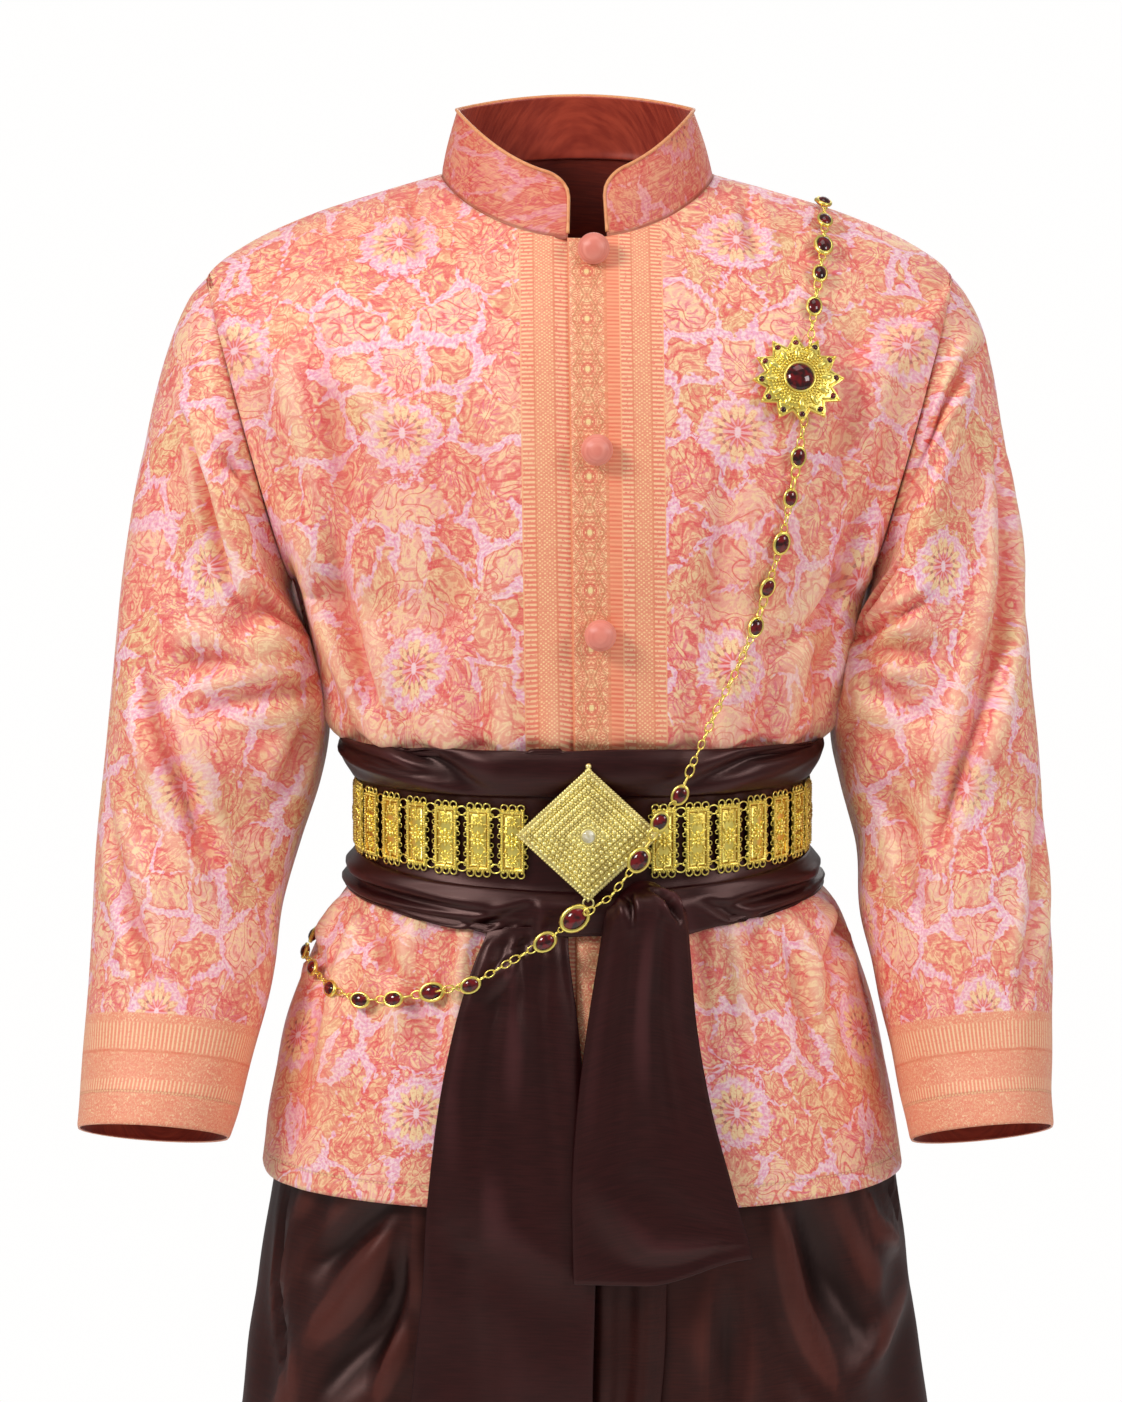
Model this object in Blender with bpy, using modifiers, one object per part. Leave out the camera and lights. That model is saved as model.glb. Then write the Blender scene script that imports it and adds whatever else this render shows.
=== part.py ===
"""Men's chut thai outfit set: brocade jacket, satin sash, gold belt, shoulder chain and chong kraben.

Metres, +Z up. The front faces -Y and +X is the wearer's left. The origin lies level with the
side of the neck, where the wearer's shoulders carry the jacket.
"""

import math

import bmesh
import bpy
import numpy as np
from mathutils import Vector

OUTFIT = "chut_thai_set"

# Walls and gaps
CLOTH = 0.0015
SATIN = 0.0020
SEAM = 0.0003
ARM_SEAM = 0.0012
COLLAR_SEAM = 0.0012

# Jacket
LAP_EDGE = -0.0078
UNDERLAP_EDGE = 0.020
UNDERLAP_DROP = 0.0022
UNDERLAP_STEP = 0.008
UNDERLAP_CLEAR = 0.001
UNDERLAP_SHARES = ((0, 10 / 12), (10 / 12, 11 / 12), (11 / 12, 1))
NECK_OPEN_RIGHT = -0.0075
NECK_OPEN_LEFT = 0.0165
ARMHOLE_TOP = (0.2295, -0.061)
ARMHOLE_BOTTOM = (0.1790, -0.250)
ARMHOLE_HALF_DEPTH = 0.066
ARMHOLE_TILT = math.atan2(ARMHOLE_TOP[0] - ARMHOLE_BOTTOM[0], ARMHOLE_TOP[1] - ARMHOLE_BOTTOM[1])
ARM_SEAM_SHARE = 0.15
COLLAR_CORNER = 0.013
BUTTON_RADIUS = 0.0100
BUTTON_FLAT = 0.68

# Torso sections, neck to hem. arm is the angle round the armhole in degrees, or None
# where the section closes at the shoulder seam or the side seam.
TORSO_COLUMNS = ("right", "left", "front", "back", "z_front", "z_side", "z_back", "arm", "full")
TORSO = {
    "neck": (0.0850, 0.0825, 0.082, 0.058, -0.0355, 0.0000, 0.0100, None, 2.0),
    "yoke_upper": (0.1220, 0.1200, 0.098, 0.076, -0.0620, -0.0100, -0.0120, None, 2.0),
    "yoke_middle": (0.1640, 0.1630, 0.109, 0.092, -0.0880, -0.0235, -0.0360, None, 2.0),
    "yoke_lower": (0.2030, 0.2030, 0.116, 0.103, -0.1120, -0.0410, -0.0620, None, 2.0),
    "shoulder": (0.2295, 0.2295, 0.120, 0.110, -0.1330, -0.0610, -0.0870, 0, 2.0),
    "arm_upper": (0.2320, 0.2320, 0.123, 0.116, -0.1560, -0.0850, -0.1180, 48, 2.0),
    "arm_middle": (0.2250, 0.2250, 0.125, 0.119, -0.1800, -0.1250, -0.1520, 84, 2.0),
    "arm_lower": (0.2100, 0.2100, 0.126, 0.118, -0.2080, -0.1700, -0.1900, 118, 2.0),
    "arm_base": (0.1920, 0.1920, 0.125, 0.115, -0.2320, -0.2150, -0.2250, 150, 2.0),
    "underarm": (0.1790, 0.1790, 0.123, 0.111, -0.2560, -0.2500, -0.2540, 180, 2.0),
    "rib": (0.1700, 0.1705, 0.120, 0.106, -0.2860, -0.2850, -0.2860, None, 2.2),
    "blouse": (0.1605, 0.1615, 0.1165, 0.101, -0.3130, -0.3150, -0.3140, None, 2.3),
    "blouse_low": (0.1545, 0.1570, 0.1140, 0.099, -0.3340, -0.3370, -0.3350, None, 2.3),
    "waist_top": (0.1395, 0.1425, 0.1060, 0.094, -0.3500, -0.3540, -0.3520, None, 2.3),
    "waist": (0.1320, 0.1355, 0.1030, 0.092, -0.3930, -0.3930, -0.3930, None, 2.3),
    "waist_low": (0.1355, 0.1400, 0.1050, 0.095, -0.4360, -0.4280, -0.4300, None, 2.3),
    "flare_top": (0.1540, 0.1620, 0.1095, 0.104, -0.4620, -0.4560, -0.4560, None, 2.3),
    "flare_upper": (0.1690, 0.1740, 0.1150, 0.114, -0.4960, -0.4900, -0.4920, None, 2.3),
    "flare_middle": (0.1840, 0.1870, 0.1200, 0.122, -0.5360, -0.5320, -0.5340, None, 2.3),
    "flare_lower": (0.1940, 0.1970, 0.1230, 0.129, -0.5800, -0.5760, -0.5780, None, 2.3),
    "hem": (0.2005, 0.2035, 0.1250, 0.134, -0.6240, -0.6200, -0.6210, None, 2.3),
}

# Sizes that the folds of sleeves and legs are measured along
SLEEVE_GIRTH = 0.40
SLEEVE_LENGTH = 0.48
LEG_GIRTH = 0.68
LEG_LENGTH = 0.70
# How far the legs hang towards the wearer's left
LEG_LEAN = 0.0035
LEG_WAIST_SHARE = 0.14
LEG_SEAM_SHARE = 0.07
WAIST_ROOM = 0.0010
COLLAR_LENGTH = 0.41
STRIP_SEAT = 0.050

# Soft folds of the jacket's body: a line from one end to the other as x, z and x, z, how
# high it stands (below 0, a trough) and how wide it is.
FRONT_FOLDS = {
    "right_armhole": (-0.205, -0.150, -0.160, -0.330, -0.0050, 0.010),
    "right_chest": (-0.175, -0.190, -0.135, -0.345, 0.0035, 0.014),
    "left_armhole": (0.208, -0.150, 0.165, -0.320, -0.0050, 0.010),
    "left_chest": (0.180, -0.200, 0.140, -0.340, 0.0035, 0.014),
    "right_gather": (-0.085, -0.270, -0.100, -0.350, 0.0030, 0.011),
    "left_gather": (0.095, -0.280, 0.105, -0.350, 0.0030, 0.011),
    "right_skirt_out": (-0.120, -0.450, -0.160, -0.560, 0.0045, 0.013),
    "right_skirt_in": (-0.080, -0.455, -0.095, -0.540, -0.0035, 0.012),
    "left_skirt_out": (0.130, -0.450, 0.165, -0.540, 0.0045, 0.013),
    "left_skirt_in": (0.090, -0.455, 0.100, -0.530, -0.0035, 0.012),
}
BACK_FOLDS = {
    "right_armhole": (-0.205, -0.130, -0.155, -0.330, -0.0050, 0.011),
    "right_blade": (-0.130, -0.210, -0.075, -0.345, 0.0040, 0.014),
    "left_armhole": (0.205, -0.130, 0.155, -0.330, -0.0050, 0.011),
    "left_blade": (0.135, -0.220, 0.070, -0.345, 0.0040, 0.014),
    "middle": (0.005, -0.260, -0.005, -0.350, 0.0030, 0.012),
    "right_skirt": (-0.090, -0.455, -0.120, -0.560, 0.0045, 0.014),
    "middle_skirt": (0.010, -0.455, 0.000, -0.550, -0.0035, 0.013),
    "left_skirt": (0.095, -0.455, 0.125, -0.550, 0.0045, 0.014),
}

# Sleeve sections of the wearer's right arm, armhole to cuff. depth is half the width from
# front to back, lean is how much a section drops for each metre towards the back.
SLEEVE_COLUMNS = ("outer_x", "outer_z", "inner_x", "inner_z", "middle_y", "depth", "lean")
SLEEVE_RIGHT = {
    "armhole": (0.2295, -0.0610, 0.1790, -0.2500, 0.000, 0.0660, 0.00),
    "cap_top": (0.2410, -0.0760, 0.1800, -0.2540, 0.000, 0.0715, 0.00),
    "cap": (0.2520, -0.1000, 0.1785, -0.2640, 0.001, 0.0750, 0.02),
    "cap_low": (0.2615, -0.1300, 0.1735, -0.2800, 0.001, 0.0755, 0.04),
    "upper_arm": (0.2700, -0.1700, 0.1680, -0.3000, 0.000, 0.0740, 0.06),
    "biceps": (0.2770, -0.2150, 0.1630, -0.3230, -0.001, 0.0720, 0.08),
    "above_elbow": (0.2850, -0.2650, 0.1620, -0.3480, -0.003, 0.0700, 0.10),
    "elbow_top": (0.2915, -0.3200, 0.1680, -0.3790, -0.007, 0.0680, 0.14),
    "elbow": (0.2965, -0.3750, 0.1780, -0.4130, -0.013, 0.0660, 0.18),
    "below_elbow": (0.3020, -0.4290, 0.1870, -0.4490, -0.021, 0.0635, 0.22),
    "forearm_top": (0.3045, -0.4740, 0.1915, -0.4860, -0.030, 0.0610, 0.26),
    "forearm": (0.3065, -0.5160, 0.1985, -0.5240, -0.041, 0.0580, 0.29),
    "forearm_low": (0.3085, -0.5560, 0.2075, -0.5630, -0.053, 0.0545, 0.31),
    "cuff": (0.3110, -0.5860, 0.2170, -0.5920, -0.063, 0.0520, 0.32),
}
SLEEVE_LEFT = {
    "armhole": (0.2295, -0.0610, 0.1790, -0.2500, 0.000, 0.0660, 0.00),
    "cap_top": (0.2395, -0.0740, 0.1800, -0.2540, 0.000, 0.0715, 0.00),
    "cap": (0.2500, -0.0970, 0.1785, -0.2640, 0.001, 0.0750, 0.02),
    "cap_low": (0.2575, -0.1300, 0.1740, -0.2800, 0.001, 0.0755, 0.04),
    "upper_arm": (0.2640, -0.1700, 0.1700, -0.3000, 0.000, 0.0740, 0.06),
    "biceps": (0.2700, -0.2150, 0.1655, -0.3230, -0.001, 0.0720, 0.08),
    "above_elbow": (0.2760, -0.2650, 0.1625, -0.3480, -0.003, 0.0700, 0.10),
    "elbow_top": (0.2815, -0.3200, 0.1690, -0.3790, -0.007, 0.0680, 0.14),
    "elbow": (0.2875, -0.3750, 0.1775, -0.4110, -0.013, 0.0660, 0.18),
    "below_elbow": (0.2920, -0.4290, 0.1770, -0.4470, -0.021, 0.0635, 0.22),
    "forearm_top": (0.2932, -0.4740, 0.1840, -0.4840, -0.030, 0.0610, 0.26),
    "forearm": (0.2930, -0.5160, 0.1905, -0.5220, -0.041, 0.0580, 0.29),
    "forearm_low": (0.2928, -0.5560, 0.1990, -0.5610, -0.053, 0.0545, 0.31),
    "cuff": (0.2934, -0.5850, 0.2050, -0.5930, -0.063, 0.0520, 0.32),
}

# How far a sleeve's inner side laps over the body's side, in front and behind, down its length
SLEEVE_LAP = (0.0, 0.001, 0.004, 0.009, 0.0105, 0.0115, 0.0095, 0.006, 0.003, 0.001, 0.0)
SLEEVE_LAP_TURNS = (0.405, 0.595)
SLEEVE_LAP_WIDTH = 0.075
# Folds of a sleeve: where round the sleeve (0 outer, 0.25 front, 0.5 inner, 0.75 back) and
# how far down it (0 armhole, 1 cuff) a fold starts and ends, its height and its width in metres.
SLEEVE_FOLDS = {
    "front_ridge": (0.17, 0.18, 0.28, 0.60, 0.0060, 0.030),
    "front_hollow": (0.26, 0.15, 0.33, 0.50, -0.0060, 0.026),
    "outer_hollow": (0.07, 0.30, 0.13, 0.66, -0.0045, 0.026),
    "elbow_cross": (0.10, 0.58, 0.40, 0.52, -0.0055, 0.018),
    "elbow_ridge": (0.12, 0.64, 0.42, 0.60, 0.0045, 0.020),
    "inner_fall": (0.40, 0.42, 0.33, 0.78, 0.0050, 0.030),
    "forearm_line": (0.22, 0.70, 0.24, 0.95, 0.0030, 0.030),
    "back_ridge": (0.82, 0.20, 0.72, 0.62, 0.0060, 0.032),
    "back_hollow": (0.74, 0.16, 0.67, 0.50, -0.0060, 0.026),
    "back_elbow": (0.90, 0.60, 0.60, 0.55, -0.0050, 0.020),
}

# Standing collar: top edge sections at front, side and back
COLLAR_TOP = {"right": 0.0755, "left": 0.0700, "front": 0.0690, "back": 0.0500}
COLLAR_TOP_Z = {"front": 0.0010, "side": 0.0400, "back": 0.0480}

# Buttons: height on the front edge band
BUTTONS = {"button_1": -0.0450, "button_2": -0.1600, "button_3": -0.2700}
BUTTON_X = {"button_1": 0.0078, "button_2": 0.0098, "button_3": 0.0118}

# Sash wound round the waist: drop is the share of its width below its top edge, out is how
# far it stands off the jacket.
SASH_COLUMNS = ("drop", "out")
SASH = {
    "tucked_top": (0.035, 0.0048),
    "top_edge": (0.000, 0.0060),
    "roll_upper": (0.060, 0.0115),
    "roll_face": (0.150, 0.0125),
    "roll_under": (0.245, 0.0085),
    "belt_top": (0.315, 0.0055),
    "belt_low": (0.722, 0.0055),
    "low_roll_top": (0.770, 0.0085),
    "low_roll": (0.835, 0.0120),
    "low_face": (0.915, 0.0100),
    "bottom_edge": (1.000, 0.0060),
    "tucked_bottom": (0.970, 0.0042),
}
# Folds of the sash: turn and drop of both ends, height and width (in turns)
SASH_FOLDS = {
    "right_fall": (-0.95, 0.02, -0.30, 0.26, 0.0025, 0.05),
    "right_low": (-0.90, 0.86, -0.20, 0.72, 0.0025, 0.05),
    "left_fall": (0.95, 0.02, 0.35, 0.24, 0.0025, 0.05),
    "left_low": (0.90, 0.90, 0.30, 0.72, 0.0025, 0.05),
    "back_right": (-1.85, 0.20, -1.20, 0.04, 0.0025, 0.05),
    "back_left": (1.80, 0.78, 1.20, 0.92, 0.0025, 0.05),
}
# How much thinner the sash lies at the sides
SASH_SIDE_FLAT = 0.15
SASH_TOP_Z = {"front": -0.3420, "side": -0.3470, "back": -0.3450}
SASH_BOTTOM_Z = {"front": -0.4560, "side": -0.4400, "back": -0.4440}

# Hanging ends of the sash, top to bottom: left and right edges, depth in front of the body
TAIL_COLUMNS = ("x_from", "x_to", "z", "y", "cup")
TAIL_UNDER = {
    "gather": (-0.0480, -0.0070, -0.4240, -0.1200, 0.0020),
    "neck": (-0.0590, -0.0060, -0.4640, -0.1210, 0.0030),
    "upper": (-0.0760, -0.0010, -0.5100, -0.1225, 0.0030),
    "middle": (-0.0860, 0.0040, -0.5600, -0.1255, 0.0030),
    "hem_line": (-0.0930, 0.0200, -0.6200, -0.1285, 0.0030),
    "low": (-0.0960, 0.0340, -0.6700, -0.1275, 0.0030),
    "photo_edge": (-0.1010, 0.0380, -0.7400, -0.1265, 0.0030),
    "end": (-0.1040, 0.0420, -0.8050, -0.1260, 0.0030),
}
TAIL_OVER = {
    "gather": (0.0175, 0.0620, -0.4240, -0.1205, 0.0090),
    "neck": (0.0110, 0.0660, -0.4640, -0.1260, 0.0075),
    "upper": (0.0040, 0.0710, -0.5100, -0.1290, 0.0055),
    "middle": (-0.0020, 0.0800, -0.5600, -0.1320, 0.0040),
    "flare": (-0.0050, 0.0920, -0.6050, -0.1345, 0.0035),
    "low": (-0.0045, 0.1010, -0.6430, -0.1350, 0.0035),
    "end": (-0.0035, 0.1050, -0.6620, -0.1350, 0.0035),
}
TAIL_PLEATS = 4
TAIL_PLEAT_HEIGHT = 0.0030
TAIL_PLEAT_SHARE = 0.625

# Belt
BELT_PANELS = 34
PANEL_WIDTH = 0.0165
PANEL_HEIGHT = 0.0400
PANEL_THICK = 0.0030
PANEL_EAR = 0.0040
PANEL_CLEAR = 0.00020
PANEL_SIDE = 0.0010
PANEL_SEAT = 0.0004
BELT_STOPS = 721
BELT_SHARE = 0.50
BELT_MIDDLE_Z = {"front": -0.3990, "side": -0.3955, "back": -0.3960}
BUCKLE_HALF_WIDTH = 0.0430
BUCKLE_HALF_HEIGHT = 0.0400
BUCKLE_CENTRE = (0.0050, -0.3925)
BUCKLE_Y = -0.1190
BUCKLE_GAP = 0.0700
BUCKLE_ROUND = 0.05
BUCKLE_BEVEL = 0.03
BUCKLE_STEPS = 4
BUCKLE_STEP_HEIGHT = 0.0013
BUCKLE_BASE = 0.0030
BUCKLE_LEDGE_RISE = 0.0003

# Shoulder chain (sangwan): its stones from end to end, as x, z and the side that they lie on,
# and for those over the sash and the belt, y.
CHAIN_STONE = 0.0040
CHAIN_LINK = 0.0012
CHAIN_CLEAR = 0.0005
CHAIN_SHOULDER = (
    ("back", 0.1490, -0.0270, None),
    ("front", 0.1490, -0.0200, None),
    ("front", 0.1484, -0.0300, None),
    ("front", 0.1466, -0.0440, None),
    ("front", 0.1438, -0.0600, None),
    ("front", 0.1397, -0.0785, None),
    ("front", 0.1365, -0.0900, None),
)
CHAIN_FRONT = (
    ("front", 0.1318, -0.1455, None),
    ("front", 0.1293, -0.1650, None),
    ("front", 0.1246, -0.1895, None),
    ("front", 0.1194, -0.2165, None),
    ("front", 0.1111, -0.2430, None),
    ("front", 0.1040, -0.2685, None),
    ("front", 0.0933, -0.2935, None),
    ("front", 0.0828, -0.3140, None),
    ("front", 0.0740, -0.3350, -0.1215),
    ("front", 0.0673, -0.3500, -0.1215),
    ("front", 0.0600, -0.3680, -0.1210),
    ("front", 0.0480, -0.3832, -0.1290),
    ("front", 0.0354, -0.4058, -0.1340),
    ("front", 0.0180, -0.4280, -0.1370),
)
CHAIN_WAIST = (
    ("front", 0.0080, -0.4350, -0.1370),
    ("front", -0.0031, -0.4418, -0.1300),
    ("front", -0.0211, -0.4564, -0.1290),
    ("front", -0.0421, -0.4686, -0.1295),
    ("front", -0.0662, -0.4830, -0.1290),
    ("front", -0.0893, -0.4930, None),
    ("front", -0.1120, -0.4985, None),
    ("front", -0.1328, -0.5005, None),
    ("front", -0.1500, -0.4975, None),
    ("front", -0.1620, -0.4900, None),
)
CHAIN_BACK = (
    ("back", -0.1640, -0.4800, None),
    ("back", -0.1470, -0.4720, None),
    ("back", -0.1210, -0.4600, None),
    ("back", -0.0940, -0.4400, 0.1080),
    ("back", -0.0700, -0.4150, 0.1190),
    ("back", -0.0480, -0.3900, 0.1220),
    ("back", -0.0260, -0.3640, 0.1190),
    ("back", -0.0060, -0.3380, 0.1140),
    ("back", 0.0120, -0.3120, None),
    ("back", 0.0300, -0.2840, None),
    ("back", 0.0470, -0.2560, None),
    ("back", 0.0630, -0.2280, None),
    ("back", 0.0790, -0.2000, None),
    ("back", 0.0930, -0.1720, None),
    ("back", 0.1060, -0.1440, None),
    ("back", 0.1180, -0.1170, None),
    ("back", 0.1290, -0.0910, None),
    ("back", 0.1390, -0.0660, None),
    ("back", 0.1460, -0.0440, None),
)
BROOCH_PLACE = (0.1336, -0.1185)
BROOCH_RADIUS = 0.0240
BROOCH_VALLEY = 0.0180
BROOCH_POINTS = 12
# Its rings, back to front, as a share of its radius and a height
BROOCH_RINGS = ((1.0, 0.0), (1.0, 0.0030), (0.5, 0.0068), (0.22, 0.0085))

# Chong kraben: leg sections from the waist to below the knee, for the wearer's left leg.
# middle is how far from the centre line a section's own centre lies, half its half width.
LEG_COLUMNS = ("middle", "half", "front", "back", "y", "z_front", "z_side", "z_back")
LEG = {
    "waist": (0.0000, 0.1340, 0.0985, 0.0875, 0.0000, -0.4000, -0.4000, -0.4000),
    "band_low": (0.0000, 0.1350, 0.0990, 0.0885, 0.0000, -0.4360, -0.4320, -0.4340),
    "hip_top": (0.0060, 0.1520, 0.1030, 0.1020, 0.0000, -0.4860, -0.4820, -0.4840),
    "hip": (0.0160, 0.1610, 0.1080, 0.1110, 0.0010, -0.5400, -0.5360, -0.5380),
    "seat": (0.0300, 0.1600, 0.1110, 0.1160, 0.0020, -0.5920, -0.5880, -0.5920),
    "seat_low": (0.0440, 0.1545, 0.1120, 0.1180, 0.0040, -0.6400, -0.6360, -0.6420),
    "thigh_top": (0.0590, 0.1480, 0.1130, 0.1190, 0.0060, -0.6900, -0.6860, -0.6940),
    "thigh_upper": (0.0740, 0.1400, 0.1150, 0.1200, 0.0060, -0.7400, -0.7360, -0.7460),
    "thigh": (0.0880, 0.1330, 0.1160, 0.1200, 0.0060, -0.7900, -0.7860, -0.7980),
    "thigh_low": (0.1000, 0.1260, 0.1160, 0.1190, 0.0060, -0.8360, -0.8340, -0.8460),
    "crotch": (0.1100, 0.1190, 0.1150, 0.1170, 0.0060, -0.8840, -0.8820, -0.8900),
    "under_crotch": (0.1170, 0.1130, 0.1130, 0.1150, 0.0050, -0.9340, -0.9320, -0.9380),
    "knee": (0.1210, 0.1080, 0.1090, 0.1110, 0.0030, -0.9900, -0.9880, -0.9920),
    "calf_top": (0.1220, 0.1010, 0.1030, 0.1040, 0.0020, -1.0460, -1.0440, -1.0460),
    "hem": (0.1210, 0.0930, 0.0960, 0.0970, 0.0040, -1.0980, -1.0960, -1.0980),
}
# Swags of a leg: where round it (0 centre front, 0.5 outer side, 1 centre back) and how far
# down it (0 waist, 1 hem) a fold starts and ends, its height and its width in metres.
LEG_FOLDS = {
    "front_swag_1": (0.36, 0.30, 0.13, 0.62, 0.0095, 0.020),
    "front_swag_2": (0.40, 0.34, 0.15, 0.74, -0.0090, 0.022),
    "front_swag_3": (0.44, 0.38, 0.19, 0.86, 0.0095, 0.022),
    "front_swag_4": (0.47, 0.44, 0.26, 0.96, -0.0090, 0.022),
    "front_swag_5": (0.26, 0.28, 0.11, 0.48, -0.0080, 0.018),
    "side_hang": (0.54, 0.32, 0.44, 0.92, 0.0080, 0.024),
    "side_hollow": (0.59, 0.36, 0.54, 0.94, -0.0080, 0.024),
    "back_swag_1": (0.66, 0.30, 0.86, 0.62, 0.0095, 0.022),
    "back_swag_2": (0.62, 0.36, 0.84, 0.76, -0.0090, 0.022),
    "back_swag_3": (0.60, 0.44, 0.78, 0.90, 0.0090, 0.022),
}
WAISTBAND_HEIGHT = 0.0300
PLEAT_STRIP = ("x_from", "x_to", "z", "out", "pleat")
FRONT_PLEATS = {
    "top": (-0.0210, 0.0490, -0.4800, 0.0026, 0.0020),
    "upper": (-0.0215, 0.0500, -0.5200, 0.0026, 0.0024),
    "hip": (-0.0220, 0.0510, -0.5700, 0.0030, 0.0030),
    "hem_line": (-0.0230, 0.0530, -0.6400, 0.0040, 0.0050),
    "middle": (-0.0230, 0.0520, -0.7200, 0.0050, 0.0060),
    "low": (-0.0210, 0.0440, -0.7900, 0.0050, 0.0060),
    "end": (-0.0190, 0.0340, -0.8600, 0.0045, 0.0050),
}
BACK_TAIL = {
    "top": (-0.0300, 0.0300, -0.4800, 0.0026, 0.0020),
    "upper": (-0.0300, 0.0300, -0.5200, 0.0026, 0.0022),
    "hip": (-0.0290, 0.0290, -0.5700, 0.0026, 0.0025),
    "hem_line": (-0.0280, 0.0280, -0.6400, 0.0026, 0.0040),
    "middle": (-0.0270, 0.0270, -0.7200, 0.0050, 0.0060),
    "low": (-0.0230, 0.0230, -0.7900, 0.0050, 0.0060),
    "end": (-0.0190, 0.0190, -0.8640, 0.0045, 0.0050),
}
PLEATS = 5

# Upright lines inside the left sleeve and the left leg, which their walls face away from
ARM_AXIS = (0.232, -0.010)
LEG_AXIS = 0.100
WELD = 2e-5

# Grid counts, round by along
FRONT_GRID = (12, 20)
BACK_GRID = (16, 20)
SLEEVE_GRID = (16, 16)
COLLAR_GRID = (40, 2)
SASH_GRID = (32, 11)
TAIL_GRID = (12, 8)
LEG_GRID = (20, 16)
BAND_GRID = (28, 1)
STRIP_GRID = (15, 7)

COLOURS = {
    "brocade": ((0.78, 0.30, 0.22, 1), 0.42, 0.0),
    "button_cloth": ((0.70, 0.26, 0.20, 1), 0.60, 0.0),
    "satin": ((0.045, 0.020, 0.020, 1), 0.33, 0.0),
    "kraben_cloth": ((0.075, 0.025, 0.018, 1), 0.45, 0.0),
    "gold": ((0.90, 0.62, 0.16, 1), 0.28, 1.0),
    "pale_gold": ((0.92, 0.78, 0.42, 1), 0.26, 1.0),
}


def clear_scene():
    for thing in list(bpy.data.objects):
        bpy.data.objects.remove(thing, do_unlink=True)


def make_materials():
    made = {}
    for name, (colour, roughness, metallic) in COLOURS.items():
        material = bpy.data.materials.new(name)
        material.use_nodes = True
        shader = material.node_tree.nodes["Principled BSDF"]
        shader.inputs["Base Color"].default_value = colour
        shader.inputs["Roughness"].default_value = roughness
        shader.inputs["Metallic"].default_value = metallic
        made[name] = material
    return made


# ---- tables to smooth curves ----


def column(table, names, name):
    """The values of one named column of a table, top to bottom."""
    place = names.index(name)
    return np.array([float(row[place]) for row in table.values()])


def smooth(values, where):
    """A table column read at a share of its length, 0 to 1, on a smooth curve through it."""
    values = np.asarray(values, float)
    slopes = np.gradient(values)
    steps = np.diff(values)
    for i, step in enumerate(steps):
        if abs(step) < 1e-9:
            slopes[i] = slopes[i + 1] = 0.0
    place = np.clip(np.asarray(where, float), 0, 1) * (len(values) - 1)
    i = np.minimum(place.astype(int), len(values) - 2)
    t = place - i
    return (
        values[i] * (2 * t**3 - 3 * t**2 + 1)
        + slopes[i] * (t**3 - 2 * t**2 + t)
        + values[i + 1] * (3 * t**2 - 2 * t**3)
        + slopes[i + 1] * (t**3 - t**2)
    )


def stack(x, y, z):
    return np.stack(np.broadcast_arrays(x, y, z), axis=-1)


def normals(surface, u, v, step=1e-4):
    """Unit normals of surface(u, v), to the left of u as v runs down the piece."""
    along_u = surface(u + step, v) - surface(u - step, v)
    along_v = surface(u, v + step) - surface(u, v - step)
    cross = np.cross(along_v, along_u)
    return cross / np.maximum(np.linalg.norm(cross, axis=-1, keepdims=True), 1e-12)


def line_folds(first, second, folds):
    """The height of a table of folds at each point of a piece, in two of its coordinates."""
    total = np.zeros(np.shape(first))
    for a0, b0, a1, b1, height, width in folds.values():
        da = a1 - a0
        db = b1 - b0
        length = math.hypot(da, db)
        along = ((first - a0) * da + (second - b0) * db) / length**2
        across = ((first - a0) * db - (second - b0) * da) / length
        ends = np.clip(1 - (2 * along - 1) ** 4, 0, 1)
        total = total + height * ends * np.exp(-((across / width) ** 2))
    return total


# ---- where the surfaces lie ----


def armhole_edge(angle):
    """A point of the armhole, as distance from the centre line, y and z."""
    reach = np.cos(np.radians(angle))
    x = (ARMHOLE_TOP[0] + ARMHOLE_BOTTOM[0]) / 2 + (ARMHOLE_TOP[0] - ARMHOLE_BOTTOM[0]) / 2 * reach
    z = (ARMHOLE_TOP[1] + ARMHOLE_BOTTOM[1]) / 2 + (ARMHOLE_TOP[1] - ARMHOLE_BOTTOM[1]) / 2 * reach
    return x, ARMHOLE_HALF_DEPTH * np.sin(np.radians(angle)), z


def torso_values(down):
    """The torso's sizes at a share of the way from the neck to the hem."""
    values = {n: smooth(column(TORSO, TORSO_COLUMNS, n), down) for n in TORSO_COLUMNS if n != "arm"}
    names = list(TORSO)
    first = names.index("shoulder")
    last = names.index("underarm")
    place = np.asarray(down, float) * (len(names) - 1)
    angles = [TORSO[n][TORSO_COLUMNS.index("arm")] for n in names[first : last + 1]]
    values["arm"] = np.interp(place, range(first, last + 1), angles)
    in_arm = (place > first) & (place < last)
    arm_x, arm_y, arm_z = armhole_edge(values["arm"])
    values["left"] = np.where(in_arm, arm_x, values["left"])
    values["right"] = np.where(in_arm, arm_x, values["right"])
    values["edge_y"] = np.where(in_arm, arm_y, 0.0)
    values["z_side"] = np.where(in_arm, arm_z, values["z_side"])
    arm_full = 1.25 + 0.75 * np.cos(np.radians(values["arm"])) ** 2
    values["full"] = np.where(in_arm, arm_full, values["full"])
    return values


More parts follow.
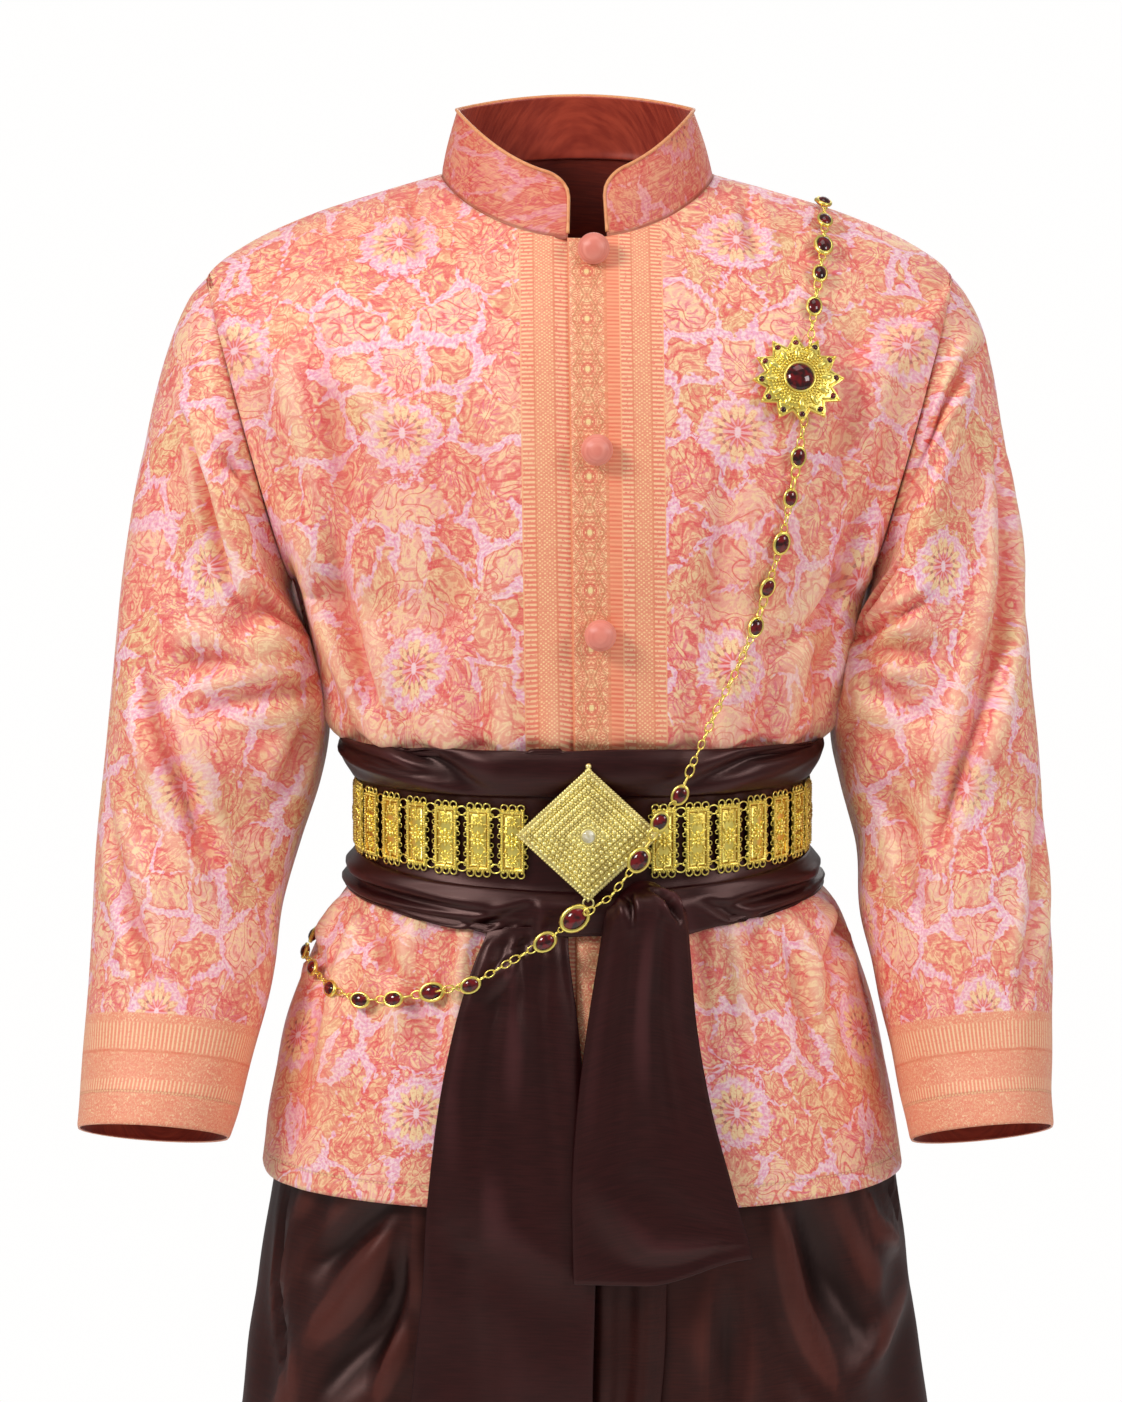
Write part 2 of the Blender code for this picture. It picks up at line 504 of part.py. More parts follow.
def torso(turn, down):
    """The jacket's outer surface. turn: 0 centre front, 1 wearer's left side, 2 centre back,
    and below 0 the same on the right; down: 0 neck, 1 hem."""
    turn = (np.asarray(turn, float) + 2) % 4 - 2
    value = torso_values(down)
    is_front = np.abs(turn) <= 1
    share = np.where(is_front, np.abs(turn), 2 - np.abs(turn))
    side = np.where(turn >= 0, 1.0, -1.0)
    edge_x = np.where(turn >= 0, value["left"], value["right"])
    edge_y = value["edge_y"] * np.where(is_front, -1, 1)
    edge_z = value["z_side"]
    full = value["full"]
    round_share = np.clip(full - 1, 0, 1)
    across = (1 - round_share) * share + round_share * np.sin(share * math.pi / 2)
    flat = np.maximum(full, 2.0)
    depth = np.clip(1 - across**flat, 0, 1) ** (1 / full)
    middle_y = np.where(is_front, -value["front"], value["back"])
    middle_z = np.where(is_front, value["z_front"], value["z_back"])
    return stack(
        side * edge_x * across,
        edge_y + (middle_y - edge_y) * depth,
        edge_z + (middle_z - edge_z) * depth**1.5,
    )


def turn_of(x, down):
    """The turn at which the torso's front lies this far from the centre line."""
    value = torso_values(down)
    edge = np.where(np.asarray(x) >= 0, value["left"], value["right"])
    round_share = np.clip(value["full"] - 1, 0, 1)
    return np.asarray(x) / (edge * (1 - round_share + round_share * math.pi / 2))


def outward(surface, u, v):
    """Unit normals of a surface, away from the upright axis through the body."""
    found = normals(surface, u, v)
    points = surface(u, v)
    away = (found[..., :2] * points[..., :2]).sum()
    return found if away > 0 else -found


def moved(surface, distance):
    """The same surface, moved out by a distance, which may be a function of its points."""

    def result(u, v):
        points = surface(u, v)
        far = distance(points) if callable(distance) else distance
        return points + outward(surface, u, v) * np.broadcast_to(far, np.shape(points)[:-1])[..., None]

    return result


def jacket(turn, down):
    """The jacket's body with its folds."""

    def height(points):
        x, y, z = points[..., 0], points[..., 1], points[..., 2]
        return np.where(y < 0, line_folds(x, z, FRONT_FOLDS), line_folds(x, z, BACK_FOLDS))

    return moved(torso, height)(turn, down)


def down_at(turn, z):
    """The share down the torso at which each turn reaches a height below the arms."""
    turn, z = np.broadcast_arrays(np.asarray(turn, float), np.asarray(z, float))
    start = list(TORSO).index("underarm") / (len(TORSO) - 1)
    steps = np.linspace(start, 1, 90)
    heights = torso(turn[..., None], steps)[..., 2]
    flat_heights = heights.reshape(-1, len(steps))
    found = [np.interp(-height, -row, steps) for height, row in zip(z.ravel(), flat_heights)]
    return np.array(found).reshape(turn.shape)


def torso_at(turn, z):
    return torso(turn, down_at(turn, z))


def edge_height(levels, turn):
    """A height that runs smoothly from the front over the side to the back."""
    share = np.abs(np.asarray(turn, float))
    front = levels["side"] + (levels["front"] - levels["side"]) * np.cos(share * math.pi / 2) ** 2
    back = levels["side"] + (levels["back"] - levels["side"]) * np.cos(share * math.pi / 2) ** 2
    return np.where(share <= 1, front, back)


def lap_edge(down):
    """Where the wearer's left front ends, which drifts a little towards the middle."""
    return LAP_EDGE * (1 - np.clip(np.asarray(down, float), 0, 1) * 0.8)


def window(x, low, high, soft):
    """1 between two places, falling to 0 outside them."""
    rise = np.clip((x - low) / soft + 1, 0, 1)
    fall = np.clip((high - x) / soft + 1, 0, 1)
    return (rise * rise * (3 - 2 * rise)) * (fall * fall * (3 - 2 * fall))


def side_gap(down):
    """Half the gap of a shoulder or side seam, in turns: the flatter the side, the smaller."""
    return np.interp(torso_values(down)["full"], (2.0, 2.3), (0.0034, 0.00050))


def front_left(u, v):
    start = turn_of(lap_edge(v), v)
    return jacket(start + (1 - side_gap(v) - start) * u, v)


def front_right(u, v):
    stops = [
        side_gap(v) - 1,
        turn_of(lap_edge(v) - UNDERLAP_STEP - UNDERLAP_CLEAR, v),
        turn_of(lap_edge(v) - UNDERLAP_CLEAR, v),
        turn_of(UNDERLAP_EDGE, v),
    ]
    turn = 0.0
    for low, high, share in zip(stops, stops[1:], UNDERLAP_SHARES):
        turn = turn + (high - low) * np.clip((u - share[0]) / (share[1] - share[0]), 0, 1)
    turn = turn + stops[0]

    def under(points):
        edge = lap_edge(v) - UNDERLAP_CLEAR
        return -UNDERLAP_DROP * np.clip((points[..., 0] - edge) / UNDERLAP_STEP + 1, 0, 1)

    return moved(jacket, under)(turn, v)


def back(u, v):
    gap = side_gap(v)
    return jacket(1 + gap + (2 - 2 * gap) * u, v)


def sleeve(table, side):
    """A sleeve's outer surface. u: once round, 0 outer, 0.25 front; v: 0 armhole, 1 cuff."""

    def plain(u, v):
        value = {n: smooth(column(table, SLEEVE_COLUMNS, n), v) for n in SLEEVE_COLUMNS}
        share = np.cos(2 * math.pi * u)
        x = (value["outer_x"] + value["inner_x"]) / 2 + (value["outer_x"] - value["inner_x"]) / 2 * share
        z = (value["outer_z"] + value["inner_z"]) / 2 + (value["outer_z"] - value["inner_z"]) / 2 * share
        deep = -value["depth"] * np.sin(2 * math.pi * u)
        apart = ARM_SEAM * np.clip(1 - np.asarray(v) / ARM_SEAM_SHARE, 0, 1)
        for place in SLEEVE_LAP_TURNS:
            bump = np.exp(-(((np.asarray(u) % 1.0 - place) / SLEEVE_LAP_WIDTH) ** 2))
            x = x - smooth(SLEEVE_LAP, v) * bump
        return stack(
            side * (x + apart * math.cos(ARMHOLE_TILT)),
            value["middle_y"] + deep,
            z - value["lean"] * deep - apart * math.sin(ARMHOLE_TILT),
        )

    def result(u, v):
        points = plain(u, v)
        turned = np.asarray(u, float) % 1.0
        height = line_folds(turned * SLEEVE_GIRTH, np.asarray(v) * SLEEVE_LENGTH, sleeve_fold_lines())
        found = normals(plain, u, v)
        found = found if side > 0 else -found
        return points + found * (height * np.clip(np.asarray(v) * 8, 0, 1))[..., None]

    return result


def sleeve_fold_lines():
    """The sleeve's folds in metres round and down it."""
    return {
        n: (a * SLEEVE_GIRTH, b * SLEEVE_LENGTH, c * SLEEVE_GIRTH, d * SLEEVE_LENGTH, height, width)
        for n, (a, b, c, d, height, width) in SLEEVE_FOLDS.items()
    }


def neck_turns():
    """The collar's ends as turns round the neck, from the left end round the back."""
    left = turn_of(NECK_OPEN_LEFT, 0.0)
    right = turn_of(NECK_OPEN_RIGHT, 0.0)
    return float(left), 4 + float(right)


def collar(u, v):
    first, last = neck_turns()
    turn = first + (last - first) * np.asarray(u, float)
    base = torso(turn, 0.0)
    wrapped = (turn + 2) % 4 - 2
    share = np.abs(wrapped)
    side = np.where(wrapped >= 0, COLLAR_TOP["left"], -COLLAR_TOP["right"])
    depth = np.where(share <= 1, -COLLAR_TOP["front"], -COLLAR_TOP["back"])
    top = stack(
        side * np.sin(share * math.pi / 2),
        depth * np.cos(share * math.pi / 2),
        edge_height(COLLAR_TOP_Z, wrapped),
    )
    length = np.linalg.norm(top - base, axis=-1)
    from_end = np.minimum(np.asarray(u), 1 - np.asarray(u)) * COLLAR_LENGTH
    missing = COLLAR_CORNER * (1 - np.sqrt(1 - np.clip(1 - from_end / COLLAR_CORNER, 0, 1) ** 2))
    reach = 1 - missing / length
    climb = (np.asarray(v) * reach)[..., None]
    return base + (top - base) * climb + np.array([0.0, 0.0, COLLAR_SEAM]) * (1 - climb)


def sash(u, v):
    """The sash's outer surface round the waist. u: once round from the right side; v: 0 top, 1 bottom."""
    turn = 4 * np.asarray(u, float)
    wrapped = (turn + 2) % 4 - 2
    drop = smooth(column(SASH, SASH_COLUMNS, "drop"), v)
    out = smooth(column(SASH, SASH_COLUMNS, "out"), v)
    top = edge_height(SASH_TOP_Z, wrapped)
    bottom = edge_height(SASH_BOTTOM_Z, wrapped)
    z = top + (bottom - top) * drop
    points = torso_at(wrapped, z)
    direction = points * np.array([1.0, 1.0, 0.0])
    direction = direction / np.linalg.norm(direction, axis=-1, keepdims=True)
    side = window(np.abs(wrapped), 0.6, 1.4, 0.5) * SASH_SIDE_FLAT
    waves = line_folds(wrapped, drop, SASH_FOLDS)
    return points + direction * (out * (1 - side) + waves)[..., None]


def tail(table, pleats):
    """A hanging end of the sash. u: 0 to 1 across it; v: 0 top, 1 bottom."""

    def result(u, v):
        value = {n: smooth(column(table, TAIL_COLUMNS, n), v) for n in TAIL_COLUMNS}
        u = np.asarray(u, float)
        x = value["x_from"] + (value["x_to"] - value["x_from"]) * u
        gathered = np.clip(1 - np.asarray(v) / TAIL_PLEAT_SHARE, 0, 1)
        wave = TAIL_PLEAT_HEIGHT * gathered * np.sin(math.pi * pleats * u) ** 2
        bulge = value["cup"] * np.sin(math.pi * u)
        return stack(x, value["y"] - wave - bulge, value["z"])

    return result


def leg(side):
    """A half of the chong kraben. u: 0 centre front, 0.5 outer side, 1 centre back; v: 0 waist, 1 hem."""

    def plain(u, v):
        value = {n: smooth(column(LEG, LEG_COLUMNS, n), v) for n in LEG_COLUMNS}
        reach = np.clip((value["middle"] - SEAM / 2) / value["half"], -1, 1)
        start = np.arccos(reach)
        angle = start + (2 * math.pi - 2 * start) * np.asarray(u, float)
        is_front = angle < math.pi
        middle_z = np.where(is_front, value["z_front"], value["z_back"])
        deep = np.abs(np.sin(angle))
        shape = stack(
            side * (value["middle"] - value["half"] * np.cos(angle)),
            value["y"] + deep * np.where(is_front, -value["front"], value["back"]),
            value["z_side"] + (middle_z - value["z_side"]) * deep**1.5,
        )
        waist = waist_inside(side * 2 * np.asarray(u, float), shape[..., 2])
        kept = np.clip(1 - np.asarray(v) / LEG_WAIST_SHARE, 0, 1)[..., None] ** 0.7
        found = shape + (waist - shape) * kept
        found[..., 0] = side * np.maximum(side * found[..., 0], SEAM / 2)
        found[..., 0] += LEG_LEAN * np.clip(v / LEG_WAIST_SHARE - 1, 0, 1)
        return found

    def result(u, v):
        points = plain(u, v)
        lines = {
            n: (a * LEG_GIRTH, b * LEG_LENGTH, c * LEG_GIRTH, d * LEG_LENGTH, height, width)
            for n, (a, b, c, d, height, width) in LEG_FOLDS.items()
        }
        height = line_folds(np.asarray(u) * LEG_GIRTH, np.asarray(v) * LEG_LENGTH, lines)
        found = normals(plain, u, v)
        found = found if side < 0 else -found
        seam_room = np.clip(np.minimum(u, 1 - np.asarray(u)) / LEG_SEAM_SHARE - 1, 0, 1)
        return points + found * (height * seam_room)[..., None]

    return result


def waist_inside(turn, z):
    """Just inside the jacket at the waist, clear of the front edge that lies under the other."""
    room = CLOTH + WAIST_ROOM

    def distance(points):
        under = window(points[..., 0], lap_edge(0.6) - 0.004, UNDERLAP_EDGE + 0.004, 0.014)
        return -(room + (UNDERLAP_DROP + 0.0003) * under)

    return moved(torso_at, distance)(turn, z)


def waistband(u, v):
    turn = 4 * np.asarray(u, float)
    wrapped = (turn + 2) % 4 - 2
    top = LEG["waist"][LEG_COLUMNS.index("z_side")] + SEAM + WAISTBAND_HEIGHT
    return waist_inside(wrapped, top - WAISTBAND_HEIGHT * np.asarray(v, float))


def strip(table, facing):
    """A pleated strip down the middle of the chong kraben. facing: -1 front, 1 back."""

    def result(u, v):
        value = {n: smooth(column(table, PLEAT_STRIP, n), v) for n in PLEAT_STRIP}
        u = np.asarray(u, float)
        z = value["z"]
        face = leg_face(facing, z)
        wave = value["pleat"] * (0.5 - 0.5 * np.cos(2 * math.pi * PLEATS * u))
        x = value["x_from"] + (value["x_to"] - value["x_from"]) * u
        return stack(x, facing * (face + value["out"] + wave), z)

    return result


def leg_face(facing, z):
    """How far in front of or behind the body the chong kraben lies near its middle."""
    name, level = ("front", "z_front") if facing < 0 else ("back", "z_back")
    heights = column(LEG, LEG_COLUMNS, level)
    order = np.argsort(heights)

    def at(which):
        return np.interp(z, heights[order], column(LEG, LEG_COLUMNS, which)[order])

    reach = np.clip((at("middle") - STRIP_SEAT) / at("half"), 0, 1)
    return at(name) * np.sqrt(1 - reach**2) + facing * at("y")


# ---- making the pieces ----


def new_object(name, mesh, material, collection):
    mesh.materials.append(material)
    made = bpy.data.objects.new(name, mesh)
    collection.objects.link(made)
    return made


def sheet(name, surface, grid, wall, material, collection, closed=False, axis=(0.0, 0.0)):
    """A cloth piece: a grid laid on surface(u, v), facing away from an upright axis, with a
    wall inside it."""
    across, along = grid
    shape = bmesh.new()
    bmesh.ops.create_grid(shape, x_segments=across, y_segments=along, size=0.5)
    shape.verts.ensure_lookup_table()
    flat = np.array([vert.co for vert in shape.verts])
    points = surface(flat[:, 0] + 0.5, flat[:, 1] + 0.5)
    for vert, point in zip(shape.verts, points):
        vert.co = point
    if closed:
        bmesh.ops.remove_doubles(shape, verts=shape.verts, dist=WELD)
    shape.normal_update()
    facing = 0.0
    for face in shape.faces:
        middle = face.calc_center_median()
        away = (middle.x - axis[0]) * face.normal.x + (middle.y - axis[1]) * face.normal.y
        facing += away * face.calc_area()
    if facing < 0:
        bmesh.ops.reverse_faces(shape, faces=shape.faces)
    mesh = bpy.data.meshes.new(name)
    shape.to_mesh(mesh)
    shape.free()
    mesh.shade_smooth()
    made = new_object(name, mesh, material, collection)
    solid = made.modifiers.new("Wall", "SOLIDIFY")
    solid.thickness = wall
    solid.offset = -1
    solid.use_even_offset = True
    solid.use_quality_normals = True
    return made


def ball(name, centre, normal, radius, flat, material, collection):
    """A covered button: a ball pressed flat towards the cloth that it stands on."""
    shape = bmesh.new()
    bmesh.ops.create_uvsphere(shape, u_segments=14, v_segments=7, radius=radius)
    turn = Vector(normal).to_track_quat("Z", "Y")
    for vert in shape.verts:
        vert.co.z *= flat
        vert.co = turn @ vert.co + Vector(centre)
    mesh = bpy.data.meshes.new(name)
    shape.to_mesh(mesh)
    shape.free()
    mesh.shade_smooth()
    return new_object(name, mesh, material, collection)


def place_on(surface, turns, downs, x, z):
    """The point and normal of a surface nearest to a place seen from the front or the back."""
    u, v = np.meshgrid(np.linspace(*turns, 120), np.linspace(*downs, 240), indexing="ij")
    points = surface(u, v)
    far = (points[..., 0] - x) ** 2 + (points[..., 2] - z) ** 2
    best = np.unravel_index(np.argmin(far), far.shape)
    low_u, low_v, step = u[best], v[best], 1e-3
    for _ in range(3):
        here = surface(low_u, low_v)
        by_u = (surface(low_u + step, low_v) - here) / step
        by_v = (surface(low_u, low_v + step) - here) / step
        matrix = np.array([[by_u[0], by_v[0]], [by_u[2], by_v[2]]])
        change = np.linalg.solve(matrix, [x - here[0], z - here[2]])
        low_u = np.clip(low_u + change[0], *turns)
        low_v = np.clip(low_v + change[1], *downs)
    return surface(low_u, low_v), outward(surface, low_u, low_v)


def make_buttons(materials, collection):
    for name, z in BUTTONS.items():
        point, normal = place_on(jacket, (0.0, 0.3), (0.0, 0.9), BUTTON_X[name], z)
        centre = point + normal * (BUTTON_RADIUS * BUTTON_FLAT + SEAM)
        ball(name, centre, normal, BUTTON_RADIUS, BUTTON_FLAT, materials["button_cloth"], collection)


def make_sash(materials, collection):
    satin = materials["satin"]
    sheet("sash_wrap", sash, SASH_GRID, SATIN, satin, collection, closed=True)
    sheet("sash_tail_under", tail(TAIL_UNDER, TAIL_PLEATS), TAIL_GRID, SATIN, satin, collection)
    sheet("sash_tail_over", tail(TAIL_OVER, TAIL_PLEATS), TAIL_GRID, SATIN, satin, collection)


def prism(name, outline, place, along, up, away, thick, material, collection):
    """A plate: a flat outline in two directions, given a thickness in the third."""
    shape = bmesh.new()
    verts = [shape.verts.new(place + along * x + up * z) for x, z in outline]
    plate = shape.faces.new(verts)
    raised = bmesh.ops.extrude_face_region(shape, geom=[plate])
    far_side = [item for item in raised["geom"] if isinstance(item, bmesh.types.BMVert)]
    bmesh.ops.translate(shape, vec=away * thick, verts=far_side)
    bmesh.ops.recalc_face_normals(shape, faces=shape.faces)
    mesh = bpy.data.meshes.new(name)
    shape.to_mesh(mesh)
    shape.free()
    return new_object(name, mesh, material, collection)


def belt_path():
    """The belt's middle line round the sash, as turns and the distance along it."""
    turns = np.linspace(-2, 2, BELT_STOPS)
    points = sash(turns / 4, BELT_SHARE)
    steps = np.linalg.norm(np.diff(points[:, :2], axis=0), axis=1)
    return turns, points, np.concatenate([[0.0], np.cumsum(steps)])


def make_belt(materials, collection):
    """Openwork panels with ears that meet their neighbours', from one side of the buckle to the other."""
    turns, points, far = belt_path()
    surface = faceted(sash, SASH_GRID)
    middle = np.interp(turns_at_x(points, BUCKLE_CENTRE[0]), turns, far)
    total = far[-1]
    pitch = (total - BUCKLE_GAP) / BELT_PANELS
    tall, ear = PANEL_HEIGHT / 2, PANEL_EAR
    up = Vector((0, 0, 1))
    for number in range(BELT_PANELS):
        here = (middle + BUCKLE_GAP / 2 + pitch * (number + 0.5)) % total
        turn = np.interp(here, far, turns)
        ends = [
            Vector((*(np.interp((here + shift) % total, far, points[:, axis]) for axis in (0, 1)), 0.0))
            for shift in (-pitch / 2, pitch / 2)
        ]
        along = (ends[1] - ends[0]).normalized()
        away = along.cross(up)
        reach = (ends[1] - ends[0]).length / 2 - PANEL_CLEAR
        half = min(PANEL_WIDTH / 2, reach - PANEL_SIDE)
        right = [(reach, -tall), (reach, ear - tall), (half, ear - tall)]
        right += [(half, tall - ear), (reach, tall - ear), (reach, tall)]
        ring = right + [(-x, z) for x, z in reversed(right)]
        centre = (ends[0] + ends[1]) / 2 + up * float(edge_height(BELT_MIDDLE_Z, turn))
        place = centre + away * (sash_reach(surface, turn, centre, away) + PANEL_SEAT)
        name = f"belt_panel_{number + 1:02d}"
        prism(name, ring, place, along, up, away, PANEL_THICK, materials["gold"], collection)


def faceted(surface, grid):
    """The same surface with straight stretches between the points of its grid."""
    across, along = grid
    u, v = np.meshgrid(np.arange(across + 1) / across, np.arange(along + 1) / along, indexing="ij")
    points = surface(u, v)

    def result(u, v):
        place_u = (np.asarray(u, float) % 1.0) * across
        place_v = np.clip(np.asarray(v, float), 0, 1) * along
        i = np.minimum(place_u.astype(int), across - 1)
        j = np.minimum(place_v.astype(int), along - 1)
        s, t = (place_u - i)[..., None], (place_v - j)[..., None]
        low = points[i, j] * (1 - s) + points[i + 1, j] * s
        high = points[i, j + 1] * (1 - s) + points[i + 1, j + 1] * s
        return low * (1 - t) + high * t

    return result


def sash_reach(surface, turn, centre, away):
    """How far the sash stands out behind a belt panel."""
    turns, downs = np.meshgrid(np.linspace(turn - 0.09, turn + 0.09, 15), np.linspace(0, 1, 61))
    points = surface(turns / 4, downs)
    behind = np.abs(points[..., 2] - centre.z) < PANEL_HEIGHT / 2
    return float(((points - np.array(centre)) @ np.array(away))[behind].max())


def turns_at_x(points, x):
    """The turn at which the belt's front passes a distance from the centre line."""
    front = points[:, 1] < 0
    return float(np.interp(x, points[front, 0], np.linspace(-2, 2, BELT_STOPS)[front]))


def make_buckle(materials, collection):
    """A diamond plate with rounded corners and steps that rise towards its middle."""
    corners = ((1, 0), (0, 1), (-1, 0), (0, -1))
    outline = []
    for number, (a, b) in enumerate(corners):
        before, after = corners[number - 1], corners[(number + 1) % 4]
        for other in (before, after):
            share = BUCKLE_ROUND
            outline.append((a + (other[0] - a) * share, b + (other[1] - b) * share))
    shape = bmesh.new()
    rings = []
    across = BUCKLE_HALF_WIDTH / (1 - BUCKLE_ROUND)
    tall = BUCKLE_HALF_HEIGHT / (1 - BUCKLE_ROUND)
    middle_x, middle_z = BUCKLE_CENTRE
    for size, height in buckle_rings():
        y = BUCKLE_Y - height
        places = [(middle_x + across * a * size, y, middle_z + tall * b * size) for a, b in outline]
        rings.append([shape.verts.new(place) for place in places])
    shape.faces.new(rings[0])
    shape.faces.new(rings[-1])
    for low, high in zip(rings, rings[1:]):
        bmesh.ops.bridge_loops(shape, edges=ring_edges(shape, low) + ring_edges(shape, high))
    bmesh.ops.recalc_face_normals(shape, faces=shape.faces)
    mesh = bpy.data.meshes.new("belt_buckle")
    shape.to_mesh(mesh)
    shape.free()
    new_object("belt_buckle", mesh, materials["pale_gold"], collection)


def buckle_rings():
    """Size and height of each ring of the buckle, back to front."""
    rings = [(1.0, 0.0), (1.0, BUCKLE_BASE)]
    for step in range(BUCKLE_STEPS):
        size = 1.0 - (step + 1) / (BUCKLE_STEPS + 1)
        height = BUCKLE_BASE + step * BUCKLE_STEP_HEIGHT
        rings.append((size + BUCKLE_BEVEL, height + BUCKLE_LEDGE_RISE))
        rings.append((size, height + BUCKLE_STEP_HEIGHT))
    return rings


def ring_edges(shape, ring):
    found = []
    for first, second in zip(ring, ring[1:] + ring[:1]):
        edge = shape.edges.get((first, second)) or shape.edges.new((first, second))
        found.append(edge)
    return found


def chain_points(stones):
    """The middles of a stretch's stones: on the cloth, or where a stone lies over the sash."""
    found = []
    for side, x, z, y in stones:
        if y is not None:
            found.append(np.array([x, y, z]))
            continue
        turns = {"front": (-1.0, 1.0), "back": (1.0, 3.0)}[side]
        point, normal = place_on(jacket, turns, (0.0, 1.0), x, z)
        found.append(point + normal * (CHAIN_STONE + CHAIN_CLEAR))
    return found


def make_chain(name, stones, materials, collection):
    """A stretch of linked stones: a thin line that swells at each stone."""
    points = chain_points(stones)
    line = []
    for number, point in enumerate(points):
        towards = points[number + 1] if number + 1 < len(points) else point
        behind = points[number - 1] if number else point
        way = (towards - behind) / np.linalg.norm(towards - behind)
        for shift, radius in ((-CHAIN_STONE, CHAIN_LINK), (0.0, CHAIN_STONE), (CHAIN_STONE, CHAIN_LINK)):
            line.append((point + way * shift, radius))
    curve = bpy.data.curves.new(name, "CURVE")
    curve.dimensions = "3D"
    curve.bevel_depth = 1.0
    curve.bevel_resolution = 1
    curve.use_fill_caps = True
    spline = curve.splines.new("POLY")
    spline.points.add(len(line) - 1)
    for knot, (point, radius) in zip(spline.points, line):
        knot.co = (*point, 1.0)
        knot.radius = radius
    return new_object(name, curve, materials["gold"], collection)


def make_brooch(materials, collection):
    """A sun: a domed disc with pointed rays, lying on the left breast."""
    point, normal = place_on(jacket, (0.0, 1.0), (0.0, 1.0), *BROOCH_PLACE)
    turn = Vector(normal).to_track_quat("Z", "Y")
    turns, downs = np.meshgrid(np.linspace(0.1, 1, 160), np.linspace(0, 0.6, 160))
    near = jacket(turns, downs) - point
    heights = (near @ normal)[np.linalg.norm(near, axis=-1) < BROOCH_RADIUS]
    seat = float(heights.max()) + SEAM
    shape = bmesh.new()
    rings = []
    for size, height in BROOCH_RINGS:
        ring = []
        for number in range(2 * BROOCH_POINTS):
            angle = math.pi * number / BROOCH_POINTS
            in_valley = size == 1.0 and number % 2 == 1
            reach = BROOCH_VALLEY if in_valley else BROOCH_RADIUS * size
            flat = Vector((reach * math.cos(angle), reach * math.sin(angle), height + seat))
            ring.append(shape.verts.new(turn @ flat + Vector(point)))
        rings.append(ring)
    shape.faces.new(rings[0])
    shape.faces.new(rings[-1])
    for low, high in zip(rings, rings[1:]):
        bmesh.ops.bridge_loops(shape, edges=ring_edges(shape, low) + ring_edges(shape, high))
    bmesh.ops.recalc_face_normals(shape, faces=shape.faces)
    mesh = bpy.data.meshes.new("brooch")
    shape.to_mesh(mesh)
    shape.free()
    new_object("brooch", mesh, materials["gold"], collection)


def make_kraben(materials, collection):
    cloth = materials["kraben_cloth"]
    sheet("kraben_waistband", waistband, BAND_GRID, CLOTH, cloth, collection, closed=True)
    sheet("kraben_leg_left", leg(1), LEG_GRID, CLOTH, cloth, collection, True, (LEG_AXIS, 0.0))
    sheet("kraben_leg_right", leg(-1), LEG_GRID, CLOTH, cloth, collection, True, (-LEG_AXIS, 0.0))
    sheet("kraben_pleats", strip(FRONT_PLEATS, -1), STRIP_GRID, CLOTH, cloth, collection)
    sheet("kraben_tail", strip(BACK_TAIL, 1), STRIP_GRID, CLOTH, cloth, collection)


def make_jacket(materials, collection):
    cloth = materials["brocade"]
    sheet("jacket_front_left", front_left, FRONT_GRID, CLOTH, cloth, collection)
    sheet("jacket_front_right", front_right, FRONT_GRID, CLOTH, cloth, collection)
    sheet("jacket_back", back, BACK_GRID, CLOTH, cloth, collection)
    right, left = (-ARM_AXIS[0], ARM_AXIS[1]), ARM_AXIS
    sheet("sleeve_right", sleeve(SLEEVE_RIGHT, -1), SLEEVE_GRID, CLOTH, cloth, collection, True, right)
    sheet("sleeve_left", sleeve(SLEEVE_LEFT, 1), SLEEVE_GRID, CLOTH, cloth, collection, True, left)
    sheet("collar", collar, COLLAR_GRID, CLOTH, cloth, collection)


def main():
    clear_scene()
    collection = bpy.data.collections.new(OUTFIT)
    bpy.context.scene.collection.children.link(collection)
    materials = make_materials()
    make_jacket(materials, collection)
    make_buttons(materials, collection)
    make_sash(materials, collection)
    make_belt(materials, collection)
    make_buckle(materials, collection)
    make_chain("chain_shoulder", CHAIN_SHOULDER, materials, collection)
    make_chain("chain_front", CHAIN_FRONT, materials, collection)
    make_chain("chain_waist", CHAIN_WAIST, materials, collection)
    make_chain("chain_back", CHAIN_BACK, materials, collection)
    make_brooch(materials, collection)
    make_kraben(materials, collection)


main()
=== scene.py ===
import math

import bmesh
import bpy
import numpy as np
from mathutils import Matrix, Vector


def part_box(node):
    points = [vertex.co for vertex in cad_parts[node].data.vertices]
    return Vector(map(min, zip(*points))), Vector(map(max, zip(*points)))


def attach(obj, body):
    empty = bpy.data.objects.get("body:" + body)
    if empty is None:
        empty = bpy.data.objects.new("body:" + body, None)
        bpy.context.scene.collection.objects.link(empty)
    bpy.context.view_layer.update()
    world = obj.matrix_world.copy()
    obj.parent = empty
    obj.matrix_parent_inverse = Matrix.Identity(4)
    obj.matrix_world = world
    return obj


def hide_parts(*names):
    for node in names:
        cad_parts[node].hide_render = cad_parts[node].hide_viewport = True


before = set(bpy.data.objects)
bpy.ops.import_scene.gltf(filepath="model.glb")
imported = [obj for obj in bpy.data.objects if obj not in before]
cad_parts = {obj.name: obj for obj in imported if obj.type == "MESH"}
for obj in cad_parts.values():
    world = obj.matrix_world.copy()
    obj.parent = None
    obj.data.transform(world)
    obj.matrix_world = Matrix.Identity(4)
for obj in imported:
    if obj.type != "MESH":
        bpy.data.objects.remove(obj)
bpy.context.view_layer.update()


# Camera, floor and lights

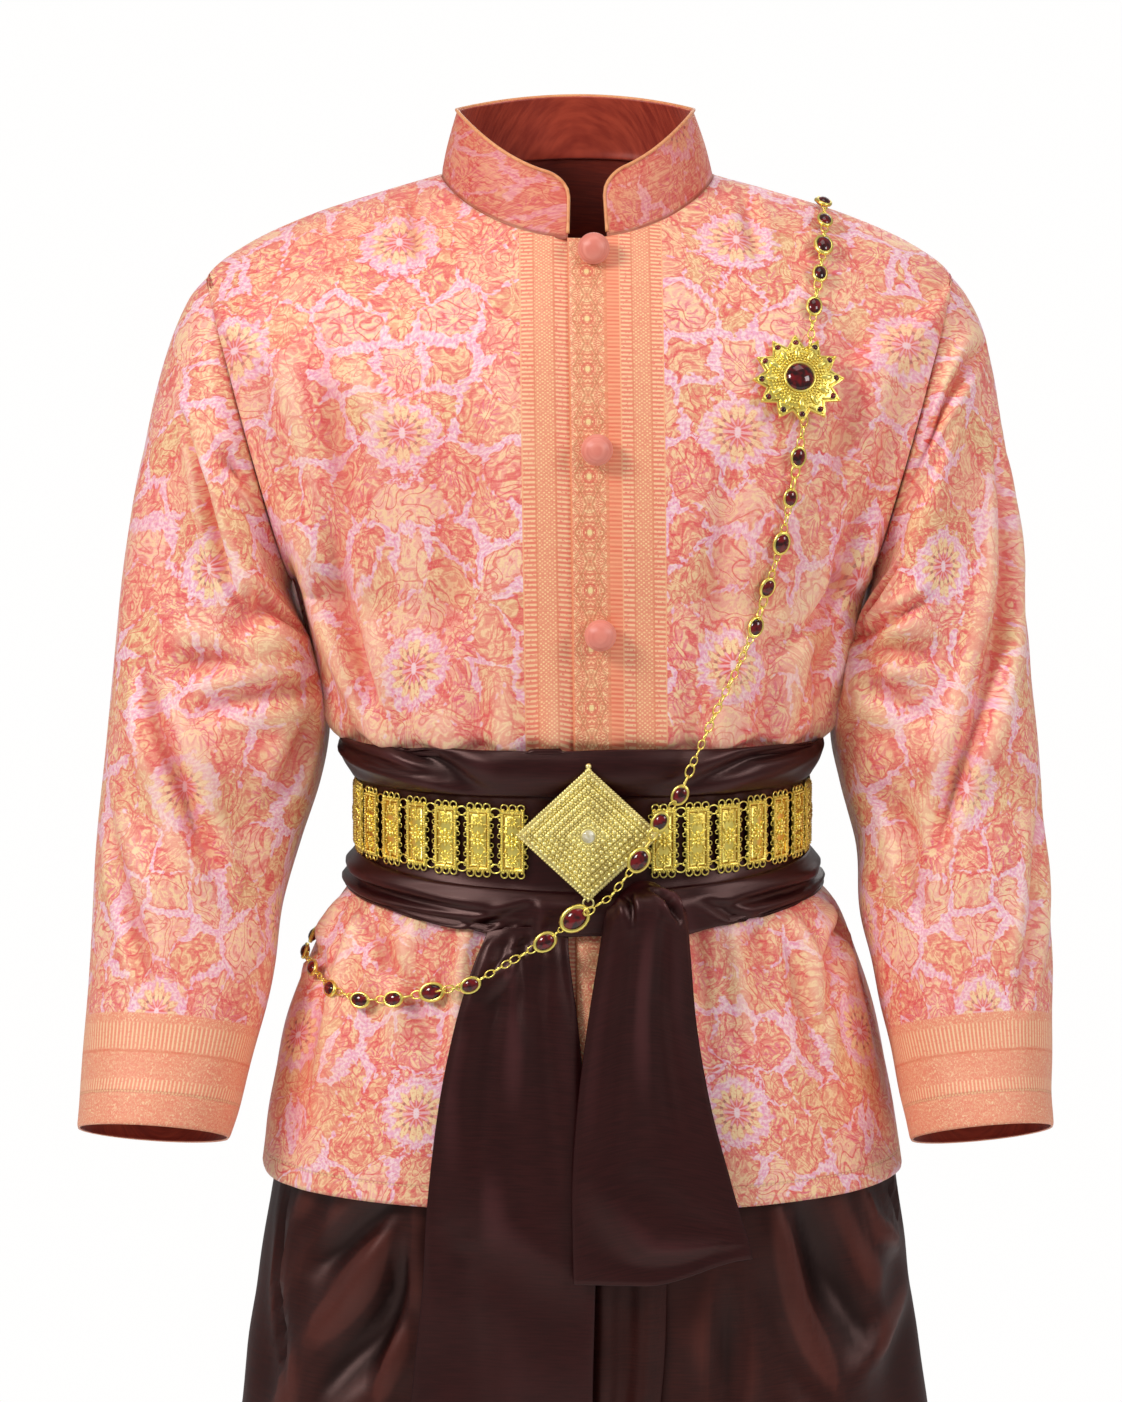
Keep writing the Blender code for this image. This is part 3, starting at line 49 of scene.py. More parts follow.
viewSetup = {
    "cameraPlace": (-0.0115, -3.1, 0.08),
    "cameraAim": (-0.0115, 0.0, -0.327),
    "lens": 128.454,
    "lightAim": (0.0, 0.0, -0.45),
    "floorDepth": -1.45,
    "floorSize": 4.4,
    "floorColour": (0.95, 0.95, 0.94, 1.0),
    "worldColour": (1.0, 0.995, 0.99, 1.0),
    "worldStrength": 0.34,
    "backdropStrength": 1.0,
    "keyPower": 65.0,
    "fillPower": 31.0,
    "topPower": 14.0,
    "backPower": 14.0,
}


def addObject(name, data):
    obj = bpy.data.objects.new(name, data)
    bpy.context.scene.collection.objects.link(obj)
    return obj


def aimed(obj, target):
    turned = (Vector(target) - obj.location).to_track_quat("-Z", "Y")
    obj.rotation_euler = turned.to_euler()


def areaLight(name, place, power, size, colour=(1.0, 1.0, 1.0)):
    light = bpy.data.lights.new(name, "AREA")
    light.energy = power
    light.size = size
    light.color = colour
    obj = addObject(name, light)
    obj.location = place
    aimed(obj, viewSetup["lightAim"])


def makeView():
    camera = addObject("Camera", bpy.data.cameras.new("Camera"))
    camera.data.lens = viewSetup["lens"]
    camera.data.clip_end = 60
    camera.location = viewSetup["cameraPlace"]
    aimed(camera, viewSetup["cameraAim"])
    bpy.context.scene.camera = camera
    bpy.context.scene.view_settings.view_transform = "Standard"
    areaLight("keyLight", (-2.1, -1.8, 1.4), viewSetup["keyPower"], 0.9, colour=(1.0, 0.985, 0.96))
    areaLight("fillLight", (2.3, -1.7, 0.9), viewSetup["fillPower"], 1.1, colour=(1.0, 0.99, 0.98))
    areaLight("topLight", (0.3, -0.4, 2.6), viewSetup["topPower"], 1.6)
    areaLight("backLight", (0.6, 2.8, 1.0), viewSetup["backPower"], 1.8)
    world = bpy.data.worlds.new("studio")
    world.use_nodes = True
    nodes, links = world.node_tree.nodes, world.node_tree.links
    glow = nodes["Background"]
    backdrop = nodes.new("ShaderNodeBackground")
    for node, strength in ((glow, "worldStrength"), (backdrop, "backdropStrength")):
        node.inputs["Color"].default_value = viewSetup["worldColour"]
        node.inputs["Strength"].default_value = viewSetup[strength]
    seen = nodes.new("ShaderNodeLightPath")
    mixed = nodes.new("ShaderNodeMixShader")
    links.new(seen.outputs["Is Camera Ray"], mixed.inputs[0])
    links.new(glow.outputs[0], mixed.inputs[1])
    links.new(backdrop.outputs[0], mixed.inputs[2])
    links.new(mixed.outputs[0], nodes["World Output"].inputs["Surface"])
    bpy.context.scene.world = world
    bpy.ops.mesh.primitive_plane_add(
        size=viewSetup["floorSize"], location=(0, 0, viewSetup["floorDepth"])
    )
    floor = bpy.context.object
    floor.name = "studioFloor"
    bpy.ops.object.transform_apply(location=True)
    pale = bpy.data.materials.new("studioFloor")
    pale.use_nodes = True
    shader = pale.node_tree.nodes["Principled BSDF"]
    shader.inputs["Base Color"].default_value = viewSetup["floorColour"]
    shader.inputs["Roughness"].default_value = 0.9
    floor.data.materials.append(pale)


makeView()
print("camera, floor and lights are set")


# Small node helpers

def tone(red, green, blue):  # screen values, 0 to 255
    return tuple([(c / 255) ** 2.2 for c in (red, green, blue)] + [1.0])


board = {}  # the node tree that is being built now


def plug(sockets, values):
    for name, value in values.items():
        if isinstance(value, bpy.types.NodeSocket):
            board["tree"].links.new(value, sockets[name])
        else:
            sockets[name].default_value = value


def addNode(kind, links=None, **settings):
    node = board["tree"].nodes.new("ShaderNode" + kind)
    for name, value in settings.items():
        setattr(node, name, value)
    plug(node.inputs, links or {})
    return node


def calc(operation, *values, clamp=False):
    links = dict(enumerate(values))
    return addNode("Math", links, operation=operation, use_clamp=clamp).outputs[0]


def product(*values):
    total = values[0]
    for value in values[1:]:
        total = calc("MULTIPLY", total, value)
    return total


def scaled(value, times, plus):
    return calc("MULTIPLY_ADD", value, times, plus)


def apart(first, second):
    return calc("ABSOLUTE", calc("SUBTRACT", first, second))


def ribbing(along, pitch):
    return calc("SINE", product(along, 2 * math.pi / pitch))


def ease(value, low, high, first=0.0, last=1.0):
    links = {"Value": value, "From Min": low, "From Max": high, "To Min": first, "To Max": last}
    node = addNode("MapRange", links, interpolation_type="SMOOTHSTEP")
    return node.outputs["Result"]


def blendTone(share, first, second, kind="MIX"):
    node = addNode("Mix", data_type="RGBA", blend_type=kind)
    plug(node.inputs, {0: share, 6: first, 7: second})
    return node.outputs[2]


def dyed(colour, new, *shares):
    return blendTone(product(*shares), colour, new)


def joinVector(x, y, z=0.0):
    return addNode("CombineXYZ", {"X": x, "Y": y, "Z": z}).outputs[0]


def splitVector(vector):
    node = addNode("SeparateXYZ", {"Vector": vector})
    return node.outputs["X"], node.outputs["Y"], node.outputs["Z"]


def noiseAt(vector, size, detail=2.0, roughness=0.5, distortion=0.0, output="Fac"):
    links = {
        "Vector": vector,
        "Scale": 1 / size,
        "Detail": detail,
        "Roughness": roughness,
        "Distortion": distortion,
    }
    return addNode("TexNoise", links).outputs[output]


def newGroup(name, inputs, outputs):  # a number, a colour, or None for a vector
    group = bpy.data.node_groups.new(name, "ShaderNodeTree")
    kinds = {float: "Float", tuple: "Color", type(None): "Vector"}
    for label, value in inputs.items():
        kind = "NodeSocket" + kinds[type(value)]
        socket = group.interface.new_socket(label, in_out="INPUT", socket_type=kind)
        if value is not None:
            socket.default_value = value
    for label in outputs:
        kind = "NodeSocketColor" if label == "Colour" else "NodeSocketFloat"
        group.interface.new_socket(label, in_out="OUTPUT", socket_type=kind)
    entry = group.nodes.new("NodeGroupInput")
    leave = group.nodes.new("NodeGroupOutput")
    board["tree"] = group
    return entry.outputs, leave.inputs


def useGroup(group, links):
    node = board["tree"].nodes.new("ShaderNodeGroup")
    node.node_tree = group
    plug(node.inputs, links)
    return node.outputs


def newMaterial(name, **settings):
    material = bpy.data.materials.new(name)
    material.use_nodes = True
    board["tree"] = material.node_tree
    shader = material.node_tree.nodes["Principled BSDF"]
    for label, value in settings.items():
        words = label.split("_")
        socket = " ".join("IOR" if word == "ior" else word.capitalize() for word in words)
        shader.inputs[socket].default_value = value
    return material, shader


def bumpFrom(shader, height, strength, distance):
    links = {"Height": height, "Strength": strength, "Distance": distance}
    plug(shader.inputs, {"Normal": addNode("Bump", links).outputs["Normal"]})


# Cloth patterns, all in metres on the cloth's own UV map

brocadeLook = {
    "repeatAcross": 0.102,
    "repeatDown": 0.138,
    "rosette": 0.0235,
    "leafSize": 0.031,
    "raggedSize": 0.0046,
    "scrollSize": 0.0092,
    "scrollTurns": 15.0,
    "stemSize": 0.03,
    "riverSize": 0.05,
    "riverWidth": 0.125,
    "ground": (238, 150, 126),
    "gold": (230, 162, 122),
    "peach": (247, 178, 162),
    "coral": (240, 122, 116),
    "line": (226, 66, 78),
    "cream": (253, 222, 168),
    "lavender": (240, 170, 204),
    "pale": (253, 218, 228),
    "magenta": (230, 88, 126),
    "brown": (150, 78, 84),
}


def look(name):
    return tone(*brocadeLook[name])


def petals(dx, dy, count, turned=0.0):
    angle = calc("ARCTAN2", dy, dx)
    return calc("COSINE", scaled(angle, float(count), turned))


def lineAround(field, place, broad):
    away = apart(field, place)
    return ease(away, broad, broad * 0.35)


def lengthOf(x, y):
    return calc("SQRT", calc("ADD", product(x, x), product(y, y)))


def warped(place, size, detail, reach):
    wobble = addNode("TexNoise", {"Vector": place, "Scale": 1 / size, "Detail": detail})
    shift = addNode(
        "VectorMath", {0: wobble.outputs["Color"], 1: (0.5, 0.5, 0.5)}, operation="SUBTRACT"
    )
    links = {0: shift.outputs[0], 1: (reach, reach, 0.0), 2: place}
    return addNode("VectorMath", links, operation="MULTIPLY_ADD").outputs[0]


def makeBrocadeGroup():
    entry, leave = newGroup("brocadePattern", {"Cloth": None}, ["Colour", "Raised", "Metal"])
    wide = brocadeLook["repeatAcross"]
    tall = brocadeLook["repeatDown"]
    u, v, _ = splitVector(entry["Cloth"])
    x = calc("PINGPONG", u, wide)
    y = calc("PINGPONG", v, tall / 2)
    loose = warped(entry["Cloth"], 0.03, 1.0, 0.016)
    looseU, looseV, _ = splitVector(loose)
    mirrored = joinVector(calc("PINGPONG", looseU, wide), looseV)
    folded = warped(mirrored, 0.026, 2.0, 0.022)

    scale = 1 / brocadeLook["leafSize"]
    links = {"Vector": folded, "Scale": scale, "Randomness": 0.9}
    leaves = addNode("TexVoronoi", links, voronoi_dimensions="2D", feature="F1")
    edges = addNode("TexVoronoi", links, voronoi_dimensions="2D", feature="DISTANCE_TO_EDGE")
    pick, second, third = splitVector(leaves.outputs["Color"])
    fromHeart = addNode(
        "VectorMath", {0: folded, 1: leaves.outputs["Position"]}, operation="SUBTRACT"
    )
    heartX, heartY, _ = splitVector(fromHeart.outputs[0])
    turn = calc("ARCTAN2", heartY, heartX)
    away = product(lengthOf(heartX, heartY), scale)
    scallops = calc("COSINE", scaled(turn, 8.0, product(pick, 6.0)))
    lobe = scaled(scallops, -0.04, away)
    ragged = calc("SUBTRACT", noiseAt(loose, brocadeLook["raggedSize"], 1.5, 0.5), 0.5)
    fleck = noiseAt(loose, 0.0022, 1.0, 0.5)
    inside = scaled(ragged, 0.3, edges.outputs["Distance"])
    slow = noiseAt(mirrored, brocadeLook["riverSize"], 1.0)
    bank = scaled(ease(slow, 0.4, 0.62), brocadeLook["riverWidth"], -0.02)
    fromBank = calc("SUBTRACT", inside, bank)

    colour = blendTone(ease(pick, 0.25, 0.5), look("peach"), look("ground"))
    colour = dyed(colour, look("gold"), ease(pick, 0.55, 0.8))
    colour = dyed(colour, look("coral"), ease(second, 0.45, 0.85), 0.55)
    scroll = noiseAt(loose, brocadeLook["scrollSize"], 1.0, 0.4, 1.6)
    curls = calc("SINE", product(scroll, brocadeLook["scrollTurns"]))
    paleCurl = product(ease(curls, 0.25, 0.8), ease(fleck, 0.3, 0.5))
    redCurl = ease(curls, -0.62, -0.95)
    colour = dyed(colour, look("cream"), paleCurl, 0.7)
    colour = dyed(colour, look("line"), redCurl, 0.5)
    rays = ease(calc("COSINE", product(turn, 11.0)), 0.1, 0.8)
    flower = ease(third, 0.62, 0.7)
    inHeart = product(ease(away, 0.36, 0.24), flower)
    colour = dyed(colour, look("magenta"), rays, inHeart, 0.75)
    colour = dyed(colour, look("cream"), ease(away, 0.08, 0.05), flower, 0.8)
    arcs = lineAround(lobe, 0.4, 0.045)
    colour = dyed(colour, look("line"), arcs, ease(second, 0.35, 0.5), 0.75)
    sway = noiseAt(loose, brocadeLook["stemSize"], 1.0, 0.4, 1.2)
    for level, share in ((0.44, 0.8), (0.53, 0.85), (0.62, 0.7)):
        colour = dyed(colour, look("line"), lineAround(sway, level, 0.013), share)
    trim = product(lineAround(fromBank, 0.055, 0.045), ease(ragged, -0.06, 0.06))
    colour = dyed(colour, look("line"), trim, 0.65)
    inRiver = ease(fromBank, 0.022, -0.004)
    water = blendTone(ease(fleck, 0.44, 0.6), look("lavender"), look("pale"))
    water = blendTone(product(ease(fleck, 0.37, 0.3), 0.5), water, look("magenta"))
    colour = dyed(colour, water, inRiver, 0.9)
    raised = scaled(curls, 0.25, 0.5)
    raised = scaled(inRiver, -0.35, raised)

    size = brocadeLook["rosette"]
    gentle = warped(joinVector(x, y), 0.014, 1.0, 0.0045)
    x, y, _ = splitVector(gentle)
    otherX = calc("SUBTRACT", wide, x)
    otherY = calc("SUBTRACT", tall / 2, y)
    first = lengthOf(x, y)
    other = lengthOf(otherX, otherY)
    isOther = calc("LESS_THAN", other, first)
    fromCentre = calc("MINIMUM", first, other)
    dx = calc("ADD", x, product(isOther, calc("SUBTRACT", otherX, x)))
    dy = calc("ADD", y, product(isOther, calc("SUBTRACT", otherY, y)))
    outer = petals(dx, dy, 13, 0.4)
    inner = petals(dx, dy, 11)
    halo = scaled(outer, -0.0012, fromCentre)
    halo = scaled(ragged, 0.016, halo)
    arcShare = ease(slow, 0.42, 0.52)
    colour = dyed(colour, look("line"), lineAround(halo, size * 1.16, 0.0015), arcShare, 0.8)
    colour = dyed(colour, water, ease(halo, size * 1.02, size * 0.94), 0.88)
    frayed = scaled(ragged, 0.008, scaled(outer, -0.0022, fromCentre))
    petal = ease(frayed, size * 0.74, size * 0.64)
    split = product(petal, ease(outer, -0.6, 0.0), ease(fleck, 0.32, 0.5))
    colour = dyed(colour, look("ground"), petal)
    colour = dyed(colour, look("cream"), split, 0.9)
    darkDots = product(
        lineAround(fromCentre, size * 0.45, 0.0016), ease(outer, -0.2, -0.7)
    )
    colour = dyed(colour, look("brown"), darkDots, 0.75)
    bright = blendTone(ease(inner, -0.6, 0.1), look("line"), look("magenta"))
    heart = ease(scaled(inner, -0.0014, fromCentre), size * 0.38, size * 0.3)
    colour = dyed(colour, bright, heart, 0.85)
    lash = product(ease(inner, 0.2, 0.8), heart, 0.5)
    colour = dyed(colour, look("pale"), lash)
    colour = dyed(colour, look("pale"), ease(fromCentre, size * 0.13, size * 0.08))
    raised = scaled(split, 0.35, raised)

    grain = noiseAt(mirrored, 0.0012, 1.0, 0.5)
    colour = dyed(colour, look("cream"), ease(grain, 0.55, 0.72), 0.3)
    colour = dyed(colour, look("line"), ease(grain, 0.44, 0.3), 0.26)
    broad = noiseAt(entry["Cloth"], 0.09, 1.0)
    colour = dyed(colour, look("coral"), ease(broad, 0.4, 0.75), 0.2)
    raised = calc("MULTIPLY", raised, 1.0, clamp=True)
    metal = scaled(split, 0.4, product(paleCurl, 0.5))
    plug(leave, {"Colour": colour, "Raised": raised, "Metal": metal})
    return board["tree"]


def makeBorderGroup():
    entry, leave = newGroup(
        "wovenBorder", {"Across": 0.0, "Along": 0.0, "Width": 0.026}, ["Colour", "Raised"]
    )
    share = calc("DIVIDE", entry["Across"], entry["Width"])
    fromMiddle = calc("ABSOLUTE", scaled(share, 2.0, -1.0))
    ladder = ease(fromMiddle, 0.4, 0.44)
    rib = ribbing(entry["Along"], 0.0029)
    dotsAlong = ribbing(entry["Along"], 0.0024)
    dotsAcross = ribbing(entry["Across"], 0.003)
    fleck = noiseAt(joinVector(entry["Across"], entry["Along"]), 0.0016, 1.0)
    dots = product(
        ease(product(dotsAlong, dotsAcross), 0.0, 0.6), ease(fleck, 0.34, 0.54)
    )
    gold = blendTone(dots, tone(236, 142, 112), tone(253, 212, 156))
    bars = product(ease(rib, -0.3, 0.5), ease(fleck, 0.3, 0.46))
    rungs = blendTone(bars, tone(234, 122, 100), tone(251, 200, 154))
    colour = blendTone(ladder, gold, rungs)
    lineAt = apart(fromMiddle, 0.42)
    colour = dyed(colour, tone(228, 124, 90), ease(lineAt, 0.05, 0.02), 0.8)
    edge = ease(fromMiddle, 0.92, 0.97)
    colour = dyed(colour, tone(246, 170, 128), edge)
    height = calc("ADD", product(dots, 0.4), product(product(ladder, bars), 0.6))
    plug(leave, {"Colour": colour, "Raised": height})
    return board["tree"]


def makeChainBandGroup():
    entry, leave = newGroup(
        "motifBand", {"Across": 0.0, "Along": 0.0, "Width": 0.023}, ["Colour", "Raised"]
    )
    side = apart(entry["Across"], product(entry["Width"], 0.5))
    along = calc("PINGPONG", entry["Along"], 0.017)
    vase = calc("ADD", side, product(along, 0.42))
    first = apart(vase, 0.0088)
    second = apart(vase, 0.0066)
    third = apart(calc("SUBTRACT", side, product(along, 0.5)), 0.001)
    place = joinVector(side, along)
    fleck = noiseAt(place, 0.0015, 1.0)
    curls = calc("SINE", product(noiseAt(place, 0.006, 1.0, 0.4, 1.6), 44.0))
    gilt = product(ease(curls, -0.2, 0.6), ease(fleck, 0.36, 0.56))
    colour = blendTone(gilt, tone(234, 134, 104), tone(253, 212, 160))
    colour = dyed(colour, tone(206, 104, 74), ease(curls, -0.55, -0.95), 0.55)
    for lineAt, share in ((first, 0.75), (second, 0.5), (third, 0.6)):
        colour = dyed(colour, tone(204, 120, 80), ease(lineAt, 0.0009, 0.0003), share)
    dot = lengthOf(side, along)
    ring = apart(dot, 0.0036)
    colour = dyed(colour, tone(222, 96, 80), ease(ring, 0.0008, 0.0003), 0.8)
    colour = dyed(colour, tone(244, 214, 150), ease(dot, 0.0018, 0.0012))
    edge = ease(side, 0.0098, 0.0106)
    colour = dyed(colour, tone(232, 130, 92), edge, 0.8)
    plug(leave, {"Colour": colour, "Raised": ease(first, 0.0009, 0.0003)})
    return board["tree"]


def makeCuffGroup():
    entry, leave = newGroup(
        "cuffWeave", {"FromHem": 0.0, "Along": 0.0}, ["Colour", "Inside", "Raised"]
    )
    fromHem = entry["FromHem"]
    place = joinVector(entry["Along"], fromHem)
    scroll = noiseAt(place, 0.0052, 1.0, 0.4, 1.6)
    curls = ease(calc("SINE", product(scroll, 40.0)), 0.0, 0.8)
    fleck = noiseAt(place, 0.0016, 1.0)
    rungs = ease(ribbing(entry["Along"], 0.0036), -0.1, 0.6)
    inLadder = product(ease(fromHem, 0.046, 0.048), ease(fromHem, 0.064, 0.062))
    lowLadder = product(ease(fromHem, 0.0205, 0.0215), ease(fromHem, 0.029, 0.028))
    ladders = calc("MAXIMUM", inLadder, lowLadder)
    pattern = product(curls, ease(fleck, 0.35, 0.6))
    shown = addNode("Mix", {0: ladders, 2: pattern, 3: rungs}).outputs[0]
    shown = product(shown, ease(fleck, 0.28, 0.42))
    colour = blendTone(product(shown, 0.9), tone(238, 138, 110), tone(254, 212, 166))
    stripe = lineAround(fromHem, 0.0455, 0.0012)
    colour = dyed(colour, tone(226, 110, 78), stripe, 0.6)
    plug(leave, {"Colour": colour, "Inside": ease(fromHem, 0.0695, 0.0685), "Raised": shown})
    return board["tree"]


def makeWeaveGroup():
    entry, leave = newGroup(
        "fineWeave", {"Cloth": None, "Thread": 0.0005, "Slub": 0.5}, ["Height", "Slubs"]
    )
    u, v, _ = splitVector(entry["Cloth"])
    turns = calc("DIVIDE", 2 * math.pi, entry["Thread"])
    warp = calc("SINE", product(u, turns))
    weft = calc("SINE", product(v, turns))
    threads = product(warp, weft)
    stretched = addNode(
        "VectorMath", {0: entry["Cloth"], 1: (60.0, 900.0, 60.0)}, operation="MULTIPLY"
    )
    slubs = addNode("TexNoise", {"Vector": stretched.outputs[0], "Scale": 1.0, "Detail": 2.0})
    mixed = scaled(
        calc("SUBTRACT", slubs.outputs["Fac"], 0.5), entry["Slub"], product(threads, 0.3)
    )
    plug(leave, {"Height": mixed, "Slubs": slubs.outputs["Fac"]})
    return board["tree"]


def makeStitchGroup():
    entry, leave = newGroup(
        "stitchLine", {"Distance": 0.0, "Along": 0.0, "Place": 0.012}, ["Dent", "Thread"]
    )
    away = apart(entry["Distance"], entry["Place"])
    dent = ease(away, 0.0016, 0.0003)
    beat = ribbing(entry["Along"], 0.003)
    thread = product(ease(away, 0.0006, 0.0003), ease(beat, -0.4, 0.0))
    plug(leave, {"Dent": dent, "Thread": thread})
    return board["tree"]


brocadePattern = makeBrocadeGroup()
wovenBorder = makeBorderGroup()
motifBand = makeChainBandGroup()
cuffWeave = makeCuffGroup()
fineWeave = makeWeaveGroup()
stitchLine = makeStitchGroup()
print("cloth patterns are built")


# Materials

# painted shade and highlight: the Fold height darkens troughs towards the trough colour and lightens crests
# towards the crest colour
def paintedFoldShadeAndHighlight(colour, troughShade, crestHighlight, depth, lift):
    fold = addNode("Attribute", attribute_name="Fold").outputs["Fac"]
    colour = dyed(colour, tone(*troughShade), ease(fold, -0.04, -0.8), depth)
    return blendTone(product(ease(fold, 0.05, 0.42), lift), colour, tone(*crestHighlight))


def brocadeMaterial(name, kind, sheen=0.18):
    material, shader = newMaterial(
        name, sheen_weight=sheen, sheen_roughness=0.35, specular_ior_level=0.55
    )
    shader.inputs["Sheen Tint"].default_value = (1.0, 0.86, 0.74, 1.0)
    cloth = addNode("UVMap", uv_map="Cloth").outputs[0]
    seam = addNode("UVMap", uv_map="Seam").outputs[0]
    fromEdge, fromHem, _ = splitVector(seam)
    u, v, _ = splitVector(cloth)
    pattern = useGroup(brocadePattern, {"Cloth": cloth})
    colour = pattern["Colour"]
    raised = pattern["Raised"]
    if kind == "left":
        band = useGroup(motifBand, {"Across": fromEdge, "Along": v, "Width": 0.0225})
        inBand = calc("LESS_THAN", fromEdge, 0.0232)
        ribs = ease(ribbing(v, 0.0026), -0.2, 0.5)
        stripe = blendTone(ribs, tone(236, 122, 92), tone(250, 160, 122))
        inStripe = calc("LESS_THAN", fromEdge, 0.0306)
        across = calc("SUBTRACT", fromEdge, 0.0306)
        border = useGroup(wovenBorder, {"Across": across, "Along": v, "Width": 0.0264})
        inBorder = calc("LESS_THAN", fromEdge, 0.057)
        colour = dyed(colour, border["Colour"], inBorder)
        colour = dyed(colour, stripe, inStripe)
        colour = dyed(colour, band["Colour"], inBand)
        lift = product(border["Raised"], inBorder)
        raised = calc("MAXIMUM", product(raised, calc("SUBTRACT", 1.0, inBorder)), lift)
    elif kind == "right":
        border = useGroup(wovenBorder, {"Across": fromEdge, "Along": v, "Width": 0.029})
        inBorder = calc("LESS_THAN", fromEdge, 0.029)
        colour = dyed(colour, border["Colour"], inBorder)
    elif kind == "sleeve":
        cuff = useGroup(cuffWeave, {"FromHem": fromHem, "Along": u})
        colour = dyed(colour, cuff["Colour"], cuff["Inside"])
        lift = product(cuff["Inside"], calc("SUBTRACT", cuff["Raised"], raised))
        raised = calc("ADD", raised, lift)
    elif kind == "collar":
        colour = blendTone(0.85, colour, tone(222, 152, 144), kind="MULTIPLY")
        # painted shade in the groove along the collar's foot
        footGrooveShade = ease(fromHem, 0.004, 0.0018)
        colour = dyed(colour, tone(150, 60, 36), footGrooveShade, 0.85)
    weave = useGroup(fineWeave, {"Cloth": cloth, "Thread": 0.00055, "Slub": 0.7})
    place = {"sleeve": 0.0205, "collar": 0.5}.get(kind, 0.0125)
    stitches = useGroup(stitchLine, {"Distance": fromHem, "Along": u, "Place": place})
    colour = dyed(colour, tone(250, 214, 160), ease(weave["Slubs"], 0.35, 0.7), 0.16)
    # painted shade in the stitch dent; the pale thread colour below is the thread's own
    colour = dyed(colour, tone(150, 66, 44), stitches["Dent"], 0.3)
    colour = dyed(colour, tone(250, 205, 150), stitches["Thread"], 0.7)
    # painted shade in the fold troughs and painted highlight on the fold crests
    colour = paintedFoldShadeAndHighlight(colour, (216, 94, 80), (255, 222, 184), 0.46, 0.34)
    plug(shader.inputs, {"Base Color": colour})
    rough = calc("SUBTRACT", 0.46, product(pattern["Metal"], 0.16))
    plug(shader.inputs, {"Roughness": rough})
    height = calc("ADD", product(raised, 0.55), product(weave["Height"], 0.5))
    height = calc("SUBTRACT", height, product(stitches["Dent"], 1.2))
    bumpFrom(shader, height, 0.5, 0.00035)
    return material


def plainCloth(name, colour, darker, rough=0.5, thread=0.0005, sheen=0.3, strength=0.35):
    material, shader = newMaterial(name, sheen_weight=sheen, sheen_roughness=0.4)
    place = addNode("TexCoord").outputs["Object"]
    weave = useGroup(fineWeave, {"Cloth": place, "Thread": thread, "Slub": 0.8})
    mottled = noiseAt(place, 0.03, 3.0)
    share = scaled(weave["Slubs"], 0.6, product(mottled, 0.4))
    mixed = blendTone(ease(share, 0.3, 0.7), tone(*darker), tone(*colour))
    roughness = scaled(weave["Slubs"], 0.2, rough - 0.1)
    plug(shader.inputs, {"Base Color": mixed, "Roughness": roughness})
    bumpFrom(shader, weave["Height"], strength, 0.0002)
    return material


def silkMaterial(name, dark, light, troughShade, crestHighlight, rough, sheen, sheenTint):
    material, shader = newMaterial(
        name, sheen_weight=sheen, sheen_roughness=0.3, anisotropic=0.3, specular_ior_level=0.45
    )
    shader.inputs["Sheen Tint"].default_value = tone(*sheenTint)
    shader.inputs["Specular Tint"].default_value = (1.0, 0.62, 0.58, 1.0)
    cloth = addNode("UVMap", uv_map="Cloth").outputs[0]
    weave = useGroup(fineWeave, {"Cloth": cloth, "Thread": 0.0004, "Slub": 0.3})
    slow = noiseAt(cloth, 0.05, 3.0)
    share = scaled(weave["Slubs"], 0.65, product(slow, 0.35))
    colour = blendTone(ease(share, 0.35, 0.65), tone(*dark), tone(*light))
    # painted shade in the fold troughs and painted highlight on the fold crests
    colour = paintedFoldShadeAndHighlight(colour, troughShade, crestHighlight, 0.8, 0.4)
    plug(
        shader.inputs,
        {"Base Color": colour, "Roughness": scaled(weave["Slubs"], 0.12, rough - 0.06)}
    )
    creased = noiseAt(cloth, 0.04, 1.0, 0.5, 0.5)
    height = scaled(weave["Height"], 0.16, product(creased, 0.45))
    bumpFrom(shader, height, 0.28, 0.0006)
    return material


def makeGoldGroup():
    entry, leave = newGroup(
        "goldHollowShade",
        {"Place": None, "Bright": (1, 1, 1, 1), "Deep": (0, 0, 0, 1)},
        ["Colour", "Roughness", "Height"],
    )
    grain = noiseAt(entry["Place"], 0.0016, 2.0)
    slow = noiseAt(entry["Place"], 0.012, 2.0)
    # darker in the hollows by pointiness: painted shade in the recesses
    hollow = addNode("NewGeometry").outputs["Pointiness"]
    hollowShaded = ease(hollow, 0.46, 0.52)
    colour = blendTone(hollowShaded, entry["Deep"], entry["Bright"])
    colour = dyed(colour, entry["Deep"], ease(slow, 0.35, 0.7), 0.25)
    plug(leave, {"Colour": colour, "Roughness": scaled(slow, 0.22, 0.14), "Height": grain})
    return board["tree"]


goldHollowShade = makeGoldGroup()


def goldMaterial(name, bright, deep, bump=0.05, matt=0.0):
    material, shader = newMaterial(name, metallic=1.0)
    place = addNode("TexCoord").outputs["Object"]
    links = {"Place": place, "Bright": tone(*bright), "Deep": tone(*deep)}
    # the gold colour carries painted shade in its hollows
    hollowShaded = useGroup(goldHollowShade, links)
    plug(
        shader.inputs,
        {"Base Color": hollowShaded["Colour"], "Roughness": calc("ADD", hollowShaded["Roughness"], matt)}
    )
    bumpFrom(shader, hollowShaded["Height"], bump, 0.0002)
    return material


def gemMaterial(name, colour, deep, rough=0.06):
    material, shader = newMaterial(name, coat_weight=0.2, coat_roughness=0.04, ior=1.5)
    place = addNode("TexCoord").outputs["Object"]
    cloudy = noiseAt(place, 0.004, 1.0)
    mixed = blendTone(ease(cloudy, 0.35, 0.65), tone(*deep), tone(*colour))
    plug(shader.inputs, {"Base Color": mixed, "Roughness": scaled(cloudy, 0.05, rough)})
    return material


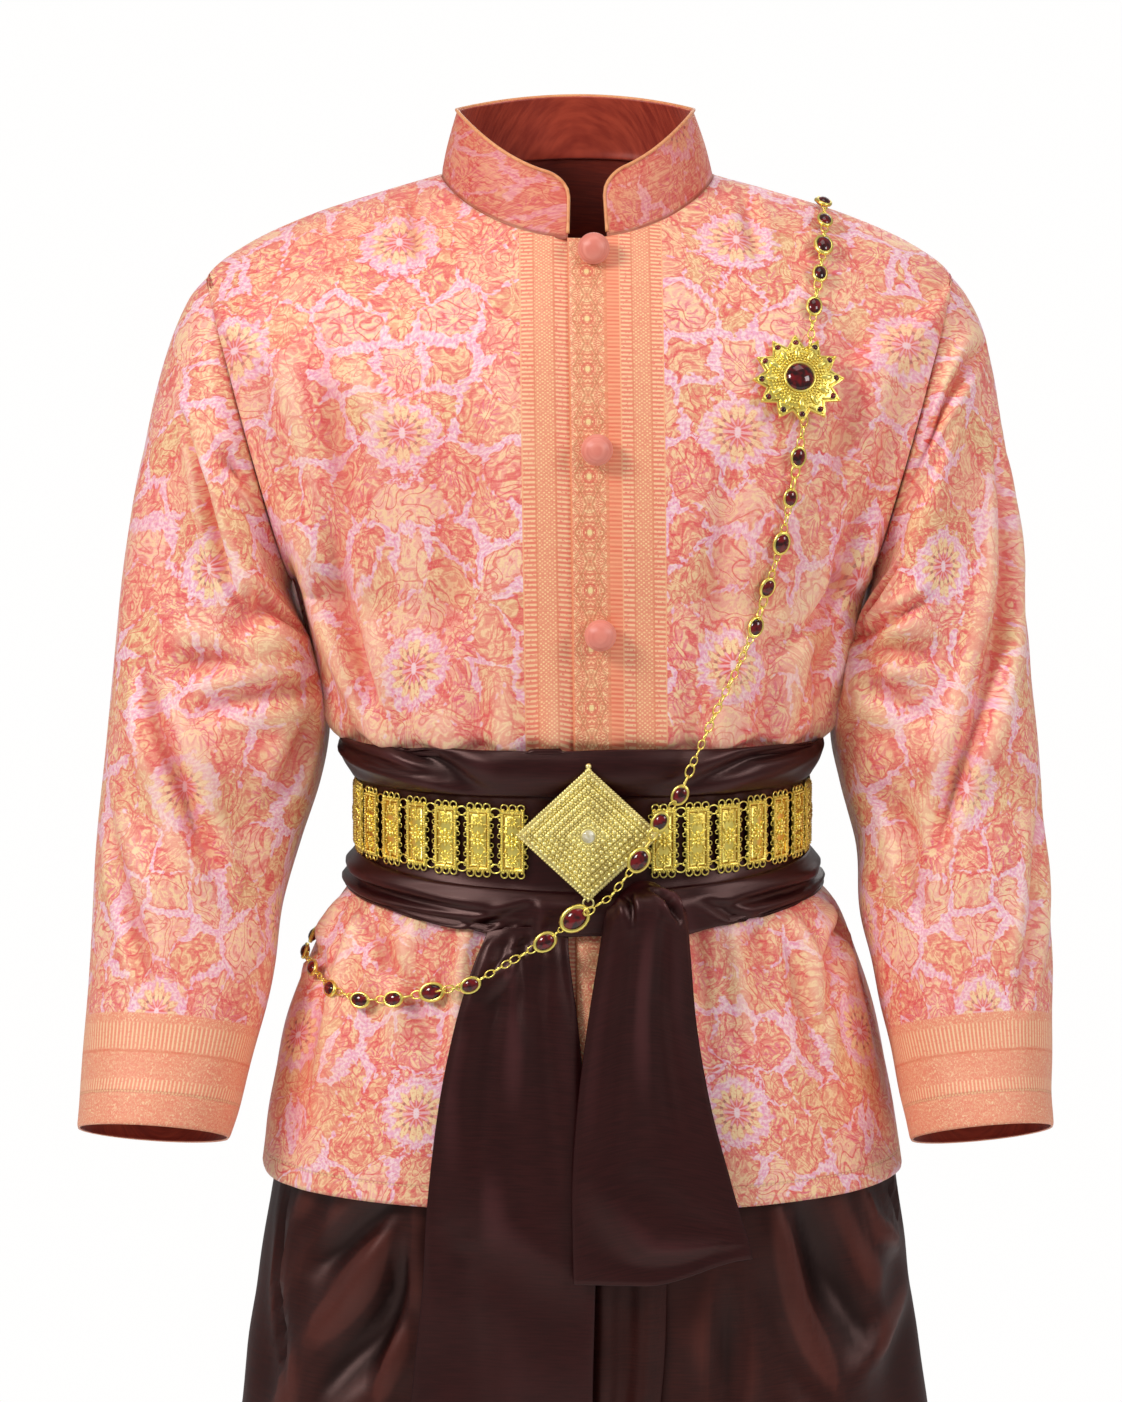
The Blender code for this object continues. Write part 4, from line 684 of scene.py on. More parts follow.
finish = {
    "leftBrocade": brocadeMaterial("leftFrontBrocade", "left"),
    "rightBrocade": brocadeMaterial("rightFrontBrocade", "right"),
    "backBrocade": brocadeMaterial("backBrocade", "plain"),
    "sleeveBrocade": brocadeMaterial("sleeveBrocade", "sleeve"),
    "lining": plainCloth("lining", (188, 74, 52), (146, 50, 38), 0.45),
    "button": plainCloth("buttonSatin", (236, 146, 128), (220, 122, 106), 0.36, 0.0005, 0.2),
    "piping": plainCloth("collarPiping", (238, 168, 112), (214, 128, 80), 0.45),
    # the satin and kraben silk colours carry painted shade in fold troughs and painted highlight on fold
    # crests
    "satin": silkMaterial(
        "sashSatin", (34, 11, 13), (46, 17, 18), (14, 4, 6), (92, 54, 56), 0.34, 0.02, (190, 100, 100)
    ),
    "kraben": silkMaterial(
        "krabenSilk", (35, 11, 9), (50, 19, 15), (9, 2, 2), (104, 54, 46), 0.42, 0.02, (210, 110, 100)
    ),
    "gold": goldMaterial("brightGold", (255, 236, 126), (190, 142, 46), 0.04, 0.08),
    "paleGold": goldMaterial("paleGold", (253, 240, 164), (150, 118, 56), 0.03, 0.2),
    "garnet": gemMaterial("garnet", (112, 6, 16), (44, 2, 6)),
    "clearStone": gemMaterial("clearStone", (236, 232, 214), (190, 178, 140)),
}
print("materials are ready")


# Where the cloth lies: surfaces of the garment, each a function of two shares.
# The rows of the tables are in thousandths of a metre or of a share, and "arm" in degrees.

seamGap = 0.0003
bodyCut = {
    "wall": 0.0015,
    "lapEdge": -0.0078,
    "underEdge": 0.02,
    "underDrop": 0.0022,
    "underStep": 0.008,
    "underClear": 0.001,
    "underShares": ((0, 0.93), (0.93, 0.965), (0.965, 1)),
    "armholeTop": (0.2295, -0.061),
    "armholeBottom": (0.179, -0.25),
    "armholeDepth": 0.066,
    "columns": ("right", "left", "front", "back", "zFront", "zSide", "zBack", "arm", "full"),
    "rows": {
        "neck": (85, 82.5, 82, 58, -35.5, 0, 10, None, 2000),
        "yokeUpper": (122, 120, 98, 76, -62, -10, -12, None, 2000),
        "yokeMiddle": (164, 163, 109, 92, -88, -23.5, -36, None, 2000),
        "yokeLower": (203, 203, 116, 103, -112, -41, -62, None, 2000),
        "shoulder": (229.5, 229.5, 120, 110, -133, -61, -87, 0, 2000),
        "armUpper": (232, 232, 123, 116, -156, -85, -118, 48, 2000),
        "armMiddle": (225, 225, 125, 119, -180, -125, -152, 84, 2000),
        "armLower": (210, 210, 126, 118, -208, -170, -190, 118, 2000),
        "armBase": (192, 192, 125, 115, -232, -215, -225, 150, 2000),
        "underarm": (179, 179, 123, 111, -256, -250, -254, 180, 2000),
        "rib": (170, 170.5, 120, 106, -286, -285, -286, None, 2200),
        "blouse": (160.5, 161.5, 116.5, 101, -313, -315, -314, None, 2300),
        "blouseLow": (154.5, 157, 114, 99, -334, -337, -335, None, 2300),
        "waistTop": (139.5, 142.5, 106, 94, -350, -354, -352, None, 2300),
        "waist": (132, 135.5, 103, 92, -393, -393, -393, None, 2300),
        "waistLow": (135.5, 140, 105, 95, -436, -428, -430, None, 2300),
        "flareTop": (154, 162, 109.5, 104, -462, -456, -456, None, 2300),
        "flareUpper": (169, 174, 115, 114, -496, -490, -492, None, 2300),
        "flareMiddle": (184, 187, 120, 122, -536, -532, -534, None, 2300),
        "flareLower": (194, 197, 123, 129, -580, -576, -578, None, 2300),
        "hem": (200.5, 203.5, 125, 134, -624, -620, -621, None, 2300),
    },
    "frontFolds": {
        "rightArmhole": (-205, -150, -160, -330, -5, 10),
        "rightChest": (-175, -190, -135, -345, 3.5, 14),
        "leftArmhole": (208, -150, 165, -320, -5, 10),
        "leftChest": (180, -200, 140, -340, 3.5, 14),
        "rightGather": (-85, -270, -100, -350, 3, 11),
        "leftGather": (95, -280, 105, -350, 3, 11),
        "rightSkirtOut": (-120, -450, -160, -560, 4.5, 13),
        "rightSkirtIn": (-80, -455, -95, -540, -3.5, 12),
        "leftSkirtOut": (130, -450, 165, -540, 4.5, 13),
        "leftSkirtIn": (90, -455, 100, -530, -3.5, 12),
    },
    "backFolds": {
        "rightArmhole": (-205, -130, -155, -330, -5, 11),
        "rightBlade": (-130, -210, -75, -345, 4, 14),
        "leftArmhole": (205, -130, 155, -330, -5, 11),
        "leftBlade": (135, -220, 70, -345, 4, 14),
        "middle": (5, -260, -5, -350, 3, 12),
        "rightSkirt": (-90, -455, -120, -560, 4.5, 14),
        "middleSkirt": (10, -455, 0, -550, -3.5, 13),
        "leftSkirt": (95, -455, 125, -550, 4.5, 14),
    },
}


def column(table, names, name):  # the rows hold thousandths
    place = names.index(name)
    return np.array([row[place] / 1000 for row in table.values()])


def columnsAt(table, names, where):
    return {name: smooth(column(table, names, name), where) for name in names if name != "arm"}


def smooth(values, where):
    values = np.asarray(values, float)
    slopes = np.gradient(values)
    steps = np.diff(values)
    for i, step in enumerate(steps):
        if abs(step) < 1e-9:
            slopes[i] = slopes[i + 1] = 0.0
    place = np.clip(np.asarray(where, float), 0, 1) * (len(values) - 1)
    i = np.minimum(place.astype(int), len(values) - 2)
    t = place - i
    return (
        values[i] * (2 * t**3 - 3 * t**2 + 1)
        + slopes[i] * (t**3 - 2 * t**2 + t)
        + values[i + 1] * (3 * t**2 - 2 * t**3)
        + slopes[i + 1] * (t**3 - t**2)
    )


def stack(x, y, z):
    return np.stack(np.broadcast_arrays(x, y, z), axis=-1)


def normals(surface, u, v, step=1e-4):
    alongU = surface(u + step, v) - surface(u - step, v)
    alongV = surface(u, v + step) - surface(u, v - step)
    cross = np.cross(alongV, alongU)
    return cross / np.maximum(np.linalg.norm(cross, axis=-1, keepdims=True), 1e-12)


def lineFolds(first, second, folds):
    total = np.zeros(np.shape(first))
    for row in folds.values():
        a0, b0, a1, b1, height, width = [value / 1000 for value in row]
        da = a1 - a0
        db = b1 - b0
        length = math.hypot(da, db)
        along = ((first - a0) * da + (second - b0) * db) / length**2
        across = ((first - a0) * db - (second - b0) * da) / length
        ends = np.clip(1 - (2 * along - 1) ** 4, 0, 1)
        total += height * ends * np.exp(-((across / width) ** 2))
    return total


def foldsOnCloth(u, v, cut):  # the fold lines run in shares of the cloth's girth and length
    girth, length = cut["girth"], cut["length"]
    folds = {
        name: (a * girth, b * length, c * girth, d * length, height, width)
        for name, (a, b, c, d, height, width) in cut["folds"].items()
    }
    return lineFolds(np.asarray(u) * girth, np.asarray(v) * length, folds)


armholeTilt = math.atan2(*(np.array(bodyCut["armholeTop"]) - bodyCut["armholeBottom"]))


def armholeEdge(angle):
    reach = np.cos(np.radians(angle))
    (topX, topZ), (lowX, lowZ) = bodyCut["armholeTop"], bodyCut["armholeBottom"]
    x = (topX + lowX) / 2 + (topX - lowX) / 2 * reach
    z = (topZ + lowZ) / 2 + (topZ - lowZ) / 2 * reach
    return x, bodyCut["armholeDepth"] * np.sin(np.radians(angle)), z


def torsoValues(down):
    values = columnsAt(bodyCut["rows"], bodyCut["columns"], down)
    names = list(bodyCut["rows"])
    first = names.index("shoulder")
    last = names.index("underarm")
    place = np.asarray(down, float) * (len(names) - 1)
    angles = [bodyCut["rows"][n][bodyCut["columns"].index("arm")] for n in names[first : last + 1]]
    values["arm"] = np.interp(place, range(first, last + 1), angles)
    inArm = (place > first) & (place < last)
    armX, armY, armZ = armholeEdge(values["arm"])
    values["left"] = np.where(inArm, armX, values["left"])
    values["right"] = np.where(inArm, armX, values["right"])
    values["edgeY"] = np.where(inArm, armY, 0.0)
    values["zSide"] = np.where(inArm, armZ, values["zSide"])
    armFull = 1.25 + 0.75 * np.cos(np.radians(values["arm"])) ** 2
    values["full"] = np.where(inArm, armFull, values["full"])
    return values


def torso(turn, down):
    turn = (np.asarray(turn, float) + 2) % 4 - 2
    value = torsoValues(down)
    isFront = np.abs(turn) <= 1
    share = np.where(isFront, np.abs(turn), 2 - np.abs(turn))
    side = np.where(turn >= 0, 1.0, -1.0)
    edgeX = np.where(turn >= 0, value["left"], value["right"])
    edgeY = value["edgeY"] * np.where(isFront, -1, 1)
    edgeZ = value["zSide"]
    full = value["full"]
    roundShare = np.clip(full - 1, 0, 1)
    across = (1 - roundShare) * share + roundShare * np.sin(share * math.pi / 2)
    flat = np.maximum(full, 2.0)
    depth = np.clip(1 - across**flat, 0, 1) ** (1 / full)
    middleY = np.where(isFront, -value["front"], value["back"])
    middleZ = np.where(isFront, value["zFront"], value["zBack"])
    return stack(
        side * edgeX * across,
        edgeY + (middleY - edgeY) * depth,
        edgeZ + (middleZ - edgeZ) * depth**1.5,
    )


def turnOf(x, down):
    value = torsoValues(down)
    edge = np.where(np.asarray(x) >= 0, value["left"], value["right"])
    roundShare = np.clip(value["full"] - 1, 0, 1)
    return np.asarray(x) / (edge * (1 - roundShare + roundShare * math.pi / 2))


def outward(surface, u, v):
    found = normals(surface, u, v)
    points = surface(u, v)
    away = (found[..., :2] * points[..., :2]).sum()
    return found if away > 0 else -found


def moved(surface, distance):
    def result(u, v):
        points = surface(u, v)
        far = distance(points) if callable(distance) else distance
        return points + outward(surface, u, v) * np.broadcast_to(far, np.shape(points)[:-1])[..., None]

    return result


def jacket(turn, down):
    def height(points):
        x, y, z = points[..., 0], points[..., 1], points[..., 2]
        folds = np.where(
            y < 0, lineFolds(x, z, bodyCut["frontFolds"]), lineFolds(x, z, bodyCut["backFolds"])
        )
        wrapped = np.abs((np.asarray(turn, float) + 2) % 4 - 2)
        return folds * easeArray(np.abs(wrapped - 1), 0.0, 0.1)

    return moved(torso, height)(turn, down)


def downAt(turn, z):
    turn, z = np.broadcast_arrays(np.asarray(turn, float), np.asarray(z, float))
    start = list(bodyCut["rows"]).index("underarm") / (len(bodyCut["rows"]) - 1)
    steps = np.linspace(start, 1, 90)
    heights = torso(turn[..., None], steps)[..., 2]
    flatHeights = heights.reshape(-1, len(steps))
    found = [np.interp(-height, -row, steps) for height, row in zip(z.ravel(), flatHeights)]
    return np.array(found).reshape(turn.shape)


def torsoAt(turn, z):
    return torso(turn, downAt(turn, z))


def edgeHeight(levels, turn):
    share = np.abs(np.asarray(turn, float))
    front = levels["side"] + (levels["front"] - levels["side"]) * np.cos(share * math.pi / 2) ** 2
    back = levels["side"] + (levels["back"] - levels["side"]) * np.cos(share * math.pi / 2) ** 2
    return np.where(share <= 1, front, back)


def lapEdge(down):
    return bodyCut["lapEdge"] * (1 - np.clip(np.asarray(down, float), 0, 1) * 0.8)


def window(x, low, high, soft):
    rise = np.clip((x - low) / soft + 1, 0, 1)
    fall = np.clip((high - x) / soft + 1, 0, 1)
    return (rise * rise * (3 - 2 * rise)) * (fall * fall * (3 - 2 * fall))


def sideGap(down):
    return np.interp(torsoValues(down)["full"], (2.0, 2.3), (0.0008, 0.0003))


def frontLeft(u, v):
    start = turnOf(lapEdge(v), v)
    return jacket(start + (1 - sideGap(v) - start) * u, v)


def frontRight(u, v):
    stops = [
        sideGap(v) - 1,
        turnOf(lapEdge(v) - bodyCut["underStep"] - bodyCut["underClear"], v),
        turnOf(lapEdge(v) - bodyCut["underClear"], v),
        turnOf(bodyCut["underEdge"], v),
    ]
    turn = 0.0
    for low, high, share in zip(stops, stops[1:], bodyCut["underShares"]):
        turn = turn + (high - low) * np.clip((u - share[0]) / (share[1] - share[0]), 0, 1)
    turn = turn + stops[0]

    def under(points):
        edge = lapEdge(v) - bodyCut["underClear"]
        return -bodyCut["underDrop"] * np.clip((points[..., 0] - edge) / bodyCut["underStep"] + 1, 0, 1)

    return moved(jacket, under)(turn, v)


def back(u, v):
    gap = sideGap(v)
    return jacket(1 + gap + (2 - 2 * gap) * u, v)


sleeveCut = {
    "seam": -0.0012,
    "seamShare": 0.15,
    "girth": 0.4,
    "length": 0.48,
    "lap": (0.0, 0.001, 0.004, 0.009, 0.0105, 0.0115, 0.0095, 0.006, 0.003, 0.001, 0.0),
    "lapTurns": (0.405, 0.595),
    "lapWidth": 0.075,
    "columns": ("outerX", "outerZ", "innerX", "innerZ", "middleY", "depth", "lean"),
    "right": {
        "armhole": (229.5, -61, 179, -250, 0, 66, 0),
        "capTop": (241, -76, 180, -254, 0, 71.5, 0),
        "cap": (252, -100, 178.5, -264, 1, 75, 20),
        "capLow": (261.5, -130, 173.5, -280, 1, 75.5, 40),
        "upperArm": (270, -170, 168, -300, 0, 74, 60),
        "biceps": (277, -215, 163, -323, -1, 72, 80),
        "aboveElbow": (285, -265, 162, -348, -3, 70, 100),
        "elbowTop": (291.5, -320, 168, -379, -7, 68, 140),
        "elbow": (296.5, -375, 178, -413, -13, 66, 180),
        "belowElbow": (302, -429, 187, -449, -21, 63.5, 220),
        "forearmTop": (304.5, -474, 191.5, -486, -30, 61, 260),
        "forearm": (306.5, -516, 198.5, -524, -41, 58, 290),
        "forearmLow": (308.5, -556, 207.5, -563, -53, 54.5, 310),
        "cuff": (311, -586, 217, -592, -63, 52, 320),
    },
    "left": {
        "armhole": (229.5, -61, 179, -250, 0, 66, 0),
        "capTop": (239.5, -74, 180, -254, 0, 71.5, 0),
        "cap": (250, -97, 178.5, -264, 1, 75, 20),
        "capLow": (257.5, -130, 174, -280, 1, 75.5, 40),
        "upperArm": (264, -170, 170, -300, 0, 74, 60),
        "biceps": (270, -215, 165.5, -323, -1, 72, 80),
        "aboveElbow": (276, -265, 162.5, -348, -3, 70, 100),
        "elbowTop": (281.5, -320, 169, -379, -7, 68, 140),
        "elbow": (287.5, -375, 177.5, -411, -13, 66, 180),
        "belowElbow": (292, -429, 177, -447, -21, 63.5, 220),
        "forearmTop": (293.2, -474, 184, -484, -30, 61, 260),
        "forearm": (293, -516, 190.5, -522, -41, 58, 290),
        "forearmLow": (292.8, -556, 199, -561, -53, 54.5, 310),
        "cuff": (293.4, -585, 205, -593, -63, 52, 320),
    },
    "folds": {
        "frontRidge": (170, 180, 280, 600, 6, 30),
        "frontHollow": (260, 150, 330, 500, -6, 26),
        "outerHollow": (70, 300, 130, 660, -4.5, 26),
        "elbowCross": (100, 580, 400, 520, -5.5, 18),
        "elbowRidge": (120, 640, 420, 600, 4.5, 20),
        "innerFall": (400, 420, 330, 780, 5, 30),
        "forearmLine": (220, 700, 240, 950, 3, 30),
        "backRidge": (820, 200, 720, 620, 6, 32),
        "backHollow": (740, 160, 670, 500, -6, 26),
        "backElbow": (900, 600, 600, 550, -5, 20),
    },
}


def sleeve(table, side):
    def plain(u, v):
        value = columnsAt(table, sleeveCut["columns"], v)
        share = np.cos(2 * math.pi * u)
        x = (value["outerX"] + value["innerX"]) / 2 + (value["outerX"] - value["innerX"]) / 2 * share
        z = (value["outerZ"] + value["innerZ"]) / 2 + (value["outerZ"] - value["innerZ"]) / 2 * share
        deep = -value["depth"] * np.sin(2 * math.pi * u)
        apart = sleeveCut["seam"] * np.clip(1 - np.asarray(v) / sleeveCut["seamShare"], 0, 1)
        for place in sleeveCut["lapTurns"]:
            bump = np.exp(-(((np.asarray(u) % 1.0 - place) / sleeveCut["lapWidth"]) ** 2))
            x = x - smooth(sleeveCut["lap"], v) * bump
        return stack(
            side * (x + apart * math.cos(armholeTilt)),
            value["middleY"] + deep,
            z - value["lean"] * deep - apart * math.sin(armholeTilt),
        )

    def result(u, v):
        points = plain(u, v)
        turned = np.asarray(u, float) % 1.0
        height = foldsOnCloth(turned, v, sleeveCut)
        found = normals(plain, u, v)
        found = found if side > 0 else -found
        return points + found * (height * np.clip(np.asarray(v) * 8, 0, 1))[..., None]

    return result


collarCut = {
    "seam": -0.001,
    "length": 0.41,
    "rightEnd": -0.0075,
    "leftEnd": 0.0165,
    "corner": 0.013,
    "top": {"right": 0.0755, "left": 0.07, "front": 0.069, "back": 0.05},
    "topZ": {"front": 0.001, "side": 0.04, "back": 0.048},
}


def neckTurns():
    left = turnOf(collarCut["leftEnd"], 0.0)
    right = turnOf(collarCut["rightEnd"], 0.0)
    return float(left), 4 + float(right)


def collar(u, v):
    first, last = neckTurns()
    turn = first + (last - first) * np.asarray(u, float)
    base = torso(turn, 0.0)
    wrapped = (turn + 2) % 4 - 2
    share = np.abs(wrapped)
    side = np.where(wrapped >= 0, collarCut["top"]["left"], -collarCut["top"]["right"])
    depth = np.where(share <= 1, -collarCut["top"]["front"], -collarCut["top"]["back"])
    top = stack(
        side * np.sin(share * math.pi / 2),
        depth * np.cos(share * math.pi / 2),
        edgeHeight(collarCut["topZ"], wrapped),
    )
    length = np.linalg.norm(top - base, axis=-1)
    fromEnd = np.minimum(np.asarray(u), 1 - np.asarray(u)) * collarCut["length"]
    missing = collarCut["corner"] * (1 - np.sqrt(1 - np.clip(1 - fromEnd / collarCut["corner"], 0, 1) ** 2))
    reach = 1 - missing / length
    climb = (np.asarray(v) * reach)[..., None]
    return base + (top - base) * climb + np.array([0.0, 0.0, collarCut["seam"]]) * (1 - climb)


sashCut = {
    "wall": 0.002,
    "sideFlat": 0.15,
    "topZ": {"front": -0.342, "side": -0.347, "back": -0.345},
    "bottomZ": {"front": -0.456, "side": -0.44, "back": -0.444},
    "columns": ("drop", "out"),
    "rows": {
        "tuckedTop": (35, 4.8),
        "topEdge": (0, 6),
        "rollUpper": (60, 11.5),
        "rollFace": (150, 12.5),
        "rollUnder": (245, 8.5),
        "beltTop": (315, 5.5),
        "beltLow": (722, 5.5),
        "lowRollTop": (770, 8.5),
        "lowRoll": (835, 12),
        "lowFace": (915, 10),
        "bottomEdge": (1000, 6),
        "tuckedBottom": (970, 4.2),
    },
    "folds": {
        "rightFall": (-950, 20, -300, 260, 2.5, 50),
        "rightLow": (-900, 860, -200, 720, 2.5, 50),
        "leftFall": (950, 20, 350, 240, 2.5, 50),
        "leftLow": (900, 900, 300, 720, 2.5, 50),
        "backRight": (-1850, 200, -1200, 40, 2.5, 50),
        "backLeft": (1800, 780, 1200, 920, 2.5, 50),
    },
}

tailCut = {
    "pleats": 2,
    "pleatHeight": 0.001,
    "pleatShare": 0.625,
    "columns": ("xFrom", "xTo", "z", "y", "cup"),
    "under": {
        "gather": (-56, -7, -450, -112, 2),
        "neck": (-64, -6, -470, -118, 3),
        "upper": (-76, -1, -510, -122.5, 3),
        "middle": (-86, 4, -560, -125.5, 3),
        "hemLine": (-93, 11, -620, -128.5, 3),
        "low": (-96, 9.5, -670, -127.5, 3),
        "knee": (-103, 8, -740, -126.5, 3),
        "end": (-106, 7.5, -805, -126, 3),
    },
    "over": {
        "tuck": (21, 57, -421, -112, 5),
        "gather": (16, 64, -433, -124, 12),
        "neck": (11, 67, -464, -127, 9.5),
        "upper": (4, 71, -510, -129, 5.5),
        "middle": (-2, 80, -560, -132, 4),
        "flare": (-5, 92, -605, -134.5, 3.5),
        "low": (-4.5, 101, -643, -135, 3.5),
        "end": (-4, 105, -667, -135, 3.5),
    },
}


def sash(u, v):
    turn = 4 * np.asarray(u, float)
    wrapped = (turn + 2) % 4 - 2
    value = columnsAt(sashCut["rows"], sashCut["columns"], v)
    drop, out = value["drop"], value["out"]
    top = edgeHeight(sashCut["topZ"], wrapped)
    bottom = edgeHeight(sashCut["bottomZ"], wrapped)
    z = top + (bottom - top) * drop
    points = torsoAt(wrapped, z)
    direction = points * np.array([1.0, 1.0, 0.0])
    direction = direction / np.linalg.norm(direction, axis=-1, keepdims=True)
    side = window(np.abs(wrapped), 0.6, 1.4, 0.5) * sashCut["sideFlat"]
    waves = lineFolds(wrapped, drop, sashCut["folds"])
    return points + direction * (out * (1 - side) + waves)[..., None]


def tail(table, pleats, arch=0.0, lift=0.0):
    def result(u, v):
        value = columnsAt(table, tailCut["columns"], v)
        u = np.asarray(u, float)
        x = value["xFrom"] + (value["xTo"] - value["xFrom"]) * u
        gathered = np.clip(1 - np.asarray(v) / tailCut["pleatShare"], 0, 1)
        wave = tailCut["pleatHeight"] * gathered * np.sin(math.pi * pleats * u) ** 2
        bulge = value["cup"] * np.sin(math.pi * u)
        z = value["z"] - arch * (2 * u - 1) ** 2 * (1 - easeArray(v, 0.0, 0.24))
        z = z + lift * easeArray(u, 0.4, 1.0) * easeArray(v, 0.7, 1.0)
        return stack(x, value["y"] - wave - bulge, z)

    return result


krabenCut = {
    "girth": 0.68,
    "length": 0.7,
    "lean": 0.0035,
    "waistShare": 0.14,
    "seamShare": 0.07,
    "waistRoom": 0.001,
    "stripSeat": 0.05,
    "bandHeight": 0.03,
    "pleats": 3,
    "columns": ("middle", "half", "front", "back", "y", "zFront", "zSide", "zBack"),
    "stripColumns": ("xFrom", "xTo", "z", "out", "pleat"),
    "rows": {
        "waist": (0, 134, 98.5, 87.5, 0, -400, -400, -400),
        "bandLow": (0, 135, 99, 88.5, 0, -436, -432, -434),
        "hipTop": (6, 152, 103, 102, 0, -486, -482, -484),
        "hip": (16, 161, 108, 111, 1, -540, -536, -538),
        "seat": (30, 160, 111, 116, 2, -592, -588, -592),
        "seatLow": (44, 154.5, 112, 118, 4, -640, -636, -642),
        "thighTop": (59, 148, 113, 119, 6, -690, -686, -694),
        "thighUpper": (74, 140, 115, 120, 6, -740, -736, -746),
        "thigh": (88, 133, 116, 120, 6, -790, -786, -798),
        "thighLow": (100, 126, 116, 119, 6, -836, -834, -846),
        "crotch": (110, 119, 115, 117, 6, -884, -882, -890),
        "underCrotch": (117, 113, 113, 115, 5, -934, -932, -938),
        "knee": (121, 108, 109, 111, 3, -990, -988, -992),
        "calfTop": (122, 101, 103, 104, 2, -1046, -1044, -1046),
        "hem": (121, 93, 96, 97, 4, -1098, -1096, -1098),
    },
    "folds": {
        "frontSwag1": (360, 300, 130, 620, 3, 20),
        "frontSwag2": (400, 340, 150, 740, -3, 22),
        "frontSwag3": (440, 380, 190, 860, 3, 22),
        "frontSwag4": (470, 440, 260, 960, -3, 22),
        "frontSwag5": (260, 280, 110, 480, -2.5, 18),
        "sideHang": (540, 320, 440, 920, 4.5, 24),
        "sideHollow": (590, 360, 540, 940, -4.5, 24),
        "backSwag1": (660, 300, 860, 620, 6.5, 22),
        "backSwag2": (620, 360, 840, 760, -6.5, 22),
        "backSwag3": (600, 440, 780, 900, 6.5, 22),
    },
    "frontPleats": {
        "top": (-21, 49, -480, 2.6, 2),
        "upper": (-21.5, 50, -520, 2.6, 2.4),
        "hip": (-22, 51, -570, 3, 3),
        "hemLine": (-23, 53, -640, 4, 5),
        "middle": (-23, 52, -720, 5, 6),
        "low": (-21, 44, -790, 5, 6),
        "end": (-19, 34, -860, 4.5, 5),
    },
    "backTail": {
        "top": (-30, 30, -480, -0.4, 0.6),
        "upper": (-30, 30, -520, -1, 0.6),
        "hip": (-29, 29, -570, -0.4, 1),
        "hemLine": (-28, 28, -640, 2.2, 3.6),
        "middle": (-27, 27, -720, 5, 6),
        "low": (-23, 23, -790, 5, 6),
        "end": (-19, 19, -864, 4.5, 5),
    },
}


def leg(side):
    def plain(u, v):
        value = columnsAt(krabenCut["rows"], krabenCut["columns"], v)
        reach = np.clip((value["middle"] - seamGap / 2) / value["half"], -1, 1)
        start = np.arccos(reach)
        angle = start + (2 * math.pi - 2 * start) * np.asarray(u, float)
        isFront = angle < math.pi
        middleZ = np.where(isFront, value["zFront"], value["zBack"])
        deep = np.abs(np.sin(angle))
        shape = stack(
            side * (value["middle"] - value["half"] * np.cos(angle)),
            value["y"] + deep * np.where(isFront, -value["front"], value["back"]),
            value["zSide"] + (middleZ - value["zSide"]) * deep**1.5,
        )
        waist = waistInside(side * 2 * np.asarray(u, float), shape[..., 2])
        kept = np.clip(1 - np.asarray(v) / krabenCut["waistShare"], 0, 1)[..., None] ** 0.7
        found = shape + (waist - shape) * kept
        found[..., 0] = side * np.maximum(side * found[..., 0], seamGap / 2)
        found[..., 0] += krabenCut["lean"] * np.clip(v / krabenCut["waistShare"] - 1, 0, 1)
        return found

    def result(u, v):
        points = plain(u, v)
        height = foldsOnCloth(u, v, krabenCut)
        found = normals(plain, u, v)
        found = found if side < 0 else -found
        seamRoom = np.clip(np.minimum(u, 1 - np.asarray(u)) / krabenCut["seamShare"] - 1, 0, 1)
        return points + found * (height * seamRoom)[..., None]

    return result


def waistInside(turn, z):
    room = bodyCut["wall"] + krabenCut["waistRoom"]

    def distance(points):
        under = window(points[..., 0], lapEdge(0.6) - 0.004, bodyCut["underEdge"] + 0.004, 0.014)
        return -(room + (bodyCut["underDrop"] + 0.0003) * under)

    return moved(torsoAt, distance)(turn, z)


def waistband(u, v):
    turn = 4 * np.asarray(u, float)
    wrapped = (turn + 2) % 4 - 2
    top = column(krabenCut["rows"], krabenCut["columns"], "zSide")[0] + seamGap + krabenCut["bandHeight"]
    return waistInside(wrapped, top - krabenCut["bandHeight"] * np.asarray(v, float))


def strip(table, facing):
    def result(u, v):
        value = columnsAt(table, krabenCut["stripColumns"], v)
        u = np.asarray(u, float)
        z = value["z"]
        face = legFace(facing, z)
        wave = value["pleat"] * (0.5 - 0.5 * np.cos(2 * math.pi * krabenCut["pleats"] * u))
        x = value["xFrom"] + (value["xTo"] - value["xFrom"]) * u
        return stack(x, facing * (face + value["out"] + wave), z)

    return result


def legFace(facing, z):
    name, level = ("front", "zFront") if facing < 0 else ("back", "zBack")
    heights = column(krabenCut["rows"], krabenCut["columns"], level)
    order = np.argsort(heights)

    def at(which):
        return np.interp(z, heights[order], column(krabenCut["rows"], krabenCut["columns"], which)[order])

    reach = np.clip((at("middle") - krabenCut["stripSeat"]) / at("half"), 0, 1)
    return at(name) * np.sqrt(1 - reach**2) + facing * at("y")


# Making cloth: a fine grid on a surface, creased along given lines, with its UV maps in metres


def rumple(points, size, seed):
    chance = np.random.default_rng(seed)
    total = np.zeros(points.shape[:-1])
    for _ in range(14):
        way = chance.normal(size=3)
        way = way / np.linalg.norm(way)
        reach = size * chance.uniform(0.7, 2.4)
        total += np.sin(points @ way * 2 * math.pi / reach + chance.uniform(0, 6.28))
    return total / 14**0.5


